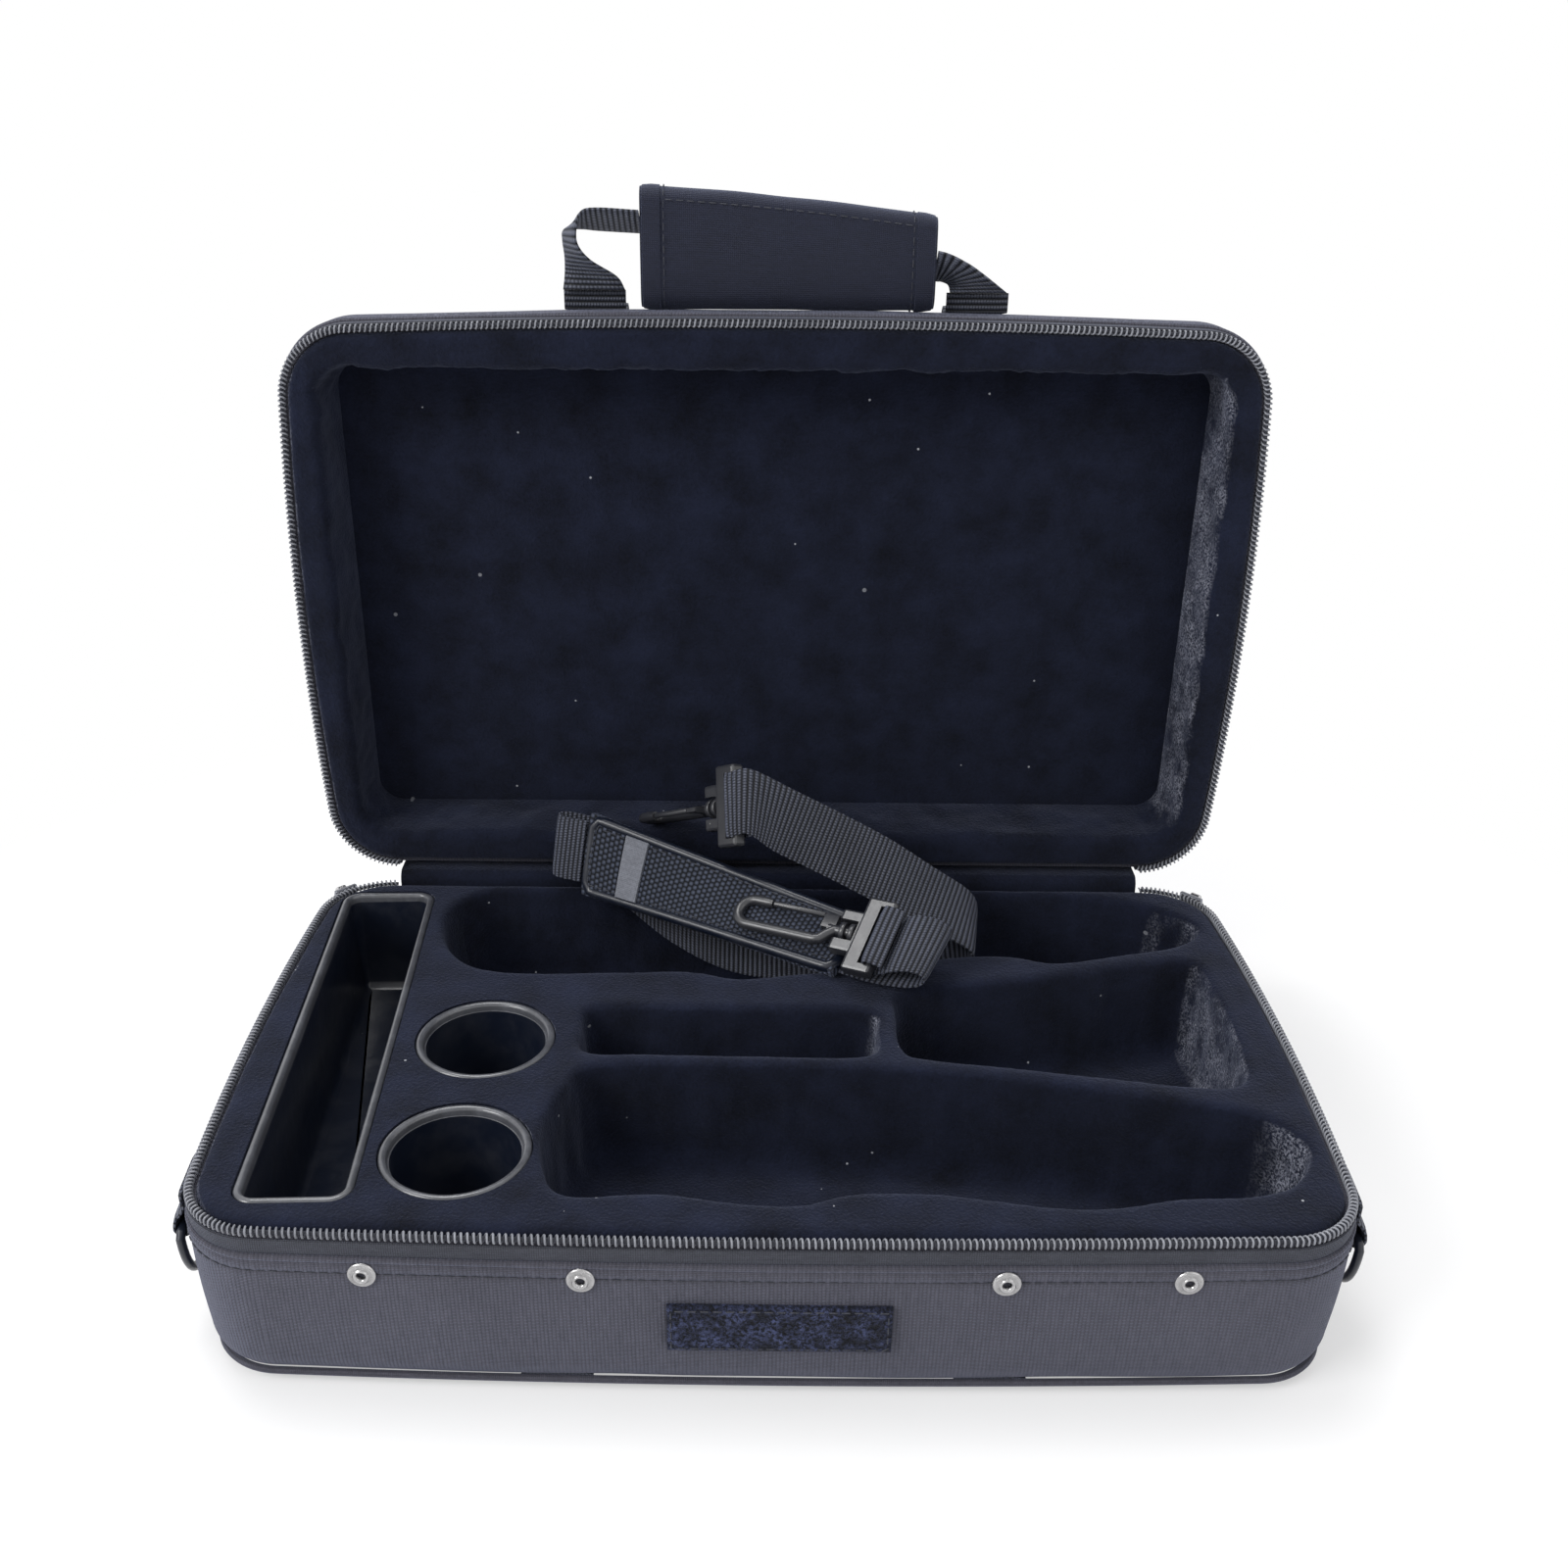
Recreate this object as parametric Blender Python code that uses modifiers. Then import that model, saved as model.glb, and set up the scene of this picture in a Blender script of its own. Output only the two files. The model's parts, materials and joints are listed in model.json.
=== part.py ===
"""Zip-closed clarinet case, opened: shells, foam insert, zip, hinge cloth, handle and shoulder strap.

Case frame: X along the length, Y from the front wall to the back, Z up from the parting plane of base and lid.
The lid is modelled closed, on an empty that lies on the hinge line and is turned by the opening angle.
Metres throughout.
"""
import math

import bmesh
import bpy
from mathutils import Matrix, Vector

# Case outline at the rim
CASE_LENGTH = 0.370
CASE_DEPTH = 0.2237
CORNER_RADIUS = 0.0284
SIDE_BOW = 0.0028
FRONT_BOW = 0.0029

# Shells
BASE_HEIGHT = 0.062
LID_HEIGHT = 0.040
SHELL_WALL = 0.0045
EDGE_FILLET = 0.012
WALL_DRAFT = 0.0030
PARTING_GAP = 0.0002
HINGE_GAP = 0.0023
FIT_GAP = 0.0003
CUT_OVERRUN = 0.004
LID_OPEN_ANGLE = math.radians(90)

# Zip along the rim
SEAM_DROP = 0.0090
TAPE_INSET = 0.0008
TAPE_THICKNESS = 0.0010
TEETH_HEIGHT = 0.0035
TEETH_WIDTH = 0.0030

# Piping round the outer edges
PIPING_RADIUS = 0.0012

# Foam insert and its pockets
RIM_ROUND = 0.0025
POCKET_MOUTH = 0.0020
POCKET_FLOOR_ROUND = 0.010
POCKET_DRAFT = 0.0015
POCKET_DEPTH = 0.042
BARREL_DEPTH = 0.034

FRONT_POCKET_CUP_MARGIN = 0.0017
FRONT_POCKET_RIGHT_MARGIN = 0.0130
BACK_POCKET_LEFT_MARGIN = 0.0560
BACK_POCKET_RIGHT_MARGIN = 0.0150
BARREL_POCKET_CUP_MARGIN = 0.0087
BARREL_POCKET_LENGTH = 0.1050
BELL_POCKET_BARREL_MARGIN = 0.0080
BELL_POCKET_RIGHT_MARGIN = 0.0200

# Where each pocket starts and how wide it is, as shares of the case's depth
FRONT_POCKET_DEPTH_SHARES = (0.0827, 0.32857)
BACK_POCKET_DEPTH_SHARES = (0.66384, 0.29504)
BARREL_POCKET_DEPTH_SHARES = (0.43809, 0.13187)
BELL_POCKET_DEPTH_SHARES = (0.36656, 0.38891)

# Accessory tray
TRAY_LEFT_MARGIN = 0.0160
TRAY_FRONT_MARGIN = 0.01685
TRAY_BACK_MARGIN = 0.01235
TRAY_TURN = math.radians(2.6)
TRAY_WIDTH = 0.0370
TRAY_DEPTH = 0.044
TRAY_WALL = 0.0014
TRAY_RIM = 0.0030
TRAY_RIM_THICKNESS = 0.0014
TRAY_CORNER = 0.0072
TRAY_DRAFT = 0.0012

# Round cups
CUP_TRAY_MARGIN = 0.0077
CUP_REAR_DEPTH_SHARE = 0.47474
CUP_FRONT_DEPTH_SHARE = 0.19312
CUP_RADIUS = 0.0243
CUP_RIM = 0.0034
CUP_RIM_THICKNESS = 0.0020
CUP_WALL = 0.0014
CUP_DEPTH = 0.042
CUP_DRAFT = 0.0010

# Front wall fittings
RIVET_LENGTH_SHARES = (-0.32973, -0.15270, 0.19054, 0.33784)
RIVET_DROP = 0.0150
RIVET_RADIUS = 0.0045
RIVET_HEAD = 0.0014
RIVET_SHANK_RADIUS = 0.0021
RIVET_BORE_RADIUS = 0.0012
RIVET_DEPTH = 0.0030
PATCH_LENGTH = 0.068
PATCH_HEIGHT = 0.0172
PATCH_X = 0.0030
PATCH_DROP = 0.0325
PATCH_THICKNESS = 0.0016

# Webbing straps on the shells
BASE_STRAP_LENGTH_SHARES = (-0.17973, 0.18865)
LID_STRAP_LENGTH_SHARES = (-0.17973, 0.20135)
STRAP_WIDTH = 0.0228
WEB_THICKNESS = 0.0016
STRAP_END_RISE = 0.016

# Hinge cloth
HINGE_CLOTH_REACH = 0.0135
HINGE_CLOTH_THICKNESS = 0.0010

# Side tabs and rings
TAB_Y = 0.0420
TAB_WIDTH = 0.0215
TAB_TOP_DROP = 0.0100
TAB_TAPER_SHARE = 0.55
RING_DROP = 0.0235
RING_WIRE = 0.0015
RING_HALF_WIDTH = 0.0138
RING_REACH = 0.0215

# Zip sliders and pulls
SLIDER_ANGLE = math.radians(45)
SLIDER_LENGTH = 0.0100
SLIDER_HEIGHT = 0.0082
SLIDER_THICKNESS = 0.0018
SLIDER_TOP_DROP = 0.0012
SLIDER_CLEARANCE = 0.0005
CROWN_WIRE = 0.0008
CROWN_HALF_SPAN = 0.0033
CROWN_DROP = 0.0040
PULL_LENGTH = 0.026
PULL_WIDTH = 0.0070
PULL_THICKNESS = 0.0016
PULL_EYE_WALL = 0.0010
PULL_EYE_WIDTH = 0.0036

# Lid lining
LID_RECESS_DEPTH = 0.028
LID_BORDER_SIDE = 0.0175
LID_BORDER_FRONT = 0.0190
LID_BORDER_BACK = 0.0175
LID_RECESS_CORNER = 0.0120
LID_RECESS_DRAFT = 0.0020

# Carrying handle
HANDLE_RISE = 0.0240
GRIP_THICKNESS = 0.0130
GRIP_CLEARANCE = 0.0006
GRIP_LEFT_MARGIN = 0.0175
GRIP_RIGHT_MARGIN = 0.0165
STUB_CLEARANCE = 0.0008
GRIP_TOP_LEFT = 0.0362
GRIP_TOP_RIGHT = 0.0264
GRIP_TOP_ROUND = 0.0050
LEG_CURL = 0.0060

# Shoulder strap, folded over the rear pocket; its places are measured from the middle of the back wall
PAD_NEAR_LEFT = (-0.0770, -0.0177, 0.0025)
PAD_FAR_LEFT = (-0.0730, -0.0057, 0.0335)
PAD_NEAR_RIGHT = (0.0238, -0.0790, 0.0053)
PAD_FAR_RIGHT = (0.0388, -0.0577, 0.0146)
PAD_THICKNESS = 0.0048
PAD_EDGE_WIDTH = 0.0022
PAD_EDGE_RISE = 0.0010
STRAP_WEB_WIDTH = 0.0250
UPPER_HOOK_PLACE = (-0.0189, -0.0242, 0.0453)
UPPER_HOOK_TIP = (-0.0490, 0.0083, 0.0240)
UPPER_EYE_NORMAL_SHARES = (-0.77, -0.54, 0.29)
UPPER_SWIVEL_TURN = math.radians(90)
LOWER_HOOK_PLACE = (0.0325, -0.0719, 0.0162)
LOWER_HOOK_TIP = (-0.0154, -0.0463, 0.0132)
LOWER_EYE_NORMAL_SHARES = (0.27, 0.41, -0.87)
LOWER_SWIVEL_TURN = 0
HOOK_WIRE = 0.0021
HOOK_HALF_WIDTH = 0.0056
HOOK_TIP = 0.0520
HOOK_ROOT = 0.0110
HOOK_MOUTH = 0.0070
HOOK_NECK_RADIUS = 0.0020
HOOK_NECK_DEPTH = 0.0036
HOOK_COLLAR_RADIUS = 0.0038
HOOK_COLLAR_LENGTH = 0.0018
GATE_RADIUS = 0.0012
EYE_BAR_WIDTH = 0.0320
EYE_BAR_LENGTH = 0.0115
EYE_SHOULDER_LENGTH = 0.0080
EYE_SHOULDER_WIDTH = 0.0180
EYE_THICKNESS = 0.0056
EYE_SLOT_LENGTH = 0.0036
EYE_SLOT_WALL = 0.0020

# Facet counts
FRONT_STEPS = 8
CORNER_STEPS = 6
SIDE_STEPS = 4
BACK_STEPS = 4
FILLET_STEPS = 3
POCKET_STEPS = 2
ROUND_STEPS = 32

MERGE_DISTANCE = 0.00001

HINGE_Y = CASE_DEPTH + HINGE_GAP
CORNER_X = CASE_LENGTH / 2 - SIDE_BOW - CORNER_RADIUS
FRONT_CORNER_Y = FRONT_BOW + CORNER_RADIUS
BACK_CORNER_Y = CASE_DEPTH - CORNER_RADIUS
STRAP_OFFSET = FIT_GAP + WEB_THICKNESS
HINGE_CLOTH_HALF = CORNER_X - FIT_GAP

TRAY_LENGTH = CASE_DEPTH - TRAY_FRONT_MARGIN - TRAY_BACK_MARGIN
TRAY_CENTRE_X = -CASE_LENGTH / 2 + TRAY_LEFT_MARGIN + TRAY_WIDTH / 2
TRAY_CENTRE_Y = TRAY_FRONT_MARGIN + TRAY_LENGTH / 2
CUP_X = TRAY_CENTRE_X + TRAY_WIDTH / 2 + CUP_TRAY_MARGIN + CUP_RADIUS
CUP_REAR_Y = CASE_DEPTH * CUP_REAR_DEPTH_SHARE
CUP_FRONT_Y = CASE_DEPTH * CUP_FRONT_DEPTH_SHARE
FRONT_POCKET_LEFT = CUP_X + CUP_RADIUS + FRONT_POCKET_CUP_MARGIN
FRONT_POCKET_RIGHT = CASE_LENGTH / 2 - FRONT_POCKET_RIGHT_MARGIN
BACK_POCKET_LEFT = -CASE_LENGTH / 2 + BACK_POCKET_LEFT_MARGIN
BACK_POCKET_RIGHT = CASE_LENGTH / 2 - BACK_POCKET_RIGHT_MARGIN
BARREL_POCKET_LEFT = CUP_X + CUP_RADIUS + BARREL_POCKET_CUP_MARGIN
BARREL_POCKET_RIGHT = BARREL_POCKET_LEFT + BARREL_POCKET_LENGTH
BELL_POCKET_LEFT = BARREL_POCKET_RIGHT + BELL_POCKET_BARREL_MARGIN
BELL_POCKET_RIGHT = CASE_LENGTH / 2 - BELL_POCKET_RIGHT_MARGIN
RIVET_XS = [CASE_LENGTH * share for share in RIVET_LENGTH_SHARES]
BASE_STRAP_XS = [CASE_LENGTH * share for share in BASE_STRAP_LENGTH_SHARES]
LID_STRAP_XS = [CASE_LENGTH * share for share in LID_STRAP_LENGTH_SHARES]
GRIP_LEFT = LID_STRAP_XS[0] + GRIP_LEFT_MARGIN
GRIP_RIGHT = LID_STRAP_XS[1] - GRIP_RIGHT_MARGIN

CLOTH = ((0.062, 0.062, 0.075, 1), 0.85, 0.0)
WEBBING = ((0.020, 0.021, 0.026, 1), 0.75, 0.0)
PLUSH = ((0.010, 0.012, 0.020, 1), 0.95, 0.0)
TAPE = ((0.045, 0.046, 0.056, 1), 0.70, 0.0)
TEETH = ((0.100, 0.105, 0.120, 1), 0.35, 0.2)
GLOSS_PLASTIC = ((0.006, 0.006, 0.008, 1), 0.22, 0.0)
NICKEL = ((0.560, 0.560, 0.580, 1), 0.28, 1.0)
PAD_CLOTH = ((0.012, 0.013, 0.016, 1), 0.80, 0.0)


def clear_scene():
    """Empties the file of objects."""
    for old in list(bpy.data.objects):
        bpy.data.objects.remove(old, do_unlink=True)


def make_collection(name):
    """Adds a collection to the scene."""
    collection = bpy.data.collections.new(name)
    bpy.context.scene.collection.children.link(collection)
    return collection


def make_material(name, finish):
    """A plain finish of one colour, roughness and metallic value."""
    colour, roughness, metallic = finish
    material = bpy.data.materials.new(name)
    material.use_nodes = True
    shader = material.node_tree.nodes["Principled BSDF"]
    shader.inputs["Base Color"].default_value = colour
    shader.inputs["Roughness"].default_value = roughness
    shader.inputs["Metallic"].default_value = metallic
    return material


def make_empty(name, parent, location, turn=(0, 0, 0)):
    """An empty on a joint's axis, or at the root."""
    empty = bpy.data.objects.new(name, None)
    empty.location = location
    empty.rotation_euler = turn
    empty.parent = parent
    PARTS.objects.link(empty)
    return empty


def face_outward(bm):
    """Turns every face outward."""
    bmesh.ops.recalc_face_normals(bm, faces=bm.faces)
    if bm.calc_volume(signed=True) < 0:
        bmesh.ops.reverse_faces(bm, faces=bm.faces)


def make_part(name, bm, finish, parent, smooth_angle=math.radians(35)):
    """Turns a bmesh into a named part with its own material."""
    face_outward(bm)
    mesh = bpy.data.meshes.new(name)
    bm.to_mesh(mesh)
    bm.free()
    mesh.shade_smooth()
    mesh.set_sharp_from_angle(angle=smooth_angle)
    part = bpy.data.objects.new(name, mesh)
    part.parent = parent
    part.data.materials.append(make_material(name, finish))
    PARTS.objects.link(part)
    return part


def make_cutter(name, bm, parent):
    """A hidden solid that a Boolean cuts with or joins."""
    face_outward(bm)
    mesh = bpy.data.meshes.new(name)
    bm.to_mesh(mesh)
    bm.free()
    cutter = bpy.data.objects.new(name, mesh)
    cutter.parent = parent
    cutter.hide_render = True
    cutter.display_type = "WIRE"
    CUTTERS.objects.link(cutter)
    return cutter


def boolean(part, cutter, operation):
    """Cuts or joins a part with another solid."""
    step = part.modifiers.new(cutter.name, "BOOLEAN")
    step.operation = operation
    step.object = cutter
    step.solver = "EXACT"


def loft(rings, loop=True, caps=True):
    """Skins a list of rings with the same number of points, and closes the ends."""
    bm = bmesh.new()
    rows = [[bm.verts.new(point) for point in ring] for ring in rings]
    count = len(rows[0])
    spans = count if loop else count - 1
    for low, high in zip(rows, rows[1:]):
        for index in range(spans):
            follow = (index + 1) % count
            bm.faces.new((low[index], low[follow], high[follow], high[index]))
    if caps:
        bm.faces.new(rows[0])
        bm.faces.new(reversed(rows[-1]))
    return bm


def closed_band(rings):
    """Skins rings and joins the last to the first, for a hoop."""
    bm = bmesh.new()
    rows = [[bm.verts.new(point) for point in ring] for ring in rings]
    count = len(rows[0])
    for row, following in zip(rows, rows[1:] + rows[:1]):
        for index in range(count):
            follow = (index + 1) % count
            bm.faces.new((row[index], row[follow], following[follow], following[index]))
    return bm


def box(size, centre):
    """A box of a size about a centre."""
    bm = bmesh.new()
    bmesh.ops.create_cube(bm, size=1)
    bmesh.ops.scale(bm, vec=size, verts=bm.verts)
    bmesh.ops.translate(bm, vec=centre, verts=bm.verts)
    return bm


def rounded_box(size, centre, radius):
    """A box with its edges rounded."""
    bm = box(size, centre)
    bmesh.ops.bevel(bm, geom=bm.edges[:], offset=radius, segments=2, profile=0.5, affect="EDGES")
    return bm


def cylinder(radius, depth, centre, turn=Matrix(), steps=ROUND_STEPS):
    """A cylinder about a centre, its axis along Z before the turn."""
    bm = bmesh.new()
    bmesh.ops.create_cone(bm, cap_ends=True, segments=steps, radius1=radius, radius2=radius, depth=depth)
    bmesh.ops.transform(bm, matrix=Matrix.Translation(centre) @ turn, verts=bm.verts)
    return bm


def arc_points(centre, radius, start, end, steps):
    """Points with outward normals along an arc, without its last point."""
    points = []
    for step in range(steps):
        angle = start + (end - start) * step / steps
        normal = Vector((math.cos(angle), math.sin(angle)))
        points.append((Vector(centre) + radius * normal, normal))
    return points


def bow_arc(half_chord, bow, radius):
    """Distance of a long bowed edge's centre behind its two corner centres, and its radius."""
    swell = (bow ** 2 + half_chord ** 2) / (2 * bow)
    return math.sqrt(swell ** 2 - half_chord ** 2), swell + radius


def rim_outline():
    """The rim in plan with outward normals, anticlockwise from the front left corner."""
    front_back, front_radius = bow_arc(CORNER_X, FRONT_BOW, CORNER_RADIUS)
    side_half = (BACK_CORNER_Y - FRONT_CORNER_Y) / 2
    side_back, side_radius = bow_arc(side_half, SIDE_BOW, CORNER_RADIUS)
    middle_y = (BACK_CORNER_Y + FRONT_CORNER_Y) / 2
    front_lean = math.atan2(CORNER_X, front_back)
    side_lean = math.atan2(side_half, side_back)
    quarter = math.pi / 2
    front = arc_points((0, FRONT_CORNER_Y + front_back), front_radius,
                       -quarter - front_lean, -quarter + front_lean, FRONT_STEPS)
    corner_fr = arc_points((CORNER_X, FRONT_CORNER_Y), CORNER_RADIUS,
                           -quarter + front_lean, -side_lean, CORNER_STEPS)
    side_r = arc_points((CORNER_X - side_back, middle_y), side_radius, -side_lean, side_lean, SIDE_STEPS)
    corner_br = arc_points((CORNER_X, BACK_CORNER_Y), CORNER_RADIUS, side_lean, quarter, CORNER_STEPS)
    back = []
    for step in range(BACK_STEPS):
        x = CORNER_X - 2 * CORNER_X * step / BACK_STEPS
        back.append((Vector((x, CASE_DEPTH)), Vector((0, 1))))
    corner_bl = arc_points((-CORNER_X, BACK_CORNER_Y), CORNER_RADIUS,
                           quarter, 2 * quarter - side_lean, CORNER_STEPS)
    side_l = arc_points((-CORNER_X + side_back, middle_y), side_radius,
                        2 * quarter - side_lean, 2 * quarter + side_lean, SIDE_STEPS)
    corner_fl = arc_points((-CORNER_X, FRONT_CORNER_Y), CORNER_RADIUS,
                           2 * quarter + side_lean, 3 * quarter - front_lean, CORNER_STEPS)
    return front + corner_fr + side_r + corner_br + back + corner_bl + side_l + corner_fl


def zip_outline():
    """The open run of the rim that carries the zip, from the back left corner round the front."""
    rim = rim_outline()
    start = FRONT_STEPS + 2 * CORNER_STEPS + SIDE_STEPS + BACK_STEPS
    end = FRONT_STEPS + 2 * CORNER_STEPS + SIDE_STEPS
    return rim[start:] + rim[:end + 1]


def ring(outline, inset, z):
    """The outline set in by a distance at a height."""
    return [(point.x - inset * normal.x, point.y - inset * normal.y, z) for point, normal in outline]


def wall_inset(height, drop):
    """How far a drafted wall has come in from the seam at a distance from the parting plane."""
    return WALL_DRAFT * (drop - SEAM_DROP) / (height - SEAM_DROP)


def front_wall_y(x):
    """Y of the rim's front wall at an X, on its bow."""
    back, radius = bow_arc(CORNER_X, FRONT_BOW, CORNER_RADIUS)
    return FRONT_CORNER_Y + back - math.sqrt(radius ** 2 - x ** 2)


def front_wall_turn(x):
    """How far the front wall has turned about Z at an X."""
    radius = bow_arc(CORNER_X, FRONT_BOW, CORNER_RADIUS)[1]
    return math.asin(x / radius)


def side_wall(y):
    """X and turn of the right side wall at a Y, on its bow."""
    half = (BACK_CORNER_Y - FRONT_CORNER_Y) / 2
    back, radius = bow_arc(half, SIDE_BOW, CORNER_RADIUS)
    rise = y - (BACK_CORNER_Y + FRONT_CORNER_Y) / 2
    return CORNER_X - back + math.sqrt(radius ** 2 - rise ** 2), math.asin(rise / radius)


def shell_profile(height):
    """Inset and distance from the parting plane of a shell's outer face, from the seam to the flat."""
    fillet_start = height - EDGE_FILLET
    profile = [(0, SEAM_DROP), (wall_inset(height, fillet_start), fillet_start)]
    for step in range(1, FILLET_STEPS + 1):
        angle = math.pi / 2 * step / FILLET_STEPS
        inset = wall_inset(height, fillet_start) + EDGE_FILLET * (1 - math.cos(angle))
        profile.append((inset, fillet_start + EDGE_FILLET * math.sin(angle)))
    return profile


def make_shell(name, height, side, parent):
    """A drafted, filleted tray of one wall thickness with a thin lip behind the zip tape."""
    outline = rim_outline()
    lip_inset = TAPE_INSET + TAPE_THICKNESS + FIT_GAP
    lip_drop = TEETH_HEIGHT + FIT_GAP + PARTING_GAP
    rings = [ring(outline, inset, side * drop) for inset, drop in reversed(shell_profile(height))]
    rings.append(ring(outline, lip_inset, side * SEAM_DROP))
    rings.append(ring(outline, lip_inset, side * lip_drop))
    rings.append(ring(outline, SHELL_WALL, side * lip_drop))
    inner_fillet = EDGE_FILLET - SHELL_WALL
    start = height - EDGE_FILLET
    for step in range(FILLET_STEPS + 1):
        angle = math.pi / 2 * step / FILLET_STEPS
        inset = SHELL_WALL + wall_inset(height, start) + inner_fillet * (1 - math.cos(angle))
        rings.append(ring(outline, inset, side * (start + inner_fillet * math.sin(angle))))
    return make_part(name, loft(rings), CLOTH, parent)


def make_piping(name, height, side, parent):
    """A round cord along the middle of the shell's outer fillet."""
    start = height - EDGE_FILLET
    reach = EDGE_FILLET + FIT_GAP + PIPING_RADIUS
    half = math.sqrt(0.5)
    inset = wall_inset(height, start) + EDGE_FILLET - reach * half
    drop = start + reach * half
    curve = bpy.data.curves.new(name, "CURVE")
    curve.dimensions = "3D"
    curve.bevel_depth = PIPING_RADIUS
    curve.bevel_resolution = 1
    spline = curve.splines.new("POLY")
    points = ring(rim_outline(), inset, side * drop)
    spline.points.add(len(points) - 1)
    for place, point in zip(spline.points, points):
        place.co = (*point, 1)
    spline.use_cyclic_u = True
    part = bpy.data.objects.new(name, curve)
    part.parent = parent
    curve.materials.append(make_material(name, PAD_CLOTH))
    PARTS.objects.link(part)
    return part


def make_zip_tape(name, side, parent):
    """The woven tape that hangs from the seam to the teeth."""
    outline = zip_outline()
    low = SEAM_DROP - FIT_GAP
    high = TEETH_HEIGHT + FIT_GAP + PARTING_GAP
    inner = TAPE_INSET + TAPE_THICKNESS
    section = ((TAPE_INSET, low), (TAPE_INSET, high), (inner, high), (inner, low))
    sections = [ring(outline, inset, side * drop) for inset, drop in section]
    stations = list(zip(*sections))
    return make_part(name, loft(stations), TAPE, parent)


def make_zip_teeth(name, side, parent):
    """The row of teeth along the edge of the tape."""
    outline = zip_outline()
    inner = TAPE_INSET + TEETH_WIDTH
    section = ((TAPE_INSET, TEETH_HEIGHT), (TAPE_INSET, PARTING_GAP), (inner, PARTING_GAP), (inner, TEETH_HEIGHT))
    sections = [ring(outline, inset, side * drop) for inset, drop in section]
    stations = list(zip(*sections))
    return make_part(name, loft(stations), TEETH, parent)


def smooth_loop(points, steps):
    """A closed smooth curve through points."""
    count = len(points)
    result = []
    for index in range(count):
        before, start, end, after = (Vector(points[(index + k) % count]) for k in (-1, 0, 1, 2))
        for step in range(steps):
            t = step / steps
            result.append(0.5 * (2 * start + (end - before) * t + (2 * before - 5 * start + 4 * end - after) * t ** 2
                                 + (3 * start - before - 3 * end + after) * t ** 3))
    return result


def with_normals(points):
    """Adds the outward normal at each point of an anticlockwise loop."""
    count = len(points)
    result = []
    for index, point in enumerate(points):
        along = (points[(index + 1) % count] - points[index - 1]).normalized()
        result.append((point, Vector((along.y, -along.x))))
    return result


FRONT_POCKET_SHARES = (
    (0.00, 0.55), (0.01, 0.25), (0.045, 0.06), (0.16, 0.07), (0.32, 0.00), (0.40, 0.08), (0.50, 0.09), (0.58, 0.05),
    (0.70, 0.00), (0.81, 0.07), (0.91, 0.10), (0.965, 0.18), (1.00, 0.40), (0.96, 0.63), (0.86, 0.74), (0.68, 0.88),
    (0.48, 0.97), (0.25, 1.00), (0.06, 0.98), (0.02, 0.80))
BACK_POCKET_SHARES = (
    (0.00, 0.60), (0.03, 0.22), (0.09, 0.05), (0.21, 0.05), (0.33, 0.07), (0.395, 0.00), (0.48, 0.06), (0.59, 0.13),
    (0.66, 0.23), (0.74, 0.23), (0.80, 0.13), (0.88, 0.24), (0.97, 0.38), (1.00, 0.62), (0.94, 0.88), (0.82, 1.00),
    (0.55, 1.00), (0.28, 1.00), (0.08, 1.00), (0.02, 0.88))
BARREL_POCKET_SHARES = (
    (0.00, 0.50), (0.03, 0.06), (0.25, 0.02), (0.60, 0.00), (0.96, 0.02), (1.00, 0.50), (0.97, 0.96), (0.60, 1.00),
    (0.30, 0.98), (0.03, 0.97))
BELL_POCKET_SHARES = (
    (0.00, 0.45), (0.01, 0.23), (0.08, 0.17), (0.40, 0.10), (0.78, 0.01), (0.96, 0.02), (1.00, 0.25), (1.00, 0.70),
    (0.97, 0.98), (0.80, 0.96), (0.45, 0.82), (0.05, 0.69))


def pocket_loop(shares, left, right, depth_shares):
    """A pocket's mouth line in plan, from shares of its length and width."""
    front = CASE_DEPTH * depth_shares[0]
    width = CASE_DEPTH * depth_shares[1]
    points = [(left + u * (right - left), front + v * width) for u, v in shares]
    return with_normals(smooth_loop(points, POCKET_STEPS))


def pocket_cutter(name, loop, depth, parent):
    """The space of one pocket: a rounded mouth, drafted walls and a rounded floor."""
    floor = POCKET_DRAFT + POCKET_FLOOR_ROUND * 0.8
    third = 1 / 3
    levels = (
        (-POCKET_MOUTH, CUT_OVERRUN),
        (-POCKET_MOUTH, -PARTING_GAP),
        (-POCKET_MOUTH * third, -PARTING_GAP - POCKET_MOUTH * third),
        (0, -PARTING_GAP - POCKET_MOUTH),
        (POCKET_DRAFT, -depth + POCKET_FLOOR_ROUND),
        (POCKET_DRAFT + POCKET_FLOOR_ROUND * third, -depth + POCKET_FLOOR_ROUND * third),
        (floor, -depth),
    )
    rings = [ring(loop, inset, z) for inset, z in levels]
    return make_cutter(name, loft(rings), parent)


def rounded_rectangle(width, length, radius, steps=4):
    """A rounded rectangle about the origin with outward normals."""
    half_x = width / 2 - radius
    half_y = length / 2 - radius
    quarter = math.pi / 2
    loop = []
    for turn, (x, y) in enumerate(((half_x, half_y), (-half_x, half_y), (-half_x, -half_y), (half_x, -half_y))):
        for step in range(steps + 1):
            angle = quarter * (turn + step / steps)
            normal = Vector((math.cos(angle), math.sin(angle)))
            loop.append((Vector((x, y)) + radius * normal, normal))
    return loop


def tray_frame(parent):
    """The empty at the middle of the tray, turned as the tray lies."""
    return make_empty("tray_place", parent, (TRAY_CENTRE_X, TRAY_CENTRE_Y, 0), (0, 0, TRAY_TURN))


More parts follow.
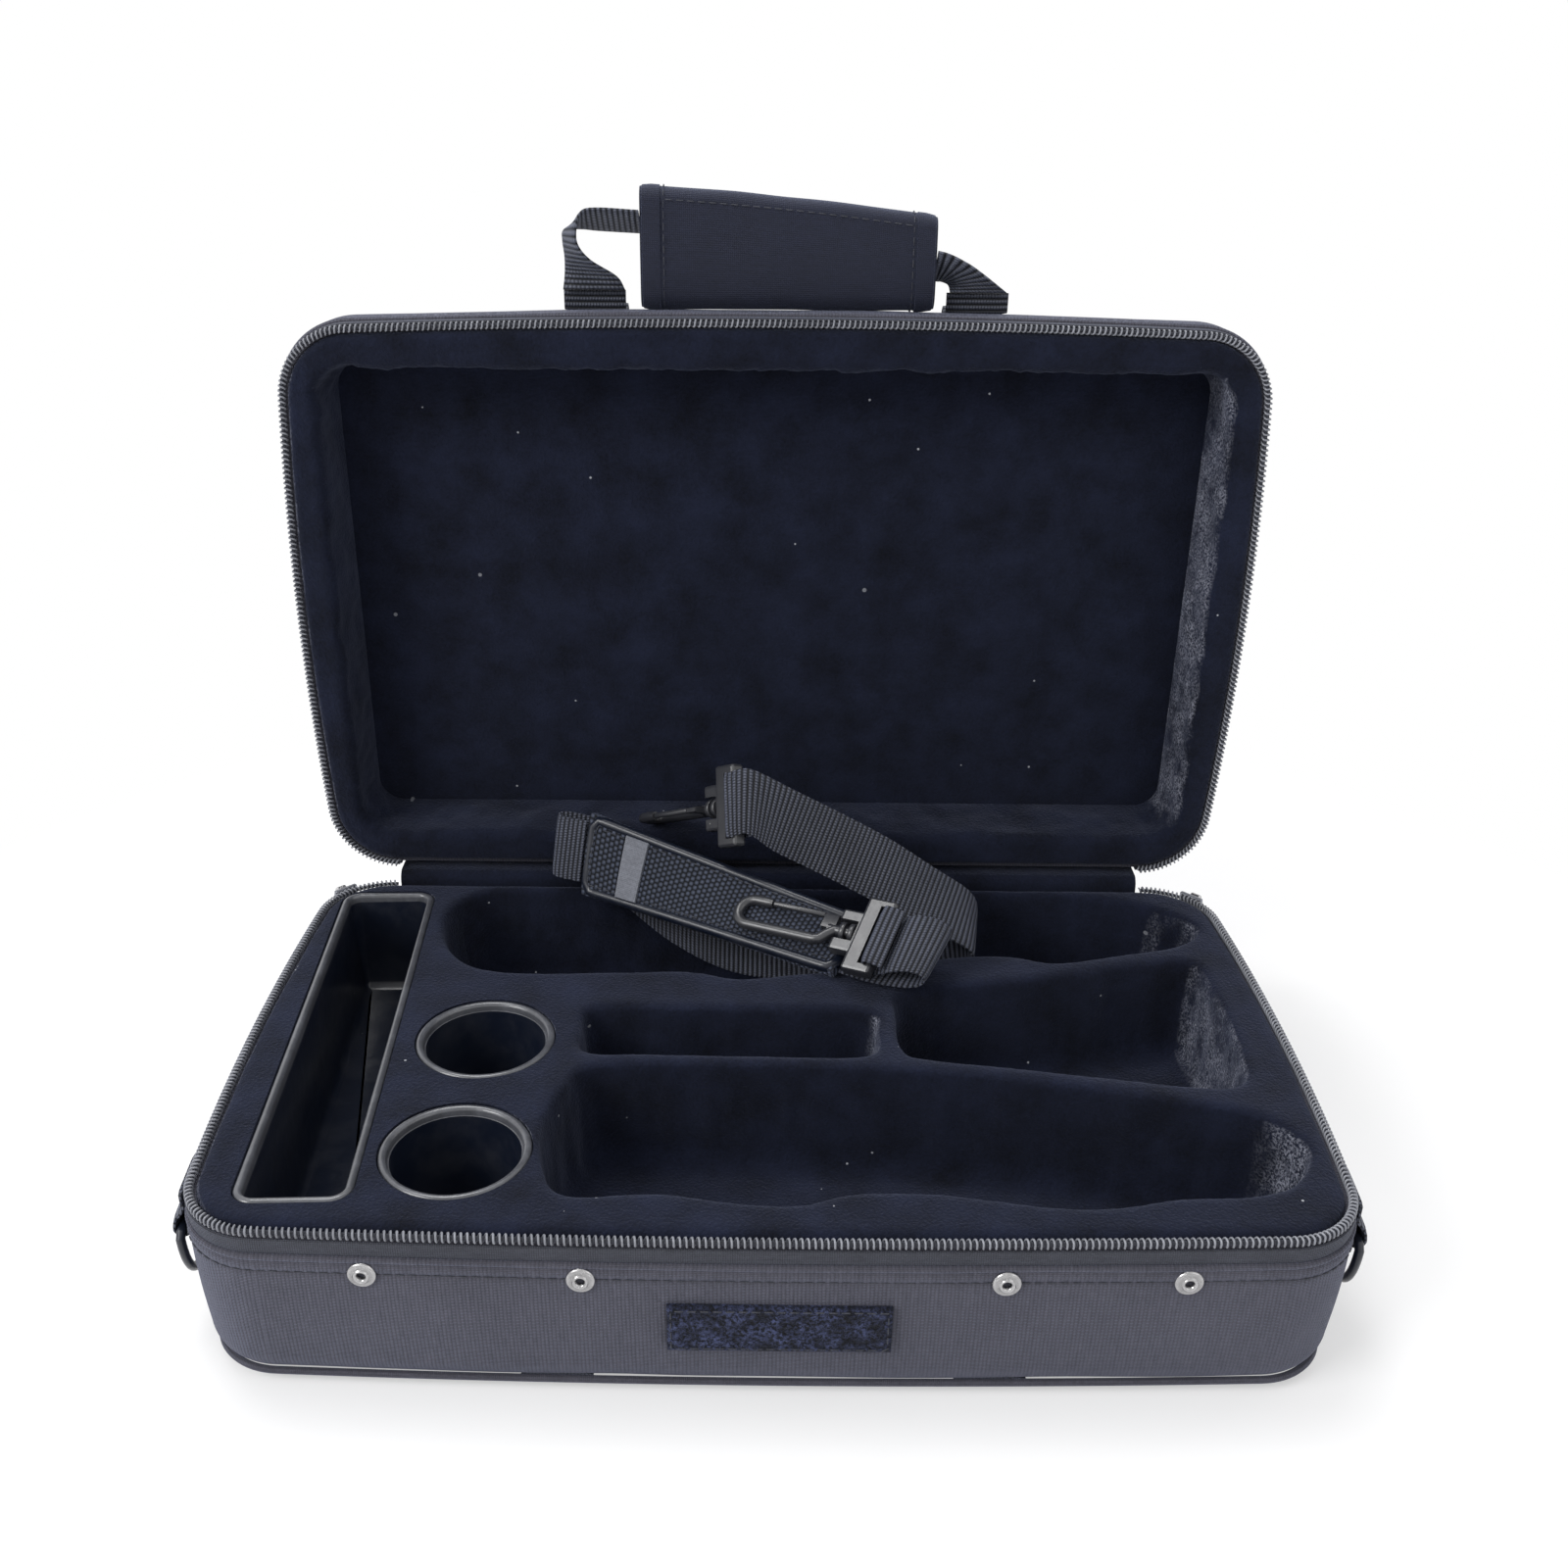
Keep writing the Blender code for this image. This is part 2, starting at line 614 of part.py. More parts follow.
def make_tray(frame):
    """A deep black tub with a thin flat rim."""
    loop = rounded_rectangle(TRAY_WIDTH, TRAY_LENGTH, TRAY_CORNER)
    top = -PARTING_GAP
    under = top - TRAY_RIM_THICKNESS
    outer = TRAY_RIM
    inner = TRAY_RIM + TRAY_WALL
    rings = [
        ring(loop, outer + TRAY_DRAFT, -TRAY_DEPTH),
        ring(loop, outer, under),
        ring(loop, 0, under),
        ring(loop, 0, top),
        ring(loop, inner, top),
        ring(loop, inner + TRAY_DRAFT, -TRAY_DEPTH + TRAY_WALL),
    ]
    return make_part("accessory_tray", loft(rings), GLOSS_PLASTIC, frame, math.radians(30))


def tray_cutter(frame):
    """The tray's slot in the foam, with a step for the rim."""
    loop = rounded_rectangle(TRAY_WIDTH, TRAY_LENGTH, TRAY_CORNER)
    under = -PARTING_GAP - TRAY_RIM_THICKNESS - FIT_GAP
    wide = -FIT_GAP
    narrow = TRAY_RIM - FIT_GAP
    rings = [
        ring(loop, narrow, -TRAY_DEPTH - FIT_GAP),
        ring(loop, narrow, under),
        ring(loop, wide, under),
        ring(loop, wide, CUT_OVERRUN),
    ]
    return make_cutter("tray_slot", loft(rings), frame)


def screw_part(name, profile, finish, parent, location, steps=ROUND_STEPS, turn=(0, 0, 0)):
    """A turned part from a profile of radius and height, top to bottom down its outer side."""
    mesh = bpy.data.meshes.new(name)
    points = [(radius, 0, z) for radius, z in profile]
    edges = [(index, index + 1) for index in range(len(points) - 1)]
    mesh.from_pydata(points, edges, [])
    part = bpy.data.objects.new(name, mesh)
    part.parent = parent
    part.location = location
    part.rotation_euler = turn
    step = part.modifiers.new("turn", "SCREW")
    step.steps = steps
    step.render_steps = steps
    step.use_merge_vertices = True
    step.merge_threshold = MERGE_DISTANCE
    step.use_smooth_shade = True
    mesh.materials.append(make_material(name, finish))
    PARTS.objects.link(part)
    return part


def make_cup(name, y, parent):
    """A round black cup with a rolled rim."""
    top = -PARTING_GAP
    under = top - CUP_RIM_THICKNESS
    body = CUP_RADIUS - CUP_RIM
    inner = body - CUP_WALL
    round_off = CUP_RIM_THICKNESS / 3
    profile = (
        (0, -CUP_DEPTH + CUP_WALL), (inner - CUP_DRAFT, -CUP_DEPTH + CUP_WALL), (inner, top - round_off),
        (inner + round_off, top), (CUP_RADIUS - round_off, top), (CUP_RADIUS, top - round_off), (CUP_RADIUS, under),
        (body, under), (body - CUP_DRAFT, -CUP_DEPTH), (0, -CUP_DEPTH))
    return screw_part(name, profile, GLOSS_PLASTIC, parent, (CUP_X, y, 0))


def cup_cutter(name, y, parent):
    """A cup's stepped hole in the foam."""
    body = CUP_RADIUS - CUP_RIM + FIT_GAP
    step = -PARTING_GAP - CUP_RIM_THICKNESS - FIT_GAP
    wide = CUP_RADIUS + FIT_GAP
    circle = [(Vector((0, 0)), Vector((math.cos(a), math.sin(a))))
              for a in (2 * math.pi * k / ROUND_STEPS for k in range(ROUND_STEPS))]
    levels = ((body, -CUP_DEPTH - FIT_GAP), (body, step), (wide, step), (wide, CUT_OVERRUN))
    rings = [[(CUP_X + x, y + v, z) for x, v, z in ring(circle, -radius, level)] for radius, level in levels]
    return make_cutter(name, loft(rings), parent)


def make_insert(parent, tray_place):
    """The plush-covered foam that fills the base, with its pockets and slots cut out."""
    outline = rim_outline()
    clear = SHELL_WALL + FIT_GAP
    fillet_start = BASE_HEIGHT - EDGE_FILLET
    lean = wall_inset(BASE_HEIGHT, fillet_start)
    inner_fillet = EDGE_FILLET - SHELL_WALL
    lip_drop = TEETH_HEIGHT + PARTING_GAP
    lip = TAPE_INSET + TEETH_WIDTH + FIT_GAP
    diagonal = 1 - math.sqrt(0.5)
    bottom = BASE_HEIGHT - SHELL_WALL - FIT_GAP
    levels = (
        (clear + lean + inner_fillet, -bottom),
        (clear + lean + inner_fillet * diagonal, -bottom + inner_fillet * diagonal),
        (clear + lean, -fillet_start),
        (clear, -lip_drop),
        (lip, -lip_drop),
        (lip, -PARTING_GAP - RIM_ROUND),
        (lip + RIM_ROUND * diagonal, -PARTING_GAP - RIM_ROUND * diagonal),
        (lip + RIM_ROUND, -PARTING_GAP),
    )
    part = make_part("base_insert", loft([ring(outline, inset, z) for inset, z in levels]), PLUSH, parent)
    cutters = (
        pocket_cutter("front_pocket", pocket_loop(FRONT_POCKET_SHARES, FRONT_POCKET_LEFT, FRONT_POCKET_RIGHT,
                                                  FRONT_POCKET_DEPTH_SHARES), POCKET_DEPTH, parent),
        pocket_cutter("back_pocket", pocket_loop(BACK_POCKET_SHARES, BACK_POCKET_LEFT, BACK_POCKET_RIGHT,
                                                 BACK_POCKET_DEPTH_SHARES), POCKET_DEPTH, parent),
        pocket_cutter("barrel_pocket", pocket_loop(BARREL_POCKET_SHARES, BARREL_POCKET_LEFT, BARREL_POCKET_RIGHT,
                                                   BARREL_POCKET_DEPTH_SHARES), BARREL_DEPTH, parent),
        pocket_cutter("bell_pocket", pocket_loop(BELL_POCKET_SHARES, BELL_POCKET_LEFT, BELL_POCKET_RIGHT,
                                                 BELL_POCKET_DEPTH_SHARES), POCKET_DEPTH, parent),
        tray_cutter(tray_place),
        cup_cutter("rear_cup_hole", CUP_REAR_Y, parent),
        cup_cutter("front_cup_hole", CUP_FRONT_Y, parent),
    )
    for cutter in cutters:
        boolean(part, cutter, "DIFFERENCE")
    return part


def make_rivets(shell, parent):
    """Four hollow rivets with dished washers along the front seam, each seated in its own hole."""
    inset = wall_inset(BASE_HEIGHT, RIVET_DROP)
    seat = FIT_GAP
    crown = seat + RIVET_HEAD
    bore_floor = -RIVET_DEPTH / 2
    profile = (
        (0, bore_floor), (RIVET_BORE_RADIUS, bore_floor), (RIVET_BORE_RADIUS, crown - RIVET_HEAD / 2),
        (RIVET_SHANK_RADIUS, crown), (RIVET_RADIUS * 0.72, crown - RIVET_HEAD / 3),
        (RIVET_RADIUS, seat + RIVET_HEAD / 3), (RIVET_RADIUS, seat), (RIVET_SHANK_RADIUS, seat),
        (RIVET_SHANK_RADIUS, -RIVET_DEPTH), (0, -RIVET_DEPTH))
    for index, x in enumerate(RIVET_XS):
        place = (x, front_wall_y(x) + inset, -RIVET_DROP)
        turn = (math.pi / 2, 0, front_wall_turn(x))
        axis = make_empty(f"rivet_place_{index + 1}", parent, place, turn)
        hole = cylinder(RIVET_SHANK_RADIUS + FIT_GAP, 2 * (RIVET_DEPTH + FIT_GAP), (0, 0, 0), Matrix(), 12)
        boolean(shell, make_cutter(f"rivet_hole_{index + 1}", hole, axis), "DIFFERENCE")
        screw_part(f"front_rivet_{index + 1}", profile, NICKEL, axis, (0, 0, 0), 16)


def patch_face_y():
    """Y of the patch's outer face, the foremost of the case."""
    inset = wall_inset(BASE_HEIGHT, PATCH_DROP - PATCH_HEIGHT / 2)
    return front_wall_y(PATCH_X) + inset - FIT_GAP - PATCH_THICKNESS


def make_patch(parent):
    """The hook-and-loop patch on the front wall."""
    size = (PATCH_LENGTH, PATCH_THICKNESS, PATCH_HEIGHT)
    centre = (PATCH_X, patch_face_y() + PATCH_THICKNESS / 2, -PATCH_DROP)
    return make_part("hook_loop_patch", rounded_box(size, centre, PATCH_THICKNESS / 3), PLUSH, parent)


def fillet_crossing(centre, side, height):
    """Points over a shell's long outer fillet and its piping, as Y and distance from the parting plane.

    They run from the flat to the wall; side is 1 at the back and -1 at the front.
    """
    start = height - EDGE_FILLET
    hump = FIT_GAP + 2 * PIPING_RADIUS
    crest = math.pi / 4
    half_hump = math.atan2(PIPING_RADIUS + 2 * FIT_GAP, EDGE_FILLET + PIPING_RADIUS)
    crossing = []
    for angle, lift in ((0, 0), (crest - 2 * half_hump, 0), (crest - half_hump, hump), (crest + half_hump, hump),
                        (crest + 2 * half_hump, 0), (2 * crest, 0)):
        radius = EDGE_FILLET + lift
        crossing.append((centre + side * radius * math.sin(angle), start + radius * math.cos(angle)))
    return crossing


def base_strap_path(x):
    """The base strap's inner face from the front piping under the base and up the back wall."""
    lean = wall_inset(BASE_HEIGHT, BASE_HEIGHT - EDGE_FILLET)
    front = front_wall_y(x) + lean + EDGE_FILLET
    back = CASE_DEPTH - lean - EDGE_FILLET
    path = list(reversed(fillet_crossing(front, -1, BASE_HEIGHT)[:2]))
    path.extend(fillet_crossing(back, 1, BASE_HEIGHT))
    path.append((CASE_DEPTH - wall_inset(BASE_HEIGHT, STRAP_END_RISE), STRAP_END_RISE))
    return path


def handle_root(x):
    """Y of the lid's front wall where a handle strap turns outward."""
    return front_wall_y(x) + wall_inset(LID_HEIGHT, HANDLE_RISE)


def handle_axis_y():
    """Y of the handle's fold line in front of the closed lid's wall."""
    return handle_root(0) - GRIP_THICKNESS / 2 - GRIP_CLEARANCE


def lid_strap_path(x):
    """The lid strap's inner face from the hinge over the lid, down its front wall and out to the handle."""
    lean = wall_inset(LID_HEIGHT, LID_HEIGHT - EDGE_FILLET)
    front = front_wall_y(x) + lean + EDGE_FILLET
    back = CASE_DEPTH - lean - EDGE_FILLET
    turn = HANDLE_RISE + FIT_GAP + WEB_THICKNESS / 2
    path = [(front_wall_y(x) + wall_inset(LID_HEIGHT, turn), turn)]
    path.extend(reversed(fillet_crossing(front, -1, LID_HEIGHT)))
    path.extend(fillet_crossing(back, 1, LID_HEIGHT))
    path.append((CASE_DEPTH - wall_inset(LID_HEIGHT, STRAP_END_RISE), STRAP_END_RISE))
    stub_end = handle_axis_y() + WEB_THICKNESS / 2 + STUB_CLEARANCE
    path.insert(0, (stub_end, turn))
    return path


def offset_path(path, distance):
    """Moves a polyline outward by a distance, with mitred corners."""
    points = [Vector(point) for point in path]
    normals = []
    for start, end in zip(points, points[1:]):
        along = (end - start).normalized()
        normals.append(Vector((-along.y, along.x)))
    result = []
    for index, point in enumerate(points):
        before = normals[max(index - 1, 0)]
        after = normals[min(index, len(normals) - 1)]
        middle = (before + after).normalized()
        result.append(point + middle * distance / middle.dot(after))
    return result


def make_shell_strap(name, x, path, side, parent):
    """Flat webbing that follows a path of Y and distance from the parting plane."""
    near = offset_path(path, FIT_GAP)
    far = offset_path(path, STRAP_OFFSET)
    half = STRAP_WIDTH / 2
    stations = []
    for (near_y, near_drop), (far_y, far_drop) in zip(near, far):
        stations.append([(x - half, near_y, side * near_drop), (x + half, near_y, side * near_drop),
                         (x + half, far_y, side * far_drop), (x - half, far_y, side * far_drop)])
    return make_part(name, loft(stations), WEBBING, parent, math.radians(50))


def make_hinge_cloth(base, lid):
    """The cloth hinge, split where it folds: one flap on each back wall, and the fold's bead on the hinge line."""
    near = CASE_DEPTH + FIT_GAP
    far = near + HINGE_CLOTH_THICKNESS
    bead = HINGE_Y - far - FIT_GAP
    outline = [(near, -HINGE_CLOTH_REACH), (far, -HINGE_CLOTH_REACH), (far, -2 * bead)]
    steps = 6
    start = -math.pi / 4
    for step in range(steps + 1):
        angle = start + (math.pi - start) * step / steps
        outline.append((HINGE_Y + bead * math.cos(angle), bead * math.sin(angle)))
    outline.append((near, -FIT_GAP))
    rings = [[(x, y, z) for y, z in outline] for x in (-HINGE_CLOTH_HALF, HINGE_CLOTH_HALF)]
    make_part("hinge_cloth_base", loft(rings), CLOTH, base)
    size = (2 * HINGE_CLOTH_HALF, HINGE_CLOTH_THICKNESS, HINGE_CLOTH_REACH - FIT_GAP)
    centre = (0, (near + far) / 2 - HINGE_Y, (FIT_GAP + HINGE_CLOTH_REACH) / 2)
    make_part("hinge_cloth_lid", box(size, centre), CLOTH, lid)


def curve_mesh(name, points, radius, cyclic, resolution, matrix=Matrix()):
    """A bevelled curve through points, made into a mesh with its caps welded."""
    curve = bpy.data.curves.new(name, "CURVE")
    curve.dimensions = "3D"
    curve.bevel_depth = radius
    curve.bevel_resolution = resolution
    curve.use_fill_caps = not cyclic
    spline = curve.splines.new("POLY")
    spline.points.add(len(points) - 1)
    for place, point in zip(spline.points, points):
        place.co = (*point, 1)
    spline.use_cyclic_u = cyclic
    holder = bpy.data.objects.new(name, curve)
    CUTTERS.objects.link(holder)
    bpy.context.view_layer.update()
    mesh = bpy.data.meshes.new_from_object(holder.evaluated_get(bpy.context.evaluated_depsgraph_get()))
    bpy.data.objects.remove(holder, do_unlink=True)
    bm = bmesh.new()
    bm.from_mesh(mesh)
    bpy.data.meshes.remove(mesh)
    bmesh.ops.remove_doubles(bm, verts=bm.verts, dist=MERGE_DISTANCE)
    bmesh.ops.transform(bm, matrix=matrix, verts=bm.verts)
    return bm


def make_ring_set(side_name, side, parent):
    """A webbing tab on a side wall with a D-shaped ring hanging in its fold."""
    wall_x, lean = side_wall(TAB_Y)
    inset = wall_inset(BASE_HEIGHT, TAB_TOP_DROP)
    fold = RING_WIRE + FIT_GAP + WEB_THICKNESS
    out = 2 * FIT_GAP + fold
    x = (wall_x - inset + out * math.cos(lean)) * side
    axis = make_empty(f"ring_axis_{side_name}", parent, (x, TAB_Y + out * math.sin(lean), -RING_DROP),
                      (0, 0, side * lean))
    ring_points = [(0, RING_HALF_WIDTH * share, 0) for share in (-1, -0.5, 0.5, 1)]
    for step in range(1, 12):
        angle = math.pi * step / 12
        ring_points.append((0, RING_HALF_WIDTH * math.cos(angle), -RING_REACH * math.sin(angle)))
    make_part(f"side_ring_{side_name}", curve_mesh("ring_wire", ring_points, RING_WIRE, True, 1), GLOSS_PLASTIC, axis)
    hole = RING_WIRE + FIT_GAP
    tail = RING_DROP - TAB_TOP_DROP
    steps = 8
    outer = []
    inner = []
    for step in range(steps + 1):
        angle = math.pi * step / steps
        outer.append((-fold * math.cos(angle), -fold * math.sin(angle)))
    outer.append((fold, fold))
    outer.append((-fold + 2 * WEB_THICKNESS, tail * TAB_TAPER_SHARE))
    outer.append((-fold + 2 * WEB_THICKNESS, tail))
    outer.append((-fold, tail))
    for step in range(2 * steps):
        angle = math.pi * step / steps
        inner.append((hole * math.cos(angle), hole * math.sin(angle)))
    tab = extruded_outline(f"ring_tab_{side_name}", outer, TAB_WIDTH, side, axis)
    bore = cylinder(hole, TAB_WIDTH + CUT_OVERRUN, (0, 0, 0), Matrix.Rotation(math.pi / 2, 4, "X"), 2 * steps)
    boolean(tab, make_cutter("tab_fold", bore, axis), "DIFFERENCE")
    return axis


def extruded_outline(name, points, width, side, parent):
    """An outline in XZ, X outward, drawn out along Y."""
    half = width / 2
    rings = [[(side * x, y, z) for x, z in points] for y in (-half, half)]
    return make_part(name, loft(rings), WEBBING, parent, math.radians(30))


def make_slider_set(side_name, side, parent):
    """A zip slider parked at a back corner, with its pull hanging from the crown."""
    turn = SLIDER_ANGLE if side > 0 else math.pi - SLIDER_ANGLE
    axis = make_empty(f"slider_axis_{side_name}", parent, (side * CORNER_X, BACK_CORNER_Y, 0), (0, 0, turn))
    near = CORNER_RADIUS + SLIDER_CLEARANCE
    far = near + SLIDER_THICKNESS
    middle_z = -SLIDER_TOP_DROP - SLIDER_HEIGHT / 2
    size = (SLIDER_THICKNESS, SLIDER_LENGTH, SLIDER_HEIGHT)
    body = rounded_box(size, ((near + far) / 2, 0, middle_z), SLIDER_THICKNESS / 4)
    slider = make_part(f"zipper_slider_{side_name}", body, TEETH, axis)
    eye_radius = CROWN_WIRE + FIT_GAP + PULL_EYE_WALL
    bar = far + FIT_GAP + eye_radius
    z = -CROWN_DROP
    sunk = far - SLIDER_THICKNESS / 2
    bend = CROWN_WIRE
    crown = ((sunk, -CROWN_HALF_SPAN, z), (bar - bend, -CROWN_HALF_SPAN, z), (bar, bend - CROWN_HALF_SPAN, z),
             (bar, CROWN_HALF_SPAN - bend, z), (bar - bend, CROWN_HALF_SPAN, z), (sunk, CROWN_HALF_SPAN, z))
    boolean(slider, make_cutter("crown", curve_mesh("crown", crown, CROWN_WIRE, False, 1), axis), "UNION")
    pull_axis = make_empty(f"pull_axis_{side_name}", axis, (bar, 0, z))
    half = PULL_THICKNESS / 2
    outline = []
    steps = 10
    start = math.asin(half / eye_radius)
    for step in range(steps + 1):
        angle = -math.pi / 2 + start + (2 * math.pi - 2 * start) * step / steps
        outline.append((eye_radius * math.cos(angle), eye_radius * math.sin(angle)))
    shoulder = eye_radius + PULL_THICKNESS
    neck = outline + [(-half, -shoulder), (half, -shoulder)]
    eye = loft([[(x, y, v) for x, v in neck] for y in (-PULL_EYE_WIDTH / 2, PULL_EYE_WIDTH / 2)])
    pull = make_part(f"zipper_pull_{side_name}", eye, NICKEL, pull_axis)
    tab_length = PULL_LENGTH - shoulder + half
    tab = rounded_box((PULL_THICKNESS, PULL_WIDTH, tab_length), (0, 0, -shoulder + half - tab_length / 2),
                      PULL_THICKNESS / 4)
    boolean(pull, make_cutter("pull_tab", tab, pull_axis), "UNION")
    hole = cylinder(CROWN_WIRE + FIT_GAP, PULL_EYE_WIDTH + CUT_OVERRUN, (0, 0, 0),
                    Matrix.Rotation(math.pi / 2, 4, "X"), 12)
    boolean(pull, make_cutter("pull_eye", hole, pull_axis), "DIFFERENCE")


def recess_loop(inset):
    """The lid recess in plan, with as many points as the rim so the two can be joined."""
    half_x = CASE_LENGTH / 2 - LID_BORDER_SIDE
    front = LID_BORDER_FRONT
    back = CASE_DEPTH - LID_BORDER_BACK
    radius = LID_RECESS_CORNER
    x = half_x - radius
    low = front + radius
    high = back - radius
    quarter = math.pi / 2
    loop = []

    def straight(start, end, normal, steps):
        for step in range(steps):
            share = step / steps
            loop.append((Vector(start).lerp(Vector(end), share), Vector(normal)))

    straight((-x, front), (x, front), (0, -1), FRONT_STEPS)
    loop.extend(arc_points((x, low), radius, -quarter, 0, CORNER_STEPS))
    straight((half_x, low), (half_x, high), (1, 0), SIDE_STEPS)
    loop.extend(arc_points((x, high), radius, 0, quarter, CORNER_STEPS))
    straight((x, back), (-x, back), (0, 1), BACK_STEPS)
    loop.extend(arc_points((-x, high), radius, quarter, 2 * quarter, CORNER_STEPS))
    straight((-half_x, high), (-half_x, low), (-1, 0), SIDE_STEPS)
    loop.extend(arc_points((-x, low), radius, 2 * quarter, 3 * quarter, CORNER_STEPS))
    return loop


def make_lid_lining(parent):
    """The plush-covered foam border of the lid and the flat panel at the bottom of its recess."""
    outline = rim_outline()
    clear = SHELL_WALL + FIT_GAP
    lip = TAPE_INSET + TEETH_WIDTH + FIT_GAP
    lip_rise = TEETH_HEIGHT + PARTING_GAP
    diagonal = 1 - math.sqrt(0.5)
    recess = recess_loop(0)
    fillet_start = LID_HEIGHT - EDGE_FILLET
    lean = wall_inset(LID_HEIGHT, fillet_start)
    border_top = LID_RECESS_DEPTH - FIT_GAP
    rings = [
        ring(recess, LID_RECESS_DRAFT, border_top),
        ring(recess, 0, PARTING_GAP + RIM_ROUND),
        ring(recess, -RIM_ROUND * diagonal, PARTING_GAP + RIM_ROUND * diagonal),
        ring(recess, -RIM_ROUND, PARTING_GAP),
        ring(outline, lip + RIM_ROUND, PARTING_GAP),
        ring(outline, lip + RIM_ROUND * diagonal, PARTING_GAP + RIM_ROUND * diagonal),
        ring(outline, lip, PARTING_GAP + RIM_ROUND),
        ring(outline, lip, lip_rise),
        ring(outline, clear, lip_rise),
        ring(outline, clear + lean, border_top),
    ]
    border = closed_band(rings)
    bmesh.ops.translate(border, vec=(0, -HINGE_Y, 0), verts=border.verts)
    make_part("lid_border", border, PLUSH, parent)
    inner_fillet = EDGE_FILLET - SHELL_WALL
    panel_top = LID_HEIGHT - SHELL_WALL - FIT_GAP
    panel = loft([
        ring(outline, clear + lean, LID_RECESS_DEPTH),
        ring(outline, clear + lean + inner_fillet * diagonal, panel_top - inner_fillet * diagonal),
        ring(outline, clear + lean + inner_fillet, panel_top),
    ])
    bmesh.ops.translate(panel, vec=(0, -HINGE_Y, 0), verts=panel.verts)
    make_part("lid_panel", panel, PLUSH, parent)


def move_to_hinge(part):
    """Shifts a lid part's mesh so that its origin is on the hinge line."""
    part.data.transform(Matrix.Translation((0, -HINGE_Y, 0)))
    return part


def ribbon(stations, thickness):
    """A flat band through stations of centre and half-width vector."""
    rings = []
    for index, (centre, half) in enumerate(stations):
        centre = Vector(centre)
        half = Vector(half)
        before = Vector(stations[max(index - 1, 0)][0])
        after = Vector(stations[min(index + 1, len(stations) - 1)][0])
        along = (after - before).normalized()
        lift = along.cross(half).normalized() * thickness / 2
        rings.append([centre - half - lift, centre + half - lift, centre + half + lift, centre - half + lift])
    return loft(rings)


def make_handle(lid):
    """The webbing legs and the padded wrap grip, standing up from the front wall of the lid."""
    axis = make_empty("handle_axis", lid, (0, handle_axis_y() - HINGE_Y, HANDLE_RISE), (math.pi, 0, 0))
    half = STRAP_WIDTH / 2
    left_x, right_x = LID_STRAP_XS
    left_end = GRIP_LEFT - FIT_GAP
    right_end = GRIP_RIGHT + FIT_GAP
    height = GRIP_TOP_LEFT
    left = (
        (left_x, 0, half, 0, 0),
        (left_x - half * 0.10, height * 0.14, half * 0.85, 0, LEG_CURL * 0.45),
        (left_x - half * 0.50, height * 0.30, half * 0.45, 0, LEG_CURL * 0.90),
        (left_x - half * 0.72, height * 0.45, half * 0.28, 0, LEG_CURL),
        (left_x - half * 0.70, height * 0.58, half * 0.24, half * 0.10, LEG_CURL),
        (left_x - half * 0.35, height * 0.66, half * 0.06, half * 0.30, LEG_CURL),
        (left_x + half * 0.20, height * 0.67, 0, half * 0.38, LEG_CURL),
        (left_end, height * 0.65, 0, half * 0.38, LEG_CURL),
    )
    height = GRIP_TOP_RIGHT
    right = (
        (right_x, 0, half * 0.92, 0, 0),
        (right_x - half * 0.30, height * 0.13, half * 0.66, half * 0.10, LEG_CURL * 0.55),
        (right_x - half * 0.75, height * 0.25, half * 0.40, half * 0.30, LEG_CURL * 0.90),
        (right_x - half * 1.15, height * 0.32, half * 0.14, half * 0.46, LEG_CURL),
        (right_end, height * 0.35, 0, half * 0.50, LEG_CURL),
    )
    for name, route in (("left", left), ("right", right)):
        stations = [((x, rise, 0), (across, up, back)) for x, rise, across, up, back in route]
        make_part(f"handle_leg_{name}", ribbon(stations, WEB_THICKNESS), WEBBING, axis)
    stations = 5
    steps = 8
    rings = []
    for station in range(stations):
        share = station / (stations - 1)
        x = GRIP_LEFT + (GRIP_RIGHT - GRIP_LEFT) * share
        top = GRIP_TOP_LEFT + (GRIP_TOP_RIGHT - GRIP_TOP_LEFT) * share
        radius = GRIP_THICKNESS / 2
        row = []
        for step in range(steps + 1):
            angle = math.pi + math.pi * step / steps
            row.append((x, radius * math.sin(angle), radius * math.cos(angle)))
        for step in range(steps + 1):
            angle = math.pi * step / steps
            rise = top - GRIP_TOP_ROUND + GRIP_TOP_ROUND * math.sin(angle)
            row.append((x, rise, GRIP_TOP_ROUND * math.cos(angle)))
        rings.append(row)
    make_part("handle_grip", loft(rings), CLOTH, axis)


def frame_empty(name, parent, origin, along, normal):
    """An empty whose X runs along a direction and whose Z is as near as can be to a normal."""
    x = Vector(along).normalized()
    y = Vector(normal).cross(x).normalized()
    z = x.cross(y)
    empty = make_empty(name, parent, (0, 0, 0))
    rotation = Matrix((x, y, z)).transposed().to_4x4()
    empty.matrix_local = Matrix.Translation(origin) @ rotation
    return empty


def make_pad(parent):
    """The shoulder pad: a curved strip with a raised edge, leaning from the rear pocket on the lid."""
    near_start, near_end, far_start, far_end = (
        Vector(corner) for corner in (PAD_NEAR_LEFT, PAD_NEAR_RIGHT, PAD_FAR_LEFT, PAD_FAR_RIGHT))
    steps = 6
    rings = []
    for step in range(steps + 1):
        share = step / steps
        near = near_start.lerp(near_end, share)
        far = far_start.lerp(far_end, share)
        across = (far - near).normalized()
        normal = (near_end - near_start).cross(across).normalized()
        sunk = normal * PAD_EDGE_RISE
        edge = across * PAD_EDGE_WIDTH
        back = normal * PAD_THICKNESS
        rings.append([near - back, far - back, far, far - edge, far - 2 * edge - sunk,
                      near + 2 * edge - sunk, near + edge, near])
    make_part("shoulder_pad", loft(rings), PAD_CLOTH, parent)


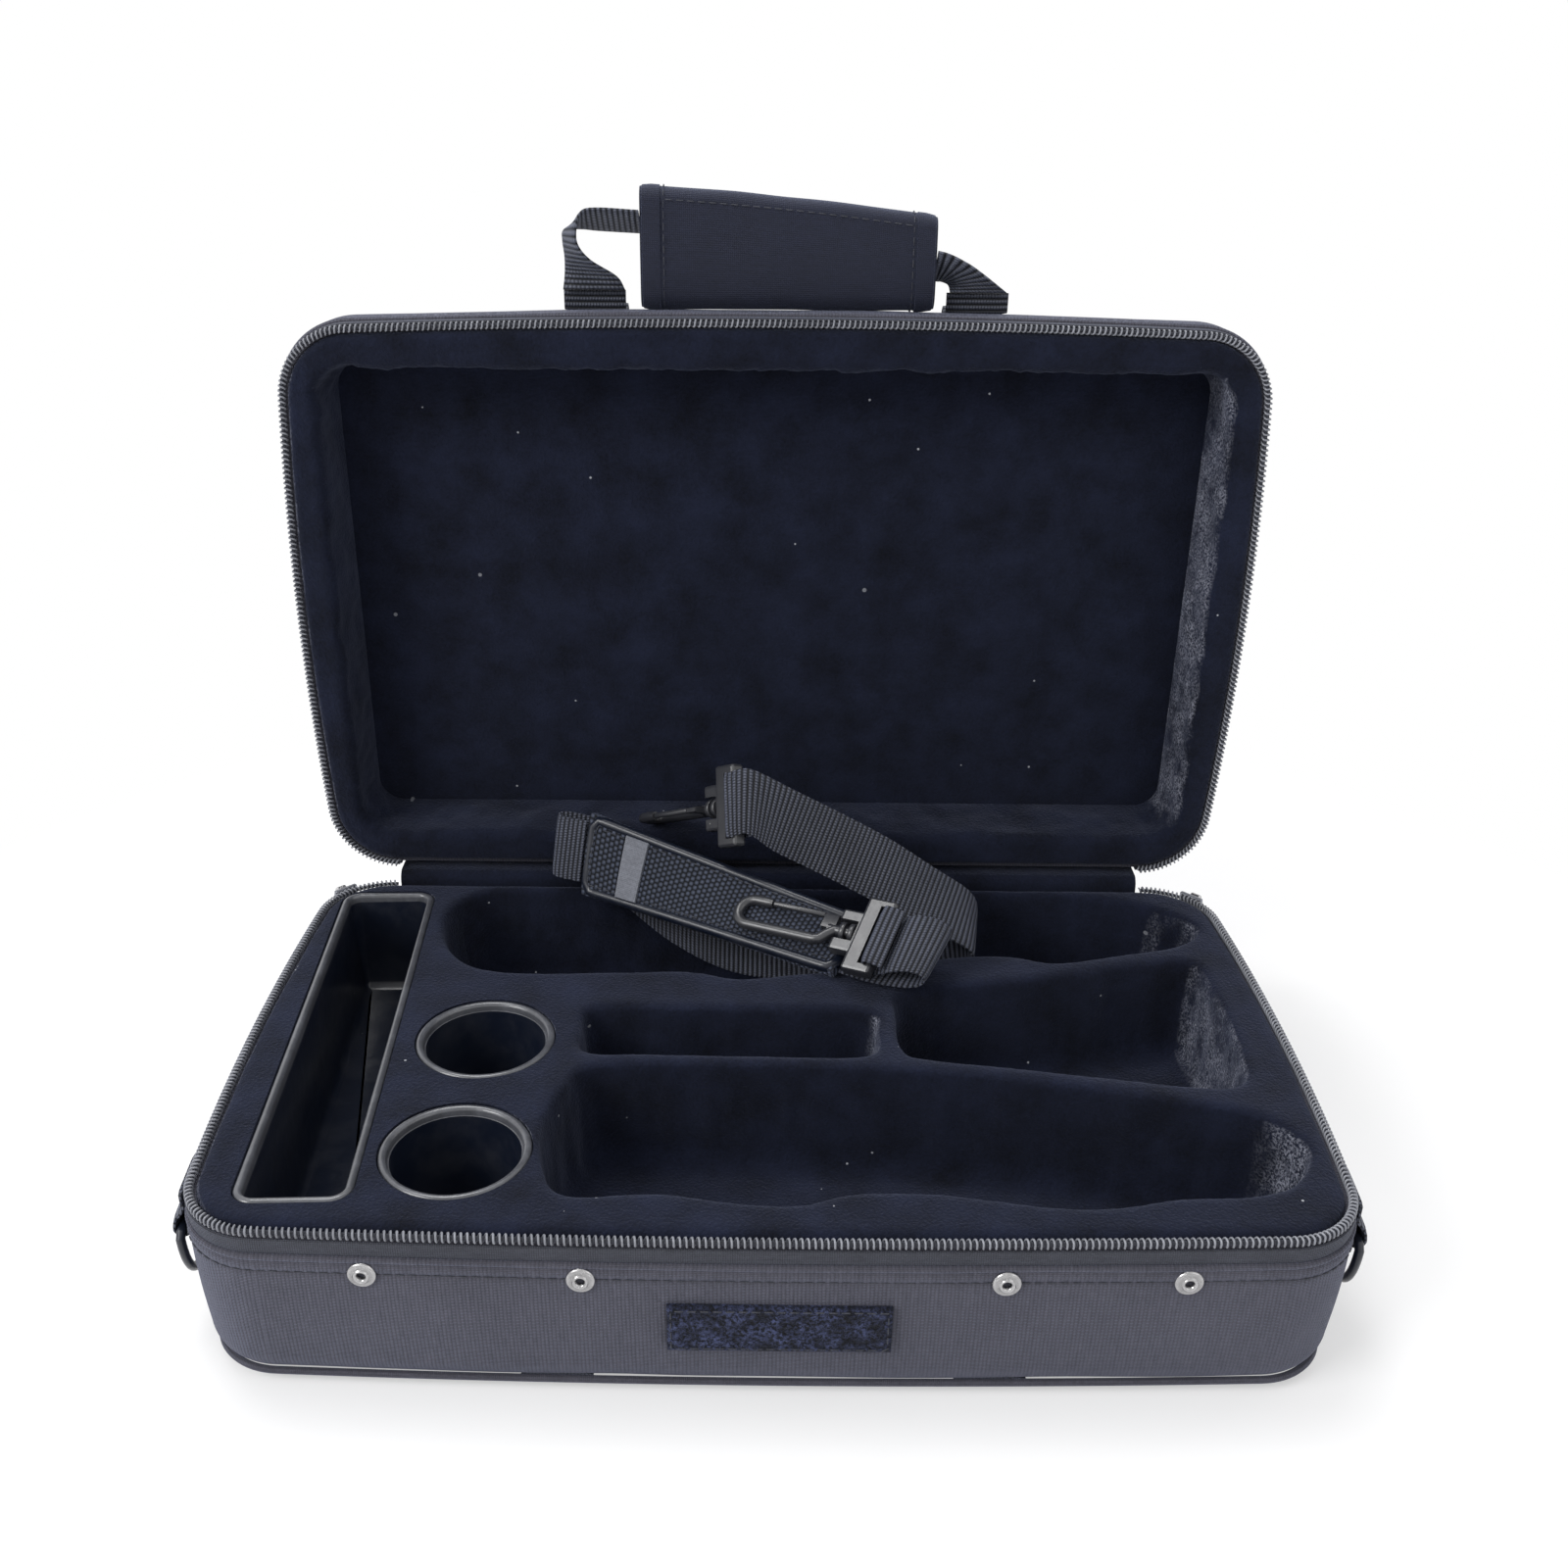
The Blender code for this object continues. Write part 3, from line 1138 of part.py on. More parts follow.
UPPER_STRAP_RUN = (
    ((-0.0078, -0.0357, 0.0535), (0.0005, 0.0040, 0.0118)),
    ((0.0060, -0.0342, 0.0445), (0.0040, 0.0035, 0.0113)),
    ((0.0240, -0.0322, 0.0340), (0.0045, 0.0045, 0.0107)),
    ((0.0430, -0.0317, 0.0230), (0.0045, 0.0060, 0.0099)),
    ((0.0610, -0.0332, 0.0120), (0.0045, 0.0085, 0.0079)),
    ((0.0760, -0.0347, 0.0040), (0.0040, 0.0105, 0.0054)),
    ((0.0820, -0.0352, -0.0030), (0.0020, 0.0118, 0.0035)),
    ((0.0790, -0.0357, -0.0110), (0.0010, 0.0122, 0.0020)),
    ((0.0660, -0.0357, -0.0150), (0, 0.0124, 0.0010)),
    ((0.0400, -0.0357, -0.0170), (0, 0.0125, 0)),
    ((0.0100, -0.0347, -0.0170), (0, 0.0123, 0.0020)),
    ((-0.0150, -0.0297, -0.0130), (0, 0.0105, 0.0065)),
    ((-0.0380, -0.0197, -0.0050), (0, 0.0070, 0.0103)),
    ((-0.0570, -0.0112, 0.0070), (0.0005, 0.0040, 0.0118)),
    ((-0.0690, -0.0045, 0.0160), (0.0010, 0.0015, 0.0123)),
    ((-0.0810, -0.0005, 0.0178), (0.0012, 0.0015, 0.0124)),
    ((-0.0865, -0.0015, 0.0182), (0.0014, 0.0025, 0.0122)),
    ((-0.0855, -0.0057, 0.0182), (0.0015, 0.0040, 0.0117)),
    ((-0.0753, -0.0102, 0.0182), (0.0015, 0.0045, 0.0116)),
)
LOWER_STRAP_RUN = (
    ((0.0500, -0.0805, 0.0178), (0.0049, 0.0098, 0.0061)),
    ((0.0570, -0.0802, 0.0168), (0.0052, 0.0100, 0.0055)),
    ((0.0618, -0.0797, 0.0135), (0.0056, 0.0100, 0.0050)),
    ((0.0612, -0.0789, 0.0095), (0.0060, 0.0100, 0.0045)),
    ((0.0555, -0.0777, 0.0075), (0.0064, 0.0098, 0.0042)),
    ((0.0440, -0.0745, 0.0075), (0.0066, 0.0096, 0.0042)),
    ((0.0333, -0.0687, 0.0078), (0.0067, 0.0096, 0.0042)),
)


def eye_loop(place):
    """Stations of webbing that goes round a strap eye's end bar and through its slot."""
    slot = -EYE_BAR_LENGTH + EYE_SLOT_WALL + EYE_SLOT_LENGTH / 2
    clear = EYE_THICKNESS / 2 + FIT_GAP + WEB_THICKNESS / 2
    tail = 2 * slot
    matrix = place.matrix_local
    half = matrix.to_3x3() @ Vector((0, STRAP_WEB_WIDTH / 2, 0))
    route = ((tail, -clear / 2), (-EYE_BAR_LENGTH, -clear), (slot - WEB_THICKNESS / 2, -clear), (slot, -clear / 2),
             (slot, clear / 2), (slot - WEB_THICKNESS / 2, clear), (-EYE_BAR_LENGTH, clear))
    return [(matrix @ Vector((x, 0, z)), half) for x, z in route]


def make_strap_webbing(name, run, place, parent):
    """One run of the strap from its hook's eye, threaded round the eye's end bar."""
    loop = eye_loop(place)
    if (loop[0][1]).dot(Vector(run[0][1])) < 0:
        loop = [(centre, -half) for centre, half in loop]
    make_part(name, ribbon(loop + list(run), WEB_THICKNESS), WEBBING, parent)


def turned_cutter(name, profile, parent, steps=16):
    """A turned solid about X, joined on to a piece by a Boolean."""
    bm = bmesh.new()
    rows = []
    for x, radius in profile:
        angles = (2 * math.pi * k / steps for k in range(steps))
        rows.append([bm.verts.new((x, radius * math.cos(a), radius * math.sin(a))) for a in angles])
    for row, following in zip(rows, rows[1:]):
        for index in range(steps):
            follow = (index + 1) % steps
            bm.faces.new((row[index], row[follow], following[follow], following[index]))
    bm.faces.new(rows[0])
    bm.faces.new(reversed(rows[-1]))
    return make_cutter(name, bm, parent)


def make_snap_hook(name, place, turn):
    """A swivel snap hook: strap eye, hook with its neck, and the gate that closes its mouth.

    Its X axis runs from the strap to the tip of the hook, and Z stands square to the hook.
    """
    edge = EYE_THICKNESS / 5
    bar = rounded_box((EYE_BAR_LENGTH, EYE_BAR_WIDTH, EYE_THICKNESS), (-EYE_BAR_LENGTH / 2, 0, 0), edge)
    eye = make_part(f"strap_eye_{name}", bar, GLOSS_PLASTIC, place)
    shoulder = (EYE_SHOULDER_LENGTH + EYE_BAR_LENGTH / 2, EYE_SHOULDER_WIDTH, EYE_THICKNESS * 0.9)
    middle = (EYE_SHOULDER_LENGTH - EYE_BAR_LENGTH / 2) / 2
    boolean(eye, make_cutter(f"eye_shoulder_{name}", rounded_box(shoulder, (middle, 0, 0), edge), place), "UNION")
    room = HOOK_COLLAR_RADIUS + 2 * FIT_GAP
    throat = (2 * (EYE_SHOULDER_LENGTH + FIT_GAP), 2 * room, 2 * room)
    throat_middle = EYE_SHOULDER_LENGTH + FIT_GAP
    boolean(eye, make_cutter(f"eye_throat_{name}", box(throat, (throat_middle, 0, 0)), place), "DIFFERENCE")
    slot = (EYE_SLOT_LENGTH, STRAP_WEB_WIDTH + 2 * FIT_GAP, EYE_THICKNESS + CUT_OVERRUN)
    slot_middle = -EYE_BAR_LENGTH + EYE_SLOT_WALL + EYE_SLOT_LENGTH / 2
    boolean(eye, make_cutter(f"eye_slot_{name}", box(slot, (slot_middle, 0, 0)), place), "DIFFERENCE")
    bore = HOOK_NECK_RADIUS + FIT_GAP
    socket_profile = ((-HOOK_NECK_DEPTH - FIT_GAP, bore), (CUT_OVERRUN, bore))
    boolean(eye, turned_cutter(f"eye_socket_{name}", socket_profile, place), "DIFFERENCE")
    swivel = make_empty(f"swivel_axis_{name}", place, (0, 0, 0), (turn, 0, 0))
    collar = HOOK_COLLAR_LENGTH
    start = 2 * FIT_GAP
    neck = (
        (-HOOK_NECK_DEPTH, HOOK_NECK_RADIUS), (start, HOOK_NECK_RADIUS), (start, HOOK_COLLAR_RADIUS),
        (start + collar, HOOK_COLLAR_RADIUS), (start + collar, HOOK_NECK_RADIUS),
        (start + 2 * collar, HOOK_NECK_RADIUS), (start + 2 * collar, HOOK_COLLAR_RADIUS),
        (start + 3 * collar, HOOK_COLLAR_RADIUS), (start + 3 * collar, HOOK_NECK_RADIUS),
        (HOOK_ROOT, HOOK_WIRE * 0.9))
    mid = HOOK_HALF_WIDTH
    path = [(HOOK_ROOT - HOOK_WIRE, 0, 0), (HOOK_ROOT + HOOK_WIRE * 0.4, -mid * 0.6, 0),
            (HOOK_ROOT + HOOK_WIRE * 1.8, -mid, 0)]
    steps = 6
    bend = HOOK_TIP - HOOK_WIRE - mid
    for step in range(steps + 1):
        angle = -math.pi / 2 + math.pi * step / steps
        path.append((bend + mid * math.cos(angle), mid * math.sin(angle), 0))
    mouth = bend - HOOK_MOUTH
    path.append((mouth, mid, 0))
    hook = make_part(f"snap_hook_{name}", curve_mesh("hook_wire", path, HOOK_WIRE, False, 1), GLOSS_PLASTIC, swivel)
    boolean(hook, turned_cutter(f"hook_neck_{name}", neck, swivel), "UNION")
    seat = HOOK_ROOT + HOOK_WIRE * 1.9
    gate_axis = make_empty(f"gate_axis_{name}", swivel, (seat, mid, 0))
    lug_start = HOOK_ROOT - HOOK_WIRE
    lug_length = seat - FIT_GAP - lug_start
    lug = rounded_box((lug_length, mid + GATE_RADIUS, 2 * GATE_RADIUS),
                      (lug_start + lug_length / 2, (mid + GATE_RADIUS) / 2, 0), GATE_RADIUS / 3)
    boolean(hook, make_cutter(f"gate_lug_{name}", lug, swivel), "UNION")
    reach = mouth - FIT_GAP - seat
    gate_points = ((0, 0, 0), (reach / 2, 0, 0), (reach, 0, 0))
    make_part(f"hook_gate_{name}", curve_mesh("gate_wire", gate_points, GATE_RADIUS, False, 1), NICKEL, gate_axis)


def main():
    back = HINGE_Y + LID_HEIGHT + STRAP_OFFSET
    middle = (patch_face_y() + back) / 2
    root = make_empty("clarinet_case", None, (0, -middle, BASE_HEIGHT + STRAP_OFFSET))
    lid = make_empty("lid_axis", root, (0, HINGE_Y, 0), (-LID_OPEN_ANGLE, 0, 0))
    tray_place = tray_frame(root)
    base_shell = make_shell("base_shell", BASE_HEIGHT, -1, root)
    make_piping("base_piping", BASE_HEIGHT, -1, root)
    make_zip_tape("base_zipper_tape", -1, root)
    make_zip_teeth("base_zipper_teeth", -1, root)
    make_insert(root, tray_place)
    make_tray(tray_place)
    make_cup("cup_rear", CUP_REAR_Y, root)
    make_cup("cup_front", CUP_FRONT_Y, root)
    make_rivets(base_shell, root)
    make_patch(root)
    for name, x in zip(("left", "right"), BASE_STRAP_XS):
        make_shell_strap(f"base_strap_{name}", x, base_strap_path(x), -1, root)
    for name, x in zip(("left", "right"), LID_STRAP_XS):
        move_to_hinge(make_shell_strap(f"lid_strap_{name}", x, lid_strap_path(x), 1, lid))
    move_to_hinge(make_shell("lid_shell", LID_HEIGHT, 1, lid))
    piping = make_piping("lid_piping", LID_HEIGHT, 1, lid)
    piping.location = (0, -HINGE_Y, 0)
    move_to_hinge(make_zip_tape("lid_zipper_tape", 1, lid))
    move_to_hinge(make_zip_teeth("lid_zipper_teeth", 1, lid))
    make_lid_lining(lid)
    make_hinge_cloth(root, lid)
    make_handle(lid)
    for name, side in (("left", -1), ("right", 1)):
        make_ring_set(name, side, root)
        make_slider_set(name, side, root)
    strap_place = make_empty("strap_place", root, (0, CASE_DEPTH, 0))
    make_pad(strap_place)
    for name, origin, tip, normal_share, turn, run in (
            ("upper", UPPER_HOOK_PLACE, UPPER_HOOK_TIP, UPPER_EYE_NORMAL_SHARES, UPPER_SWIVEL_TURN, UPPER_STRAP_RUN),
            ("lower", LOWER_HOOK_PLACE, LOWER_HOOK_TIP, LOWER_EYE_NORMAL_SHARES, LOWER_SWIVEL_TURN, LOWER_STRAP_RUN)):
        along = Vector(tip) - Vector(origin)
        place = frame_empty(f"hook_place_{name}", strap_place, origin, along, normal_share)
        make_snap_hook(name, place, turn)
        make_strap_webbing(f"strap_webbing_{name}", run, place, strap_place)


clear_scene()
PARTS = make_collection("clarinet_case")
CUTTERS = make_collection("cutters")
main()
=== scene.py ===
"""Cloth, plush, zip, webbing and fittings of an open clarinet case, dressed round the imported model."""

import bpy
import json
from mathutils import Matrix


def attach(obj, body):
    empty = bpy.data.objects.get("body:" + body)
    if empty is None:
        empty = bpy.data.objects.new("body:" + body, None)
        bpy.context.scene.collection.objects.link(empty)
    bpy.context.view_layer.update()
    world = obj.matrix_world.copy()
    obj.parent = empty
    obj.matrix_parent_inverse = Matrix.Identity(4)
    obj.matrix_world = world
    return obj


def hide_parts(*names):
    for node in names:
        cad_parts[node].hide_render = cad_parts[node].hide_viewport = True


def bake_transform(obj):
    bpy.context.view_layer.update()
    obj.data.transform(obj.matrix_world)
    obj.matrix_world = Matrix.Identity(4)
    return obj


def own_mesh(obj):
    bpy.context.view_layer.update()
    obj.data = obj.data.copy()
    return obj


bl_info = {
    "name": "Clarinet case",
    "version": (1, 0, 0),
    "blender": (4, 5, 0),
    "location": "3D View > Sidebar > Case",
    "description": "Dresses an open clarinet case: cloth shells, plush, zip, webbing, fittings and a plain studio",
    "category": "Object",
}

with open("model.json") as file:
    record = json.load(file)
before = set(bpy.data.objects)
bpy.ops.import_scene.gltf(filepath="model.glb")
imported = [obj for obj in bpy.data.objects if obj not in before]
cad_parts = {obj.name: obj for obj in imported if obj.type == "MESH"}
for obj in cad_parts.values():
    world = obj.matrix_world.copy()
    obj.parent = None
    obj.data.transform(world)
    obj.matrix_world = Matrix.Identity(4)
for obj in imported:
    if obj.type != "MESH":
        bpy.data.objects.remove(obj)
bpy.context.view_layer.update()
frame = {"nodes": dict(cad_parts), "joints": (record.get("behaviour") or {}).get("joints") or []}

import json
import math

import bpy
import numpy as np
from mathutils import Matrix, Vector, noise

JOINTS = {joint["name"]: joint for joint in frame["joints"]}

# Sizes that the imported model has, in metres
CASE_LENGTH = 0.370
CASE_DEPTH = 0.2237
CORNER_RADIUS = 0.0284
SIDE_BOW = 0.0028
FRONT_BOW = 0.0029
BASE_HEIGHT = 0.062
LID_HEIGHT = 0.040
SHELL_WALL = 0.0045
EDGE_FILLET = 0.012
WALL_DRAFT = 0.0030
PARTING_GAP = 0.0002
HINGE_Y = 0.226
FIT_GAP = 0.0003
SEAM_DROP = 0.0090
TAPE_INSET = 0.0008
TAPE_THICKNESS = 0.0010
TEETH_HEIGHT = 0.0035
TEETH_WIDTH = 0.0030
PIPING_RADIUS = 0.0012
WEB_THICKNESS = 0.0016
STRAP_WIDTH = 0.0228
STRAP_END_RISE = 0.016
RIM_ROUND = 0.0025
RIVET_XS = (-0.1220, -0.0565, 0.0705, 0.1250)
RIVET_DROP = 0.0150
RIVET_RADIUS = 0.0045
BASE_STRAP_XS = (-0.0665, 0.0698)
LID_STRAP_XS = (-0.0665, 0.0745)
HANDLE_RISE = 0.0240
GRIP_THICKNESS = 0.0130
GRIP_CLEARANCE = 0.0006

CORNER_X = CASE_LENGTH / 2 - SIDE_BOW - CORNER_RADIUS
FRONT_CORNER_Y = FRONT_BOW + CORNER_RADIUS
BACK_CORNER_Y = CASE_DEPTH - CORNER_RADIUS
QUARTER = math.pi / 2

LID_LINE = Vector(JOINTS["lid_hinge"]["pos_m"])
ORIGIN = Vector((0, LID_LINE.y - HINGE_Y, LID_LINE.z))
BASE = Matrix.Translation(ORIGIN)
LID = (BASE @ Matrix.Translation((0, HINGE_Y, 0)) @ Matrix.Rotation(-QUARTER, 4, "X")
       @ Matrix.Translation((0, -HINGE_Y, 0)))


# ---- Sizes and colours that a user would change

def length(name, default, text):
    return bpy.props.FloatProperty(name=name, description=text, default=default, min=0, precision=5, unit="LENGTH")


def colour(name, default, text):
    return bpy.props.FloatVectorProperty(name=name, description=text, default=default, size=4, min=0, max=1,
                                         subtype="COLOR")


class CaseSizes(bpy.types.PropertyGroup):
    """Sizes of the soft and sewn detail."""
    coil_pitch: length("Coil pitch", 0.0019, "Distance between neighbouring turns of the zip's coil")
    coil_wire: length("Coil wire", 0.00034, "Radius of the monofilament that the zip's coil is wound from")
    stitch: length("Stitch", 0.0027, "Length of one stitch")
    stitch_gap: length("Stitch gap", 0.0011, "Gap between two stitches")
    thread: length("Thread", 0.00022, "Radius of the sewing thread")
    weave: length("Weave", 0.0012, "Width of one yarn of the outer cloth")
    rib: length("Rib", 0.0020, "Distance between the ribs of the webbing")
    tuft: length("Tuft", 0.0011, "Size of the tufts in the plush")
    mouth: length("Pocket mouth", 0.0026, "Radius of the padded edge round each pocket")
    foam_cell: length("Foam detail", 0.0015, "Size of the smallest dent that the foam's surface can hold")
    drape: length("Drape", 0.0024, "Depth of the upright folds in the pockets' walls")
    crease: length("Crease", 0.0009, "Depth of the creases in the plush of the pockets")


class CaseColours(bpy.types.PropertyGroup):
    """Colours of the finishes."""
    cloth: colour("Outer cloth", (0.056, 0.055, 0.070, 1), "Yarn of the outer cloth")
    plush: colour("Plush", (0.0050, 0.0066, 0.0150, 1), "Lining and foam cover")
    webbing: colour("Webbing", (0.037, 0.040, 0.052, 1), "Straps and handle legs")
    grip: colour("Grip cloth", (0.0090, 0.0110, 0.0235, 1), "Cover of the padded grip")
    tape: colour("Zip tape", (0.0400, 0.0420, 0.0520, 1), "Woven tape that carries the zip's coil")
    coil: colour("Zip coil", (0.215, 0.223, 0.252, 1), "Monofilament of the zip's coil")
    hook: colour("Hook plastic", (0.024, 0.025, 0.030, 1), "Snap hooks, strap eyes and side rings")
    plastic: colour("Plastic", (0.0060, 0.0085, 0.0170, 1), "Tray, cups, hooks and rings")
    nickel: colour("Nickel", (0.470, 0.465, 0.470, 1), "Rivets, gates and pulls")
    trim: colour("Trim", (0.0150, 0.0180, 0.0270, 1), "Piping, binding and shoulder pad")
    band: colour("Pad band", (0.140, 0.147, 0.172, 1), "Plain band across the shoulder pad")
    floor: colour("Floor", (0.86, 0.86, 0.87, 1), "Floor and backdrop")


# ---- Meshes

def smooth(points, steps, closed=False):
    """A smooth run through points of any dimension."""
    points = np.asarray(points, float)
    count = len(points)
    if closed:
        before, start, end, after = (np.roll(points, -k, 0) for k in (-1, 0, 1, 2))
    else:
        padded = np.vstack([2 * points[0] - points[1], points, 2 * points[-1] - points[-2]])
        before, start, end, after = (padded[k:count - 1 + k] for k in range(4))
    t = (np.arange(steps) / steps)[None, :, None]
    before, start, end, after = (block[:, None, :] for block in (before, start, end, after))
    run = 0.5 * (2 * start + (end - before) * t + (2 * before - 5 * start + 4 * end - after) * t ** 2
                 + (3 * start - before - 3 * end + after) * t ** 3)
    run = run.reshape(-1, points.shape[1])
    return run if closed else np.vstack([run, points[-1]])


def unit(vectors):
    return vectors / np.maximum(np.linalg.norm(vectors, axis=-1, keepdims=True), 1e-12)


def mesh_from(name, points, faces, uvs):
    """A mesh with its UVs in metres and its faces outward."""
    mesh = bpy.data.meshes.new(name)
    mesh.from_pydata(points, [], faces)
    mesh.uv_layers.new(name="UVMap").data.foreach_set("uv", np.asarray(uvs, np.float32).ravel())
    mesh.calc_loop_triangles()
    triangles = np.array([t.vertices[:] for t in mesh.loop_triangles])
    a, b, c = (np.asarray(points)[triangles[:, k]] for k in range(3))
    if np.einsum("ij,ij->i", a, np.cross(b, c)).sum() < 0:
        mesh.flip_normals()
    return mesh


def skin(name, rings, wrap=True, hoop=False, caps=True):
    """Skins rows of points. UVs run along the rows and from row to row, in metres."""
    rings = np.asarray(rings, float)
    rows, count = rings.shape[:2]
    i = np.arange(rows if hoop else rows - 1)[:, None]
    j = np.arange(count if wrap else count - 1)[None, :]
    low, high, follow = i * count, (i + 1) % rows * count, (j + 1) % count
    quads = np.stack(np.broadcast_arrays(low + j, low + follow, high + follow, high + j), -1).reshape(-1, 4)
    across = np.linalg.norm(np.roll(rings, -1, 1) - rings, axis=2).mean(0)
    along = np.linalg.norm(np.roll(rings, -1, 0) - rings, axis=2).mean(1)
    u = np.concatenate([[0], np.cumsum(across)])
    v = np.concatenate([[0], np.cumsum(along)])
    uv = np.stack([np.stack(np.broadcast_arrays(u[j + a], v[i + b]), -1)
                   for a, b in ((0, 0), (1, 0), (1, 1), (0, 1))], 2).reshape(-1, 2)
    faces = quads.tolist()
    points = rings.reshape(-1, 3)
    if caps and wrap and not hoop:
        for row, order in ((0, -1), (rows - 1, 1)):
            ids = (row * count + np.arange(count))[::order]
            faces.append(ids.tolist())
            flat = points[ids]
            axes = np.sort(np.argsort(flat.max(0) - flat.min(0))[1:])
            uv = np.vstack([uv, flat[:, axes]])
    return mesh_from(name, points, faces, uv)


def sweep(name, path, radius, sides=10, closed=False, side_hint=None):
    """A round tube along a path; the hint keeps the seam of a coil in line."""
    path = np.asarray(path, float)
    if closed:
        along = unit(np.roll(path, -1, 0) - np.roll(path, 1, 0))
    else:
        along = unit(np.gradient(path, axis=0))
    if side_hint is not None:
        first = unit(side_hint - along * np.einsum("ij,ij->i", side_hint, along)[:, None])
    else:
        guess = Vector(along[0]).orthogonal().normalized()
        first = np.zeros_like(path)
        for index, direction in enumerate(along):
            guess = (guess - Vector(direction) * guess.dot(Vector(direction))).normalized()
            first[index] = guess
        if closed:
            wanted, got = Vector(first[0]), Vector(first[-1])
            got = (got - Vector(along[0]) * got.dot(Vector(along[0]))).normalized()
            twist = math.atan2(Vector(along[0]).dot(got.cross(wanted)), got.dot(wanted))
            for index in range(len(path)):
                turn = Matrix.Rotation(twist * index / len(path), 3, Vector(along[index]))
                first[index] = turn @ Vector(first[index])
    second = np.cross(along, first)
    angles = 2 * math.pi * np.arange(sides) / sides
    radius = np.broadcast_to(np.asarray(radius, float), len(path))[:, None, None]
    rings = path[:, None] + radius * (np.cos(angles)[None, :, None] * first[:, None]
                                      + np.sin(angles)[None, :, None] * second[:, None])
    return skin(name, rings, hoop=closed)


def ribbon(name, stations, thickness, across=6, steps=5, closed=False):
    """Webbing through stations of centre and half-width vector, with rounded selvedges."""
    data = np.array([[*centre, *half] for centre, half in stations])
    data = smooth(data, steps, closed) if steps > 1 else data
    centre, half = data[:, :3], data[:, 3:]
    along = np.roll(centre, -1, 0) - np.roll(centre, 1, 0) if closed else np.gradient(centre, axis=0)
    lift = unit(np.cross(unit(along), half)) * thickness / 2
    k = np.linspace(-1, 1, across + 1)
    puff = 1 - 0.55 * np.abs(k) ** 8
    upper = centre[:, None] + k[None, :, None] * half[:, None] + puff[None, :, None] * lift[:, None]
    lower = centre[:, None] + k[None, ::-1, None] * half[:, None] - puff[None, ::-1, None] * lift[:, None]
    return skin(name, np.concatenate([upper, lower], 1), hoop=closed)


def lathe(name, profile, sides=64):
    """A turned piece from radius and height, top to bottom down its outer side."""
    angles = 2 * math.pi * np.arange(sides) / sides
    rings = [[(r * math.cos(a), r * math.sin(a), z) for a in angles] for r, z in profile]
    return skin(name, rings)


def scatter(name, centres, xs, ys, zs, template, quads):
    """Copies of a small closed template, each with its own three axes."""
    template = np.asarray(template, float)
    points = (centres[:, None] + template[None, :, :1] * xs[:, None] + template[None, :, 1:2] * ys[:, None]
              + template[None, :, 2:] * zs[:, None])
    faces = []
    for index in range(len(centres)):
        base = index * len(template)
        faces.extend([[base + corner for corner in face] for face in quads])
    uvs = np.zeros((sum(len(face) for face in quads) * len(centres), 2))
    return mesh_from(name, points.reshape(-1, 3), faces, uvs)


def thread_template(sides=5):
    """One stitch of unit length and radius along X."""
    rows = ((-0.5, 0.35), (-0.38, 1), (0.38, 1), (0.5, 0.35))
    points = [(x, r * math.cos(2 * math.pi * k / sides), r * math.sin(2 * math.pi * k / sides))
              for x, r in rows for k in range(sides)]
    quads = [(i * sides + j, (i + 1) * sides + j, (i + 1) * sides + (j + 1) % sides, i * sides + (j + 1) % sides)
             for i in range(len(rows) - 1) for j in range(sides)]
    quads += [tuple(range(sides)), tuple(reversed(range(3 * sides, 4 * sides)))]
    return points, quads


def resample(points, *others, step):
    """Points a step apart along a run, with its direction and what else rides on it."""
    points = np.asarray(points, float)
    reach = np.concatenate([[0], np.cumsum(np.linalg.norm(np.diff(points, axis=0), axis=1))])
    count = max(int(reach[-1] / step), 1)
    places = (np.arange(count) + 0.5) * reach[-1] / count
    pick = lambda data: np.stack([np.interp(places, reach, data[:, k]) for k in range(data.shape[1])], 1)
    along = unit(pick(np.gradient(points, axis=0)))
    return [pick(points), along, *[pick(np.asarray(other, float)) for other in others]]


def stitch_row(name, points, normals):
    """A row of stitches laid on a surface."""
    sizes = bpy.context.scene.case_sizes
    centres, along, out = resample(points, normals, step=sizes.stitch + sizes.stitch_gap)
    out = unit(out)
    side = np.cross(along, out)
    template, quads = thread_template()
    return scatter(name, centres, along * sizes.stitch, side * sizes.thread, out * sizes.thread, template, quads)


def join(meshes, name):
    """One mesh from several, each already in place."""
    points, faces, uvs, start = [], [], [], 0
    for mesh in meshes:
        co = np.zeros(len(mesh.vertices) * 3)
        mesh.vertices.foreach_get("co", co)
        flat = np.zeros(len(mesh.loops) * 2)
        mesh.uv_layers[0].data.foreach_get("uv", flat)
        points.append(co.reshape(-1, 3))
        uvs.append(flat.reshape(-1, 2))
        faces.extend([[start + v for v in face.vertices] for face in mesh.polygons])
        start += len(mesh.vertices)
        bpy.data.meshes.remove(mesh)
    return mesh_from(name, np.vstack(points), faces, np.vstack(uvs))


def dress(name, mesh, finish, body, place=BASE, stands_for=(), sharp=40):
    """Puts a finished mesh in the scene, on the body that it moves with."""
    mesh.transform(place)
    mesh.name = name
    mesh.shade_smooth()
    mesh.set_sharp_from_angle(angle=math.radians(sharp))
    mesh.materials.clear()
    mesh.materials.append(finish_of(finish))
    piece = bpy.data.objects.new(name, mesh)
    bpy.context.scene.collection.objects.link(piece)
    if body:
        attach(piece, body)
    if stands_for:
        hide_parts(*stands_for)
    return piece


def second_finish(piece, finish, chosen):
    """Gives the chosen faces another finish."""
    piece.data.materials.append(finish_of(finish))
    for face in piece.data.polygons:
        if chosen(face.center, face.normal):
            face.material_index = 1


# ---- The case's outline and walls

def arc(centre, radius, start, end, steps):
    angles = start + (end - start) * np.arange(steps) / steps
    normals = np.stack([np.cos(angles), np.sin(angles)], 1)
    return np.hstack([np.asarray(centre) + radius * normals, normals])


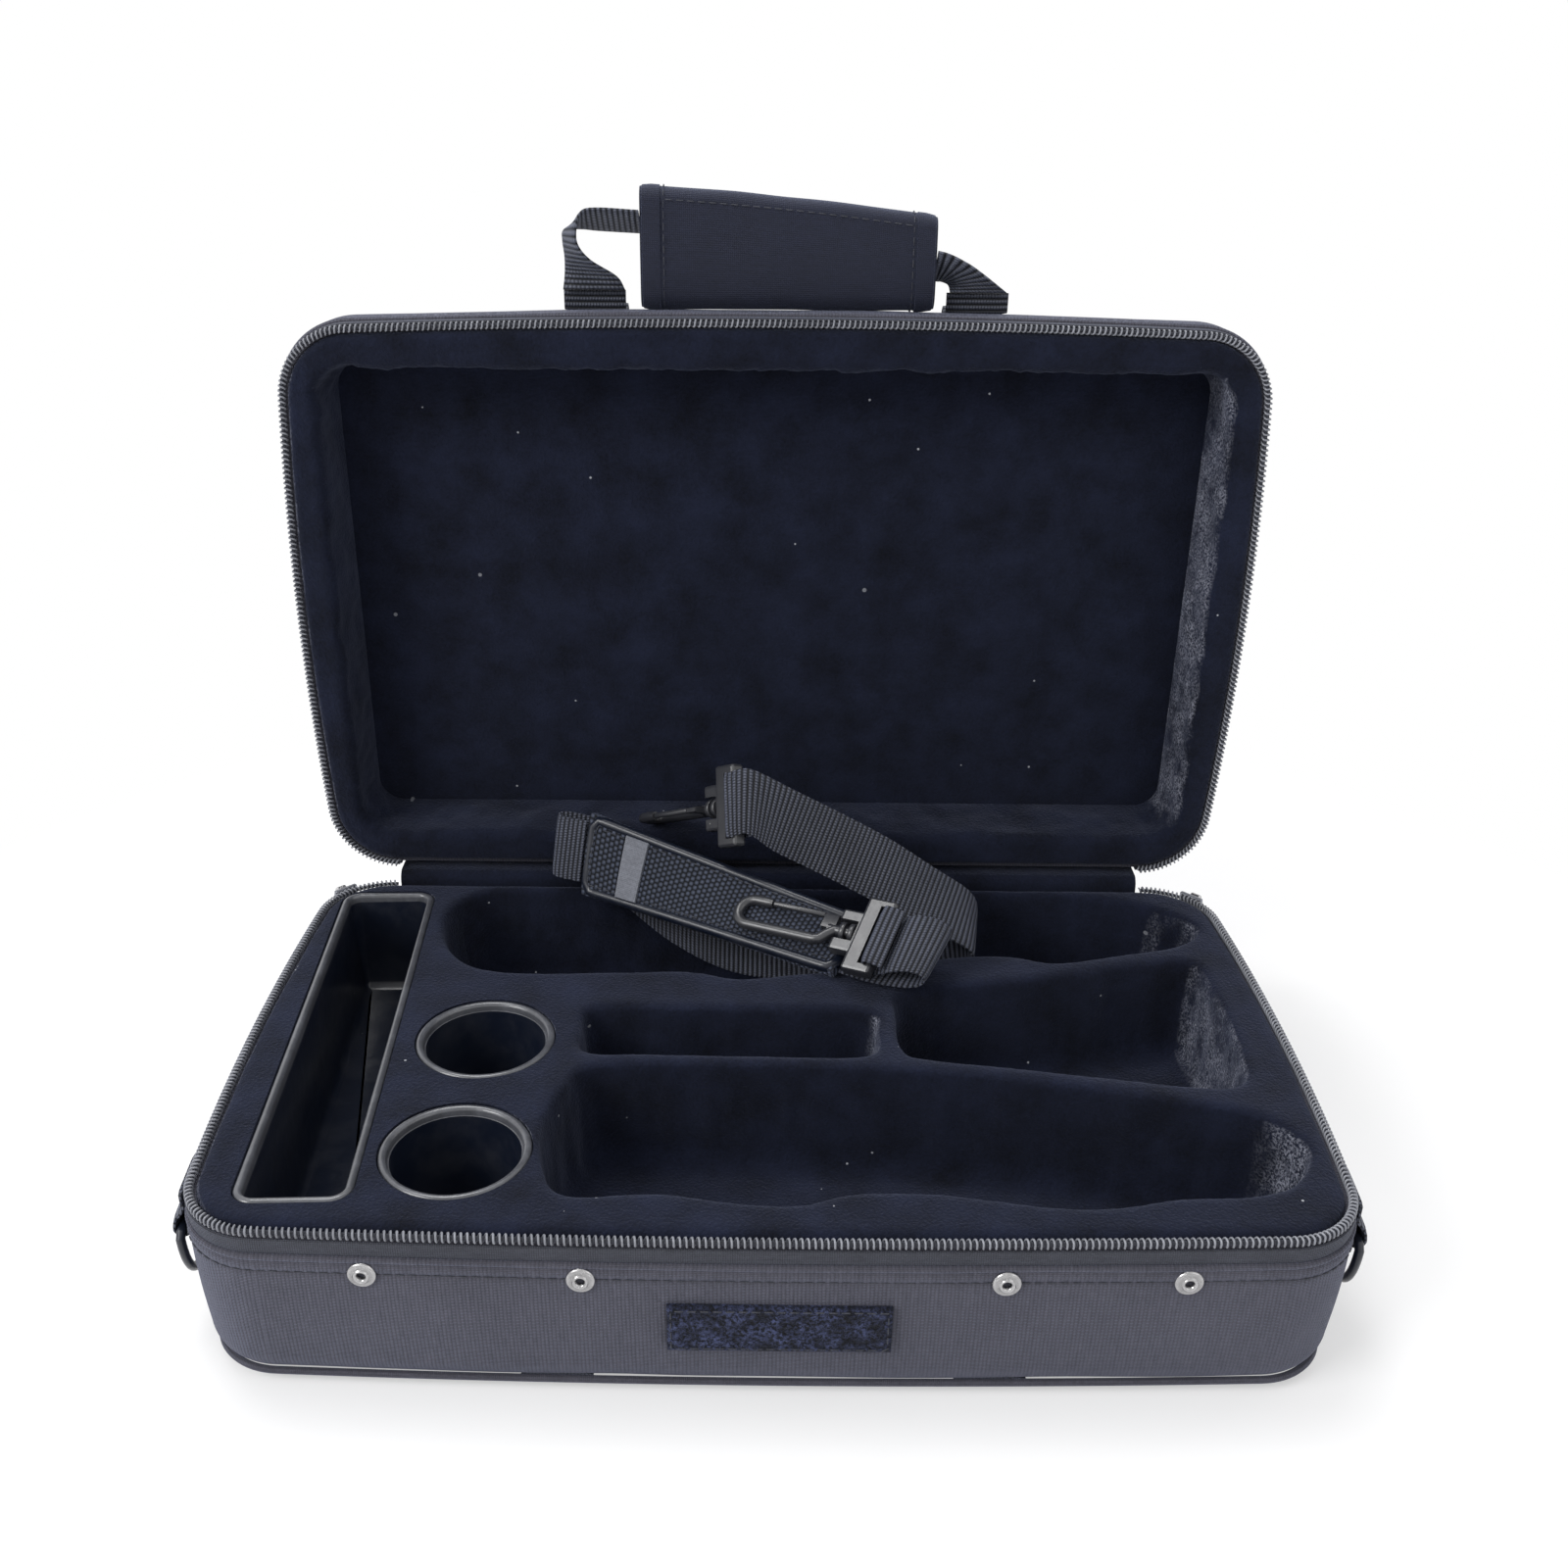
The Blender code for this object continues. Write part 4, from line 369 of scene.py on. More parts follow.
def bow_arc(half_chord, bow, radius):
    swell = (bow ** 2 + half_chord ** 2) / (2 * bow)
    return math.sqrt(swell ** 2 - half_chord ** 2), swell + radius


FRONT_STEPS, CORNER_STEPS, SIDE_STEPS, BACK_STEPS = 56, 18, 32, 36


def rim_outline():
    """The rim in plan with its outward normals, anticlockwise from the front left corner."""
    front_back, front_radius = bow_arc(CORNER_X, FRONT_BOW, CORNER_RADIUS)
    side_half = (BACK_CORNER_Y - FRONT_CORNER_Y) / 2
    side_back, side_radius = bow_arc(side_half, SIDE_BOW, CORNER_RADIUS)
    middle = (BACK_CORNER_Y + FRONT_CORNER_Y) / 2
    front_lean = math.atan2(CORNER_X, front_back)
    side_lean = math.atan2(side_half, side_back)
    back = np.array([(CORNER_X - 2 * CORNER_X * k / BACK_STEPS, CASE_DEPTH, 0, 1) for k in range(BACK_STEPS)])
    return np.vstack([
        arc((0, FRONT_CORNER_Y + front_back), front_radius, -QUARTER - front_lean, -QUARTER + front_lean, FRONT_STEPS),
        arc((CORNER_X, FRONT_CORNER_Y), CORNER_RADIUS, -QUARTER + front_lean, -side_lean, CORNER_STEPS),
        arc((CORNER_X - side_back, middle), side_radius, -side_lean, side_lean, SIDE_STEPS),
        arc((CORNER_X, BACK_CORNER_Y), CORNER_RADIUS, side_lean, QUARTER, CORNER_STEPS),
        back,
        arc((-CORNER_X, BACK_CORNER_Y), CORNER_RADIUS, QUARTER, 2 * QUARTER - side_lean, CORNER_STEPS),
        arc((-CORNER_X + side_back, middle), side_radius, 2 * QUARTER - side_lean, 2 * QUARTER + side_lean, SIDE_STEPS),
        arc((-CORNER_X, FRONT_CORNER_Y), CORNER_RADIUS, 2 * QUARTER + side_lean, 3 * QUARTER - front_lean,
            CORNER_STEPS)])


def zip_outline():
    """The open run of the rim that carries the zip, from the back left corner round the front."""
    rim = rim_outline()
    end = FRONT_STEPS + 2 * CORNER_STEPS + SIDE_STEPS
    return np.vstack([rim[end + BACK_STEPS:], rim[:end + 1]])


def ring(outline, inset, z):
    """The outline set in by a distance at a height."""
    return np.column_stack([outline[:, :2] - inset * outline[:, 2:], np.full(len(outline), z)])


def wall_inset(height, drop):
    return WALL_DRAFT * (drop - SEAM_DROP) / (height - SEAM_DROP)


def front_wall_y(x):
    back, radius = bow_arc(CORNER_X, FRONT_BOW, CORNER_RADIUS)
    return FRONT_CORNER_Y + back - math.sqrt(radius ** 2 - x ** 2)


def front_wall_turn(x):
    return math.asin(x / bow_arc(CORNER_X, FRONT_BOW, CORNER_RADIUS)[1])


# ---- Finishes

class Web:
    """Adds and joins the nodes of one tree."""

    def __init__(self, tree):
        self.tree = tree

    def put(self, socket, value):
        if isinstance(value, bpy.types.NodeSocket):
            self.tree.links.new(value, socket)
        elif value is not None:
            socket.default_value = value

    def node(self, kind, *values, **settings):
        node = self.tree.nodes.new("ShaderNode" + kind)
        for key, value in settings.items():
            setattr(node, key, value)
        for socket, value in zip(node.inputs, values):
            self.put(socket, value)
        return node

    def math(self, operation, *values):
        return self.node("Math", *values, operation=operation).outputs[0]

    def noise(self, vector, scale, detail=2.0, roughness=0.5):
        return self.node("TexNoise", vector, None, scale, detail, roughness).outputs["Fac"]

    def cells(self, vector, scale, feature="F1"):
        return self.node("TexVoronoi", vector, None, scale, feature=feature)

    def span(self, value, low, high, to_low=0.0, to_high=1.0):
        return self.node("MapRange", value, low, high, to_low, to_high).outputs[0]

    def tint(self, factor, first, second, blend="MIX"):
        mix = self.tree.nodes.new("ShaderNodeMix")
        mix.data_type = "RGBA"
        mix.blend_type = blend
        for socket, value in ((mix.inputs[0], factor), (mix.inputs[6], first), (mix.inputs[7], second)):
            self.put(socket, value)
        return mix.outputs[2]

    def group(self, name, *values):
        node = self.tree.nodes.new("ShaderNodeGroup")
        node.node_tree = EFFECTS[name](name)
        for socket, value in zip(node.inputs, values):
            self.put(socket, value)
        return node.outputs


def effect(inputs, outputs):
    """Makes a shared effect: a shader group with named inputs and outputs."""
    def wrap(fill):
        def make(name):
            group = bpy.data.node_groups.get(name)
            if group:
                return group
            group = bpy.data.node_groups.new(name, "ShaderNodeTree")
            for label, kind, default in inputs:
                socket = group.interface.new_socket(label, in_out="INPUT", socket_type="NodeSocket" + kind)
                if default is not None:
                    socket.default_value = default
            for label in outputs:
                group.interface.new_socket(label, in_out="OUTPUT", socket_type="NodeSocketFloat")
            source = group.nodes.new("NodeGroupInput")
            sink = group.nodes.new("NodeGroupOutput")
            for result, socket in zip(fill(Web(group), *source.outputs[:len(inputs)]), sink.inputs):
                group.links.new(result, socket)
            return group
        return make
    return wrap


@effect((("Vector", "Vector", None), ("Across", "Float", 0.001), ("Along", "Float", 0.001)), ("Height", "Mask"))
def woven_threads(web, vector, across, along):
    """Two sets of threads, each over and under the other."""
    x, y = web.node("SeparateXYZ", vector).outputs[:2]
    u, v = web.math("DIVIDE", x, across), web.math("DIVIDE", y, along)
    ridge_u = web.math("ABSOLUTE", web.math("SINE", web.math("MULTIPLY", u, math.pi)))
    ridge_v = web.math("ABSOLUTE", web.math("SINE", web.math("MULTIPLY", v, math.pi)))
    over = web.math("PINGPONG", web.math("ADD", web.math("FLOOR", u), web.math("FLOOR", v)), 1.0)
    under = web.math("SUBTRACT", 1.0, over)
    top = web.math("ADD", web.math("MULTIPLY", over, ridge_u), web.math("MULTIPLY", under, ridge_v))
    low = web.math("MULTIPLY", ridge_u, ridge_v)
    return web.math("MULTIPLY_ADD", low, 0.6, web.math("MULTIPLY", top, 0.4)), over


@effect((("Vector", "Vector", None), ("Rib", "Float", 0.0016), ("Yarn", "Float", 0.0008)), ("Height", "Mask"))
def ribbed_webbing(web, vector, rib, yarn):
    """Ribs across the width, each a row of yarns shifted by half from the last."""
    x, y = web.node("SeparateXYZ", vector).outputs[:2]
    v = web.math("DIVIDE", y, rib)
    u = web.math("ADD", web.math("DIVIDE", x, yarn), web.math("MULTIPLY", web.math("FLOOR", v), 0.5))
    ridge = web.math("ABSOLUTE", web.math("SINE", web.math("MULTIPLY", v, math.pi)))
    bead = web.math("ABSOLUTE", web.math("SINE", web.math("MULTIPLY", u, math.pi)))
    height = web.math("MULTIPLY", web.math("POWER", ridge, 1.6), web.math("MULTIPLY_ADD", bead, 0.60, 0.40))
    return height, ridge


@effect((("Vector", "Vector", None), ("Size", "Float", 0.001)), ("Height", "Shade"))
def soft_nap(web, vector, size):
    """Short pile that lies in different ways from place to place."""
    scale = web.math("DIVIDE", 1.0, size)
    tufts = web.noise(vector, scale, 3.0, 0.65)
    brushed = web.noise(vector, web.math("MULTIPLY", scale, 0.055), 3.0, 0.6)
    return tufts, web.math("MULTIPLY_ADD", tufts, 0.35, web.math("MULTIPLY", brushed, 0.65))


@effect((("Vector", "Vector", None), ("Spacing", "Float", 0.008), ("Share", "Float", 0.2)), ("Mask",))
def lint(web, vector, spacing, share):
    """Sparse specks of lint and dust."""
    cells = web.cells(vector, web.math("DIVIDE", 1.0, spacing))
    near = web.math("LESS_THAN", cells.outputs["Distance"], 0.050)
    chosen = web.math("LESS_THAN", web.node("SeparateColor", cells.outputs["Color"]).outputs[0], share)
    return (web.math("MULTIPLY", near, chosen),)


@effect((("Vector", "Vector", None), ("Size", "Float", 0.002)), ("Height", "Mask"))
def pebbled_mesh(web, vector, size):
    """Small raised pebbles in rows, with dark gaps between."""
    x, y = web.node("SeparateXYZ", vector).outputs[:2]
    v = web.math("DIVIDE", y, size)
    u = web.math("ADD", web.math("DIVIDE", x, size), web.math("MULTIPLY", web.math("FLOOR", v), 0.5))
    bump_u = web.math("ABSOLUTE", web.math("SINE", web.math("MULTIPLY", u, math.pi)))
    bump_v = web.math("ABSOLUTE", web.math("SINE", web.math("MULTIPLY", v, math.pi)))
    height = web.math("MULTIPLY", bump_u, bump_v)
    return height, web.math("GREATER_THAN", height, 0.25)


@effect((("Vector", "Vector", None), ("Size", "Float", 0.02)), ("Mask", "Scratch"))
def handling_marks(web, vector, size):
    """Uneven dust and fine scratches."""
    scale = web.math("DIVIDE", 1.0, size)
    dust = web.span(web.noise(vector, scale, 6.0, 0.7), 0.45, 0.75)
    long = web.node("Mapping", vector, None, None, (0.05, 1.0, 1.0)).outputs[0]
    return dust, web.span(web.noise(long, web.math("MULTIPLY", scale, 40.0), 1.0), 0.62, 0.72)


EFFECTS = {"woven threads": woven_threads, "ribbed webbing": ribbed_webbing, "soft nap": soft_nap, "lint": lint,
           "pebbled mesh": pebbled_mesh, "handling marks": handling_marks}


def new_finish(name, roughness, metallic=0.0, sheen=0.0, coat=0.0):
    """A material, its nodes, its shader, and both sets of coordinates."""
    material = bpy.data.materials.new(name)
    material.use_nodes = True
    web = Web(material.node_tree)
    shader = material.node_tree.nodes["Principled BSDF"]
    shader.inputs["Roughness"].default_value = roughness
    shader.inputs["Metallic"].default_value = metallic
    shader.inputs["Sheen Weight"].default_value = sheen
    shader.inputs["Sheen Roughness"].default_value = 0.45
    shader.inputs["Sheen Tint"].default_value = (0.55, 0.62, 0.90, 1)
    if sheen:
        shader.inputs["Specular IOR Level"].default_value = 0.25
    shader.inputs["Coat Weight"].default_value = coat
    shader.inputs["Coat Roughness"].default_value = 0.08
    places = web.node("TexCoord")
    return material, web, shader, places.outputs["UV"], places.outputs["Object"]


def shade(web, colour_value, level):
    """The colour made darker or lighter by a level."""
    return web.tint(1.0, colour_value, web.node("CombineColor", level, level, level).outputs[0], "MULTIPLY")


def raise_surface(web, shader, height, distance, strength=1.0):
    bump = web.node("Bump")
    bump.inputs["Strength"].default_value = strength
    bump.inputs["Distance"].default_value = distance
    web.put(bump.inputs["Height"], height)
    web.put(shader.inputs["Normal"], bump.outputs["Normal"])


def cloth_like(name, key, pitch, depth, low, high, roughness=0.85, sheen=0.25, specks=0.12, aspect=1.0):
    """Woven cloth: threads, uneven colour and a little lint."""
    material, web, shader, uv, place = new_finish(name, roughness, sheen=sheen)
    base = tuple(getattr(bpy.context.scene.case_colours, key))
    height, over = web.group("woven threads", uv, pitch, pitch * aspect)
    uneven = web.noise(place, 34.0, 4.0, 0.6)
    slub = web.noise(web.node("Mapping", uv, None, None, (1.0, 0.12, 1.0)).outputs[0], 900.0, 3.0, 0.7)
    fine = web.math("MULTIPLY_ADD", slub, 0.6, web.math("MULTIPLY", web.noise(place, 900.0, 2.0, 0.5), 0.4))
    level = web.math("MULTIPLY", web.span(height, 0.0, 0.8, low, high), web.span(uneven, 0.2, 0.8, 0.86, 1.14))
    level = web.math("MULTIPLY", level, web.span(fine, 0.3, 0.7, 0.70, 1.30))
    speck = web.group("lint", place, 0.011, specks)[0]
    web.put(shader.inputs["Base Color"], web.tint(speck, shade(web, base, level), (0.22, 0.22, 0.23, 1)))
    web.put(shader.inputs["Roughness"], web.span(height, 0.0, 1.0, roughness, roughness - 0.12))
    raise_surface(web, shader, web.math("MULTIPLY_ADD", fine, 0.25, height), depth)
    return material


def outer_cloth():
    weave = bpy.context.scene.case_sizes.weave
    return cloth_like("outer woven cloth", "cloth", weave, 0.00022, 0.70, 1.18, aspect=0.5)


def grip_cloth():
    return cloth_like("grip cloth", "grip", 0.0007, 0.00015, 0.75, 1.15, 0.80, 0.30, 0.05)


def zip_cloth():
    return cloth_like("zip tape", "tape", 0.0007, 0.00018, 0.60, 1.15, 0.80, 0.15, 0.08)


def trim_cloth():
    return cloth_like("trim cloth", "trim", 0.0006, 0.00012, 0.75, 1.2, 0.70, 0.25, 0.06)


def band_cloth():
    return cloth_like("plain band", "band", 0.0007, 0.00010, 0.85, 1.08, 0.65, 0.20, 0.03)


def plush_like(name, base, sheen, specks=0.20, lift=0.0007, pale=(0.230, 0.240, 0.290, 1)):
    """Short plush: tufts, brushed patches, a painted highlight on faces that turn to the left towards the key light,
    sheen and lint.
    """
    sizes = bpy.context.scene.case_sizes
    material, web, shader, uv, place = new_finish(name, 0.95, sheen=sheen)
    height, brushed = web.group("soft nap", place, sizes.tuft)
    level = web.span(brushed, 0.30, 0.70, 0.30, 1.95)
    # Painted highlight: faces that turn to the left, towards the key light, are tinted pale, broken up by noise
    toward = web.node("SeparateXYZ", web.node("NewGeometry").outputs["Normal"]).outputs[0]
    patchy = web.span(web.noise(place, 62.0, 4.0, 0.7), 0.36, 0.62)
    fibre = web.span(web.noise(place, 1100.0, 3.0, 0.7), 0.44, 0.60)
    left_face_painted_highlight = web.math("MULTIPLY", web.span(toward, -0.55, -0.95), web.math("MULTIPLY", patchy, fibre))
    speck = web.group("lint", place, 0.0090, specks)[0]
    thread_speck = web.group("lint", web.node("Mapping", place, None, None, (1.0, 0.35, 1.0)).outputs[0],
                             0.0170, specks)[0]
    both = web.math("MAXIMUM", speck, web.math("MULTIPLY", thread_speck, 0.5))
    # The pale tint is the painted highlight on left-facing walls; the grey specks are lint
    web.put(shader.inputs["Base Color"], web.tint(both, web.tint(left_face_painted_highlight, shade(web, base, level), pale), (0.30, 0.31, 0.34, 1)))
    raise_surface(web, shader, height, lift)
    shader.inputs["Specular IOR Level"].default_value = 0.15
    return material


def lining_plush():
    return plush_like("lining plush", tuple(bpy.context.scene.case_colours.plush), 0.12)


def patch_loops():
    """Hook-and-loop patch: curled loops with dark gaps between."""
    material, web, shader, uv, place = new_finish("patch loops", 0.9, sheen=0.05)
    curl = web.noise(place, 900.0, 3.0, 0.75)
    clump = web.noise(place, 190.0, 3.0, 0.6)
    base = tuple(bpy.context.scene.case_colours.grip)
    level = web.math("MULTIPLY", web.span(curl, 0.42, 0.62, 0.15, 4.2), web.span(clump, 0.35, 0.65, 0.25, 1.7))
    web.put(shader.inputs["Base Color"], shade(web, base, level))
    raise_surface(web, shader, web.math("MULTIPLY_ADD", curl, 0.6, clump), 0.0022)
    return material


def webbing_like(name, key, roughness=0.48):
    """Ribbed webbing with a slight shine on the ribs."""
    sizes = bpy.context.scene.case_sizes
    material, web, shader, uv, place = new_finish(name, roughness, sheen=0.15)
    base = tuple(getattr(bpy.context.scene.case_colours, key))
    height, ridge = web.group("ribbed webbing", uv, sizes.rib, sizes.rib * 0.55)
    uneven = web.noise(place, 60.0, 4.0, 0.6)
    level = web.math("MULTIPLY", web.span(height, 0.08, 0.80, 0.08, 2.60), web.span(uneven, 0.2, 0.8, 0.8, 1.2))
    speck = web.group("lint", place, 0.010, 0.10)[0]
    web.put(shader.inputs["Base Color"], web.tint(speck, shade(web, base, level), (0.25, 0.25, 0.26, 1)))
    web.put(shader.inputs["Roughness"], web.span(ridge, 0.0, 1.0, roughness + 0.2, roughness))
    raise_surface(web, shader, height, 0.0009)
    return material


def strap_webbing():
    return webbing_like("strap webbing", "webbing")


def pad_mesh():
    """The shoulder pad's pebbled mesh."""
    material, web, shader, uv, place = new_finish("pad mesh", 0.60, sheen=0.2)
    base = tuple(bpy.context.scene.case_colours.trim)
    height, top = web.group("pebbled mesh", uv, 0.0021)
    uneven = web.noise(place, 80.0, 4.0, 0.6)
    level = web.math("MULTIPLY", web.span(height, 0.1, 0.9, 0.10, 3.4), web.span(uneven, 0.2, 0.8, 0.8, 1.2))
    web.put(shader.inputs["Base Color"], shade(web, base, level))
    web.put(shader.inputs["Roughness"], web.span(height, 0.0, 1.0, 0.85, 0.50))
    raise_surface(web, shader, height, 0.0006)
    return material


def sewing_thread():
    material, web, shader, uv, place = new_finish("sewing thread", 0.60, sheen=0.1)
    twist = web.noise(place, 2600.0, 1.0)
    web.put(shader.inputs["Base Color"],
            shade(web, tuple(bpy.context.scene.case_colours.tape), web.span(twist, 0.3, 0.7, 0.5, 1.5)))
    raise_surface(web, shader, twist, 0.0001)
    return material


def zip_coil():
    """The coil's pale plastic, uneven in tone and darker where grime lies."""
    material, web, shader, uv, place = new_finish("zip coil", 0.42)
    uneven = web.noise(place, 120.0, 3.0, 0.6)
    grime = web.group("handling marks", place, 0.03)[0]
    level = web.math("MULTIPLY", web.span(uneven, 0.2, 0.8, 0.70, 1.30), web.span(grime, 0.0, 1.0, 1.0, 0.7))
    web.put(shader.inputs["Base Color"], shade(web, tuple(bpy.context.scene.case_colours.coil), level))
    web.put(shader.inputs["Roughness"], web.span(uneven, 0.2, 0.8, 0.34, 0.52))
    return material


def plastic_like(name, key, low, high, level):
    """Black plastic with dust and fine scratches."""
    material, web, shader, uv, place = new_finish(name, 0.3, coat=0.15)
    dust, scratch = web.group("handling marks", place, 0.016)
    shader.inputs["Specular IOR Level"].default_value = level
    speck = web.group("lint", place, 0.0060, 0.10)[0]
    base = tuple(getattr(bpy.context.scene.case_colours, key))
    dusty = web.tint(web.math("MULTIPLY", dust, 0.16), base, (0.08, 0.08, 0.085, 1))
    web.put(shader.inputs["Base Color"], web.tint(speck, dusty, (0.30, 0.30, 0.30, 1)))
    rough = web.math("ADD", web.span(dust, 0.0, 1.0, low, high), web.math("MULTIPLY", scratch, 0.12))
    web.put(shader.inputs["Roughness"], rough)
    raise_surface(web, shader, web.noise(place, 160.0, 2.0), 0.00012)
    return material


def gloss_plastic():
    return plastic_like("glossy plastic", "plastic", 0.28, 0.42, 0.35)


def hook_plastic():
    return plastic_like("hook plastic", "hook", 0.30, 0.40, 0.6)


def rim_painted_highlight_plastic():
    """The bead round the tray and the cups: a paler plastic as a painted highlight, with dust and fine scratches."""
    material, web, shader, uv, place = new_finish("rim plastic", 0.36, coat=0.4)
    dust, scratch = web.group("handling marks", place, 0.010)
    # Pale grey base colour, far paler than the plastic: a painted highlight on the bead
    base = (0.070, 0.073, 0.084, 1)
    level = web.math("ADD", web.span(dust, 0.0, 1.0, 0.8, 1.4), web.math("MULTIPLY", scratch, 0.4))
    web.put(shader.inputs["Base Color"], shade(web, base, level))
    web.put(shader.inputs["Roughness"], web.span(dust, 0.0, 1.0, 0.30, 0.45))
    raise_surface(web, shader, web.noise(place, 400.0, 2.0), 0.00008)
    return material


def metal_like(name, base, low, high):
    material, web, shader, uv, place = new_finish(name, 0.3, metallic=1.0)
    dust, scratch = web.group("handling marks", place, 0.004)
    worn = web.node("NewGeometry").outputs["Pointiness"]
    edge = web.span(worn, 0.50, 0.60, 0.75, 1.15)
    level = web.math("MULTIPLY", edge, web.span(dust, 0.0, 1.0, 1.0, 0.75))
    web.put(shader.inputs["Base Color"], shade(web, base, level))
    web.put(shader.inputs["Roughness"], web.math("ADD", web.span(dust, 0.0, 1.0, low, high),
                                                 web.math("MULTIPLY", scratch, 0.1)))
    raise_surface(web, shader, scratch, 0.00003)
    return material


def bright_nickel():
    return metal_like("bright nickel", tuple(bpy.context.scene.case_colours.nickel), 0.16, 0.36)


def dark_metal():
    return metal_like("dark slider metal", tuple(bpy.context.scene.case_colours.coil), 0.30, 0.50)


MAKERS = {"cloth": outer_cloth, "grip": grip_cloth, "tape": zip_cloth, "trim": trim_cloth, "band": band_cloth,
          "plush": lining_plush, "patch": patch_loops, "webbing": strap_webbing, "pad": pad_mesh,
          "thread": sewing_thread, "coil": zip_coil, "plastic": gloss_plastic, "hook": hook_plastic, "rim": rim_painted_highlight_plastic, "nickel": bright_nickel,
          "slider": dark_metal}
MADE = {}


def finish_of(key):
    """The finish, made when it is first wanted."""
    if key not in MADE:
        MADE[key] = MAKERS[key]()
    return MADE[key]



# ---- Zip, shells and hinge

def soften(rings, amount, scale, seed):
    """Pushes points a little, as soft goods are never quite even."""
    flat = rings.reshape(-1, 3)
    shift = np.array([noise.noise_vector(Vector(point * scale) + Vector((seed, 0, 0))) for point in flat])
    return rings + amount * shift.reshape(rings.shape)


def shell_rows(height):
    """Inset and drop of a shell's surface, from the inner floor over the rim to the outer flat."""
    start = height - EDGE_FILLET
    lean = wall_inset(height, start)
    inner = EDGE_FILLET - SHELL_WALL
    rows = []
    for angle in np.linspace(QUARTER, 0, 7):
        rows.append((SHELL_WALL + lean + inner * (1 - math.cos(angle)), start + inner * math.sin(angle)))
    lip = TAPE_INSET + TAPE_THICKNESS + FIT_GAP
    rim = TEETH_HEIGHT + FIT_GAP + PARTING_GAP
    rows += [(SHELL_WALL, SEAM_DROP), (SHELL_WALL, rim + 0.0004), (SHELL_WALL - 0.0004, rim), (lip + 0.0004, rim),
             (lip, rim + 0.0004), (lip, SEAM_DROP - 0.0004), (lip - 0.0005, SEAM_DROP - 0.0001)]
    for angle in np.linspace(0, QUARTER, 5):
        rows.append((0.0010 * (1 - math.sin(angle)), SEAM_DROP + 0.0010 * (1 - math.cos(angle))))
    for drop, sink in ((0.0106, 0), (0.0112, 0.00035), (0.0118, 0), (0.0132, -0.0002), (0.0144, 0), (0.0150, 0.0003),
                       (0.0156, 0)):
        rows.append((wall_inset(height, drop) + sink, drop))
    for share in np.linspace(0.05, 1, 14):
        drop = 0.0156 + (start - 0.0156) * share
        rows.append((wall_inset(height, drop) - 0.0005 * math.sin(math.pi * share), drop))
    for angle in np.linspace(0, QUARTER, 12)[1:]:
        rows.append((lean + EDGE_FILLET * (1 - math.cos(angle)), start + EDGE_FILLET * math.sin(angle)))
    return rows


def build_shell(name, height, side, body, place, node):
    outline = rim_outline()
    rings = np.array([ring(outline, inset, side * drop) for inset, drop in shell_rows(height)])
    outer = slice(18, len(rings) - 1)
    rings[outer] = soften(rings[outer], 0.00045, 22.0, side)
    dress(name, skin(name, rings), "cloth", body, place, (node,))
    run = zip_outline()
    points = ring(run, wall_inset(height, RIVET_DROP) - 0.0001, side * RIVET_DROP)
    out = np.column_stack([run[:, 2:], np.zeros(len(run))])
    dress(f"{name}_stitches", stitch_row("stitches", points, out), "thread", body, place)


def build_piping(name, height, side, body, place, node):
    start = height - EDGE_FILLET
    reach = (EDGE_FILLET + FIT_GAP + PIPING_RADIUS) * math.sqrt(0.5)
    path = ring(rim_outline(), wall_inset(height, start) + EDGE_FILLET - reach, side * (start + reach))
    dress(name, sweep(name, path, PIPING_RADIUS, 10, closed=True), "cloth", body, place, (node,))


def build_zip_half(side, body, place, prefix):
    """One tape with its continuous coil."""
    run = zip_outline()
    section = [(0.0010, SEAM_DROP - 0.0003), (0.00082, 0.0070), (0.00082, 0.0050), (0.0009, 0.0040), (0.0014, 0.0038),
               (0.0018, 0.0040), (0.00184, 0.0060), (0.0018, SEAM_DROP - 0.0003)]
    stations = np.stack([ring(run, inset, side * drop) for inset, drop in section], 1)
    dress(f"{prefix}_zip_tape", skin("tape", stations), "tape", body, place, (f"{prefix}_zipper_tape",))
    sizes = bpy.context.scene.case_sizes
    flat = np.column_stack([run[:, :2], np.zeros(len(run))])
    reach = np.concatenate([[0], np.cumsum(np.linalg.norm(np.diff(flat, axis=0), axis=1))])
    turns = int(reach[-1] / sizes.coil_pitch)
    steps = 14
    where = np.linspace(0.0005, reach[-1] - 0.0005, turns * steps)
    phase = 2 * math.pi * turns * where / reach[-1]
    # Each outer leg stands square to the tape, and the inner one makes up the pitch
    where = where - sizes.coil_pitch / (2 * math.pi) * np.sin(phase)
    point = np.stack([np.interp(where, reach, flat[:, k]) for k in range(3)], 1)
    out = unit(np.stack([np.interp(where, reach, run[:, 2]), np.interp(where, reach, run[:, 3]),
                         np.zeros(len(where))], 1))
    wire = sizes.coil_wire
    across = 0.5 * TEETH_WIDTH - wire
    tall = 0.5 * (TEETH_HEIGHT - PARTING_GAP) - wire
    # The turns are squarish: flat on the outer face and pinched at the heads
    wave_x, wave_z = np.cos(phase), np.sin(phase)
    push_x = across * np.sign(wave_x) * np.abs(wave_x) ** 0.6
    push_z = tall * np.sign(wave_z) * np.abs(wave_z) ** 0.8
    middle_z = (TEETH_HEIGHT + PARTING_GAP) / 2
    path = point - out * (TAPE_INSET + TEETH_WIDTH / 2 - push_x)[:, None]
    path[:, 2] = side * (middle_z + push_z)
    mesh = sweep("coil", path, wire, 6, side_hint=np.tile((0.0, 0.0, 1.0), (len(path), 1)) + out)
    dress(f"{prefix}_zip_coil", mesh, "coil", body, place, (f"{prefix}_zipper_teeth",))
    cord = point[::4] - out[::4] * (TAPE_INSET + TEETH_WIDTH / 2)
    cord[:, 2] = side * middle_z
    dress(f"{prefix}_coil_cord", sweep("cord", cord, 0.0007, 8), "tape", body, place)


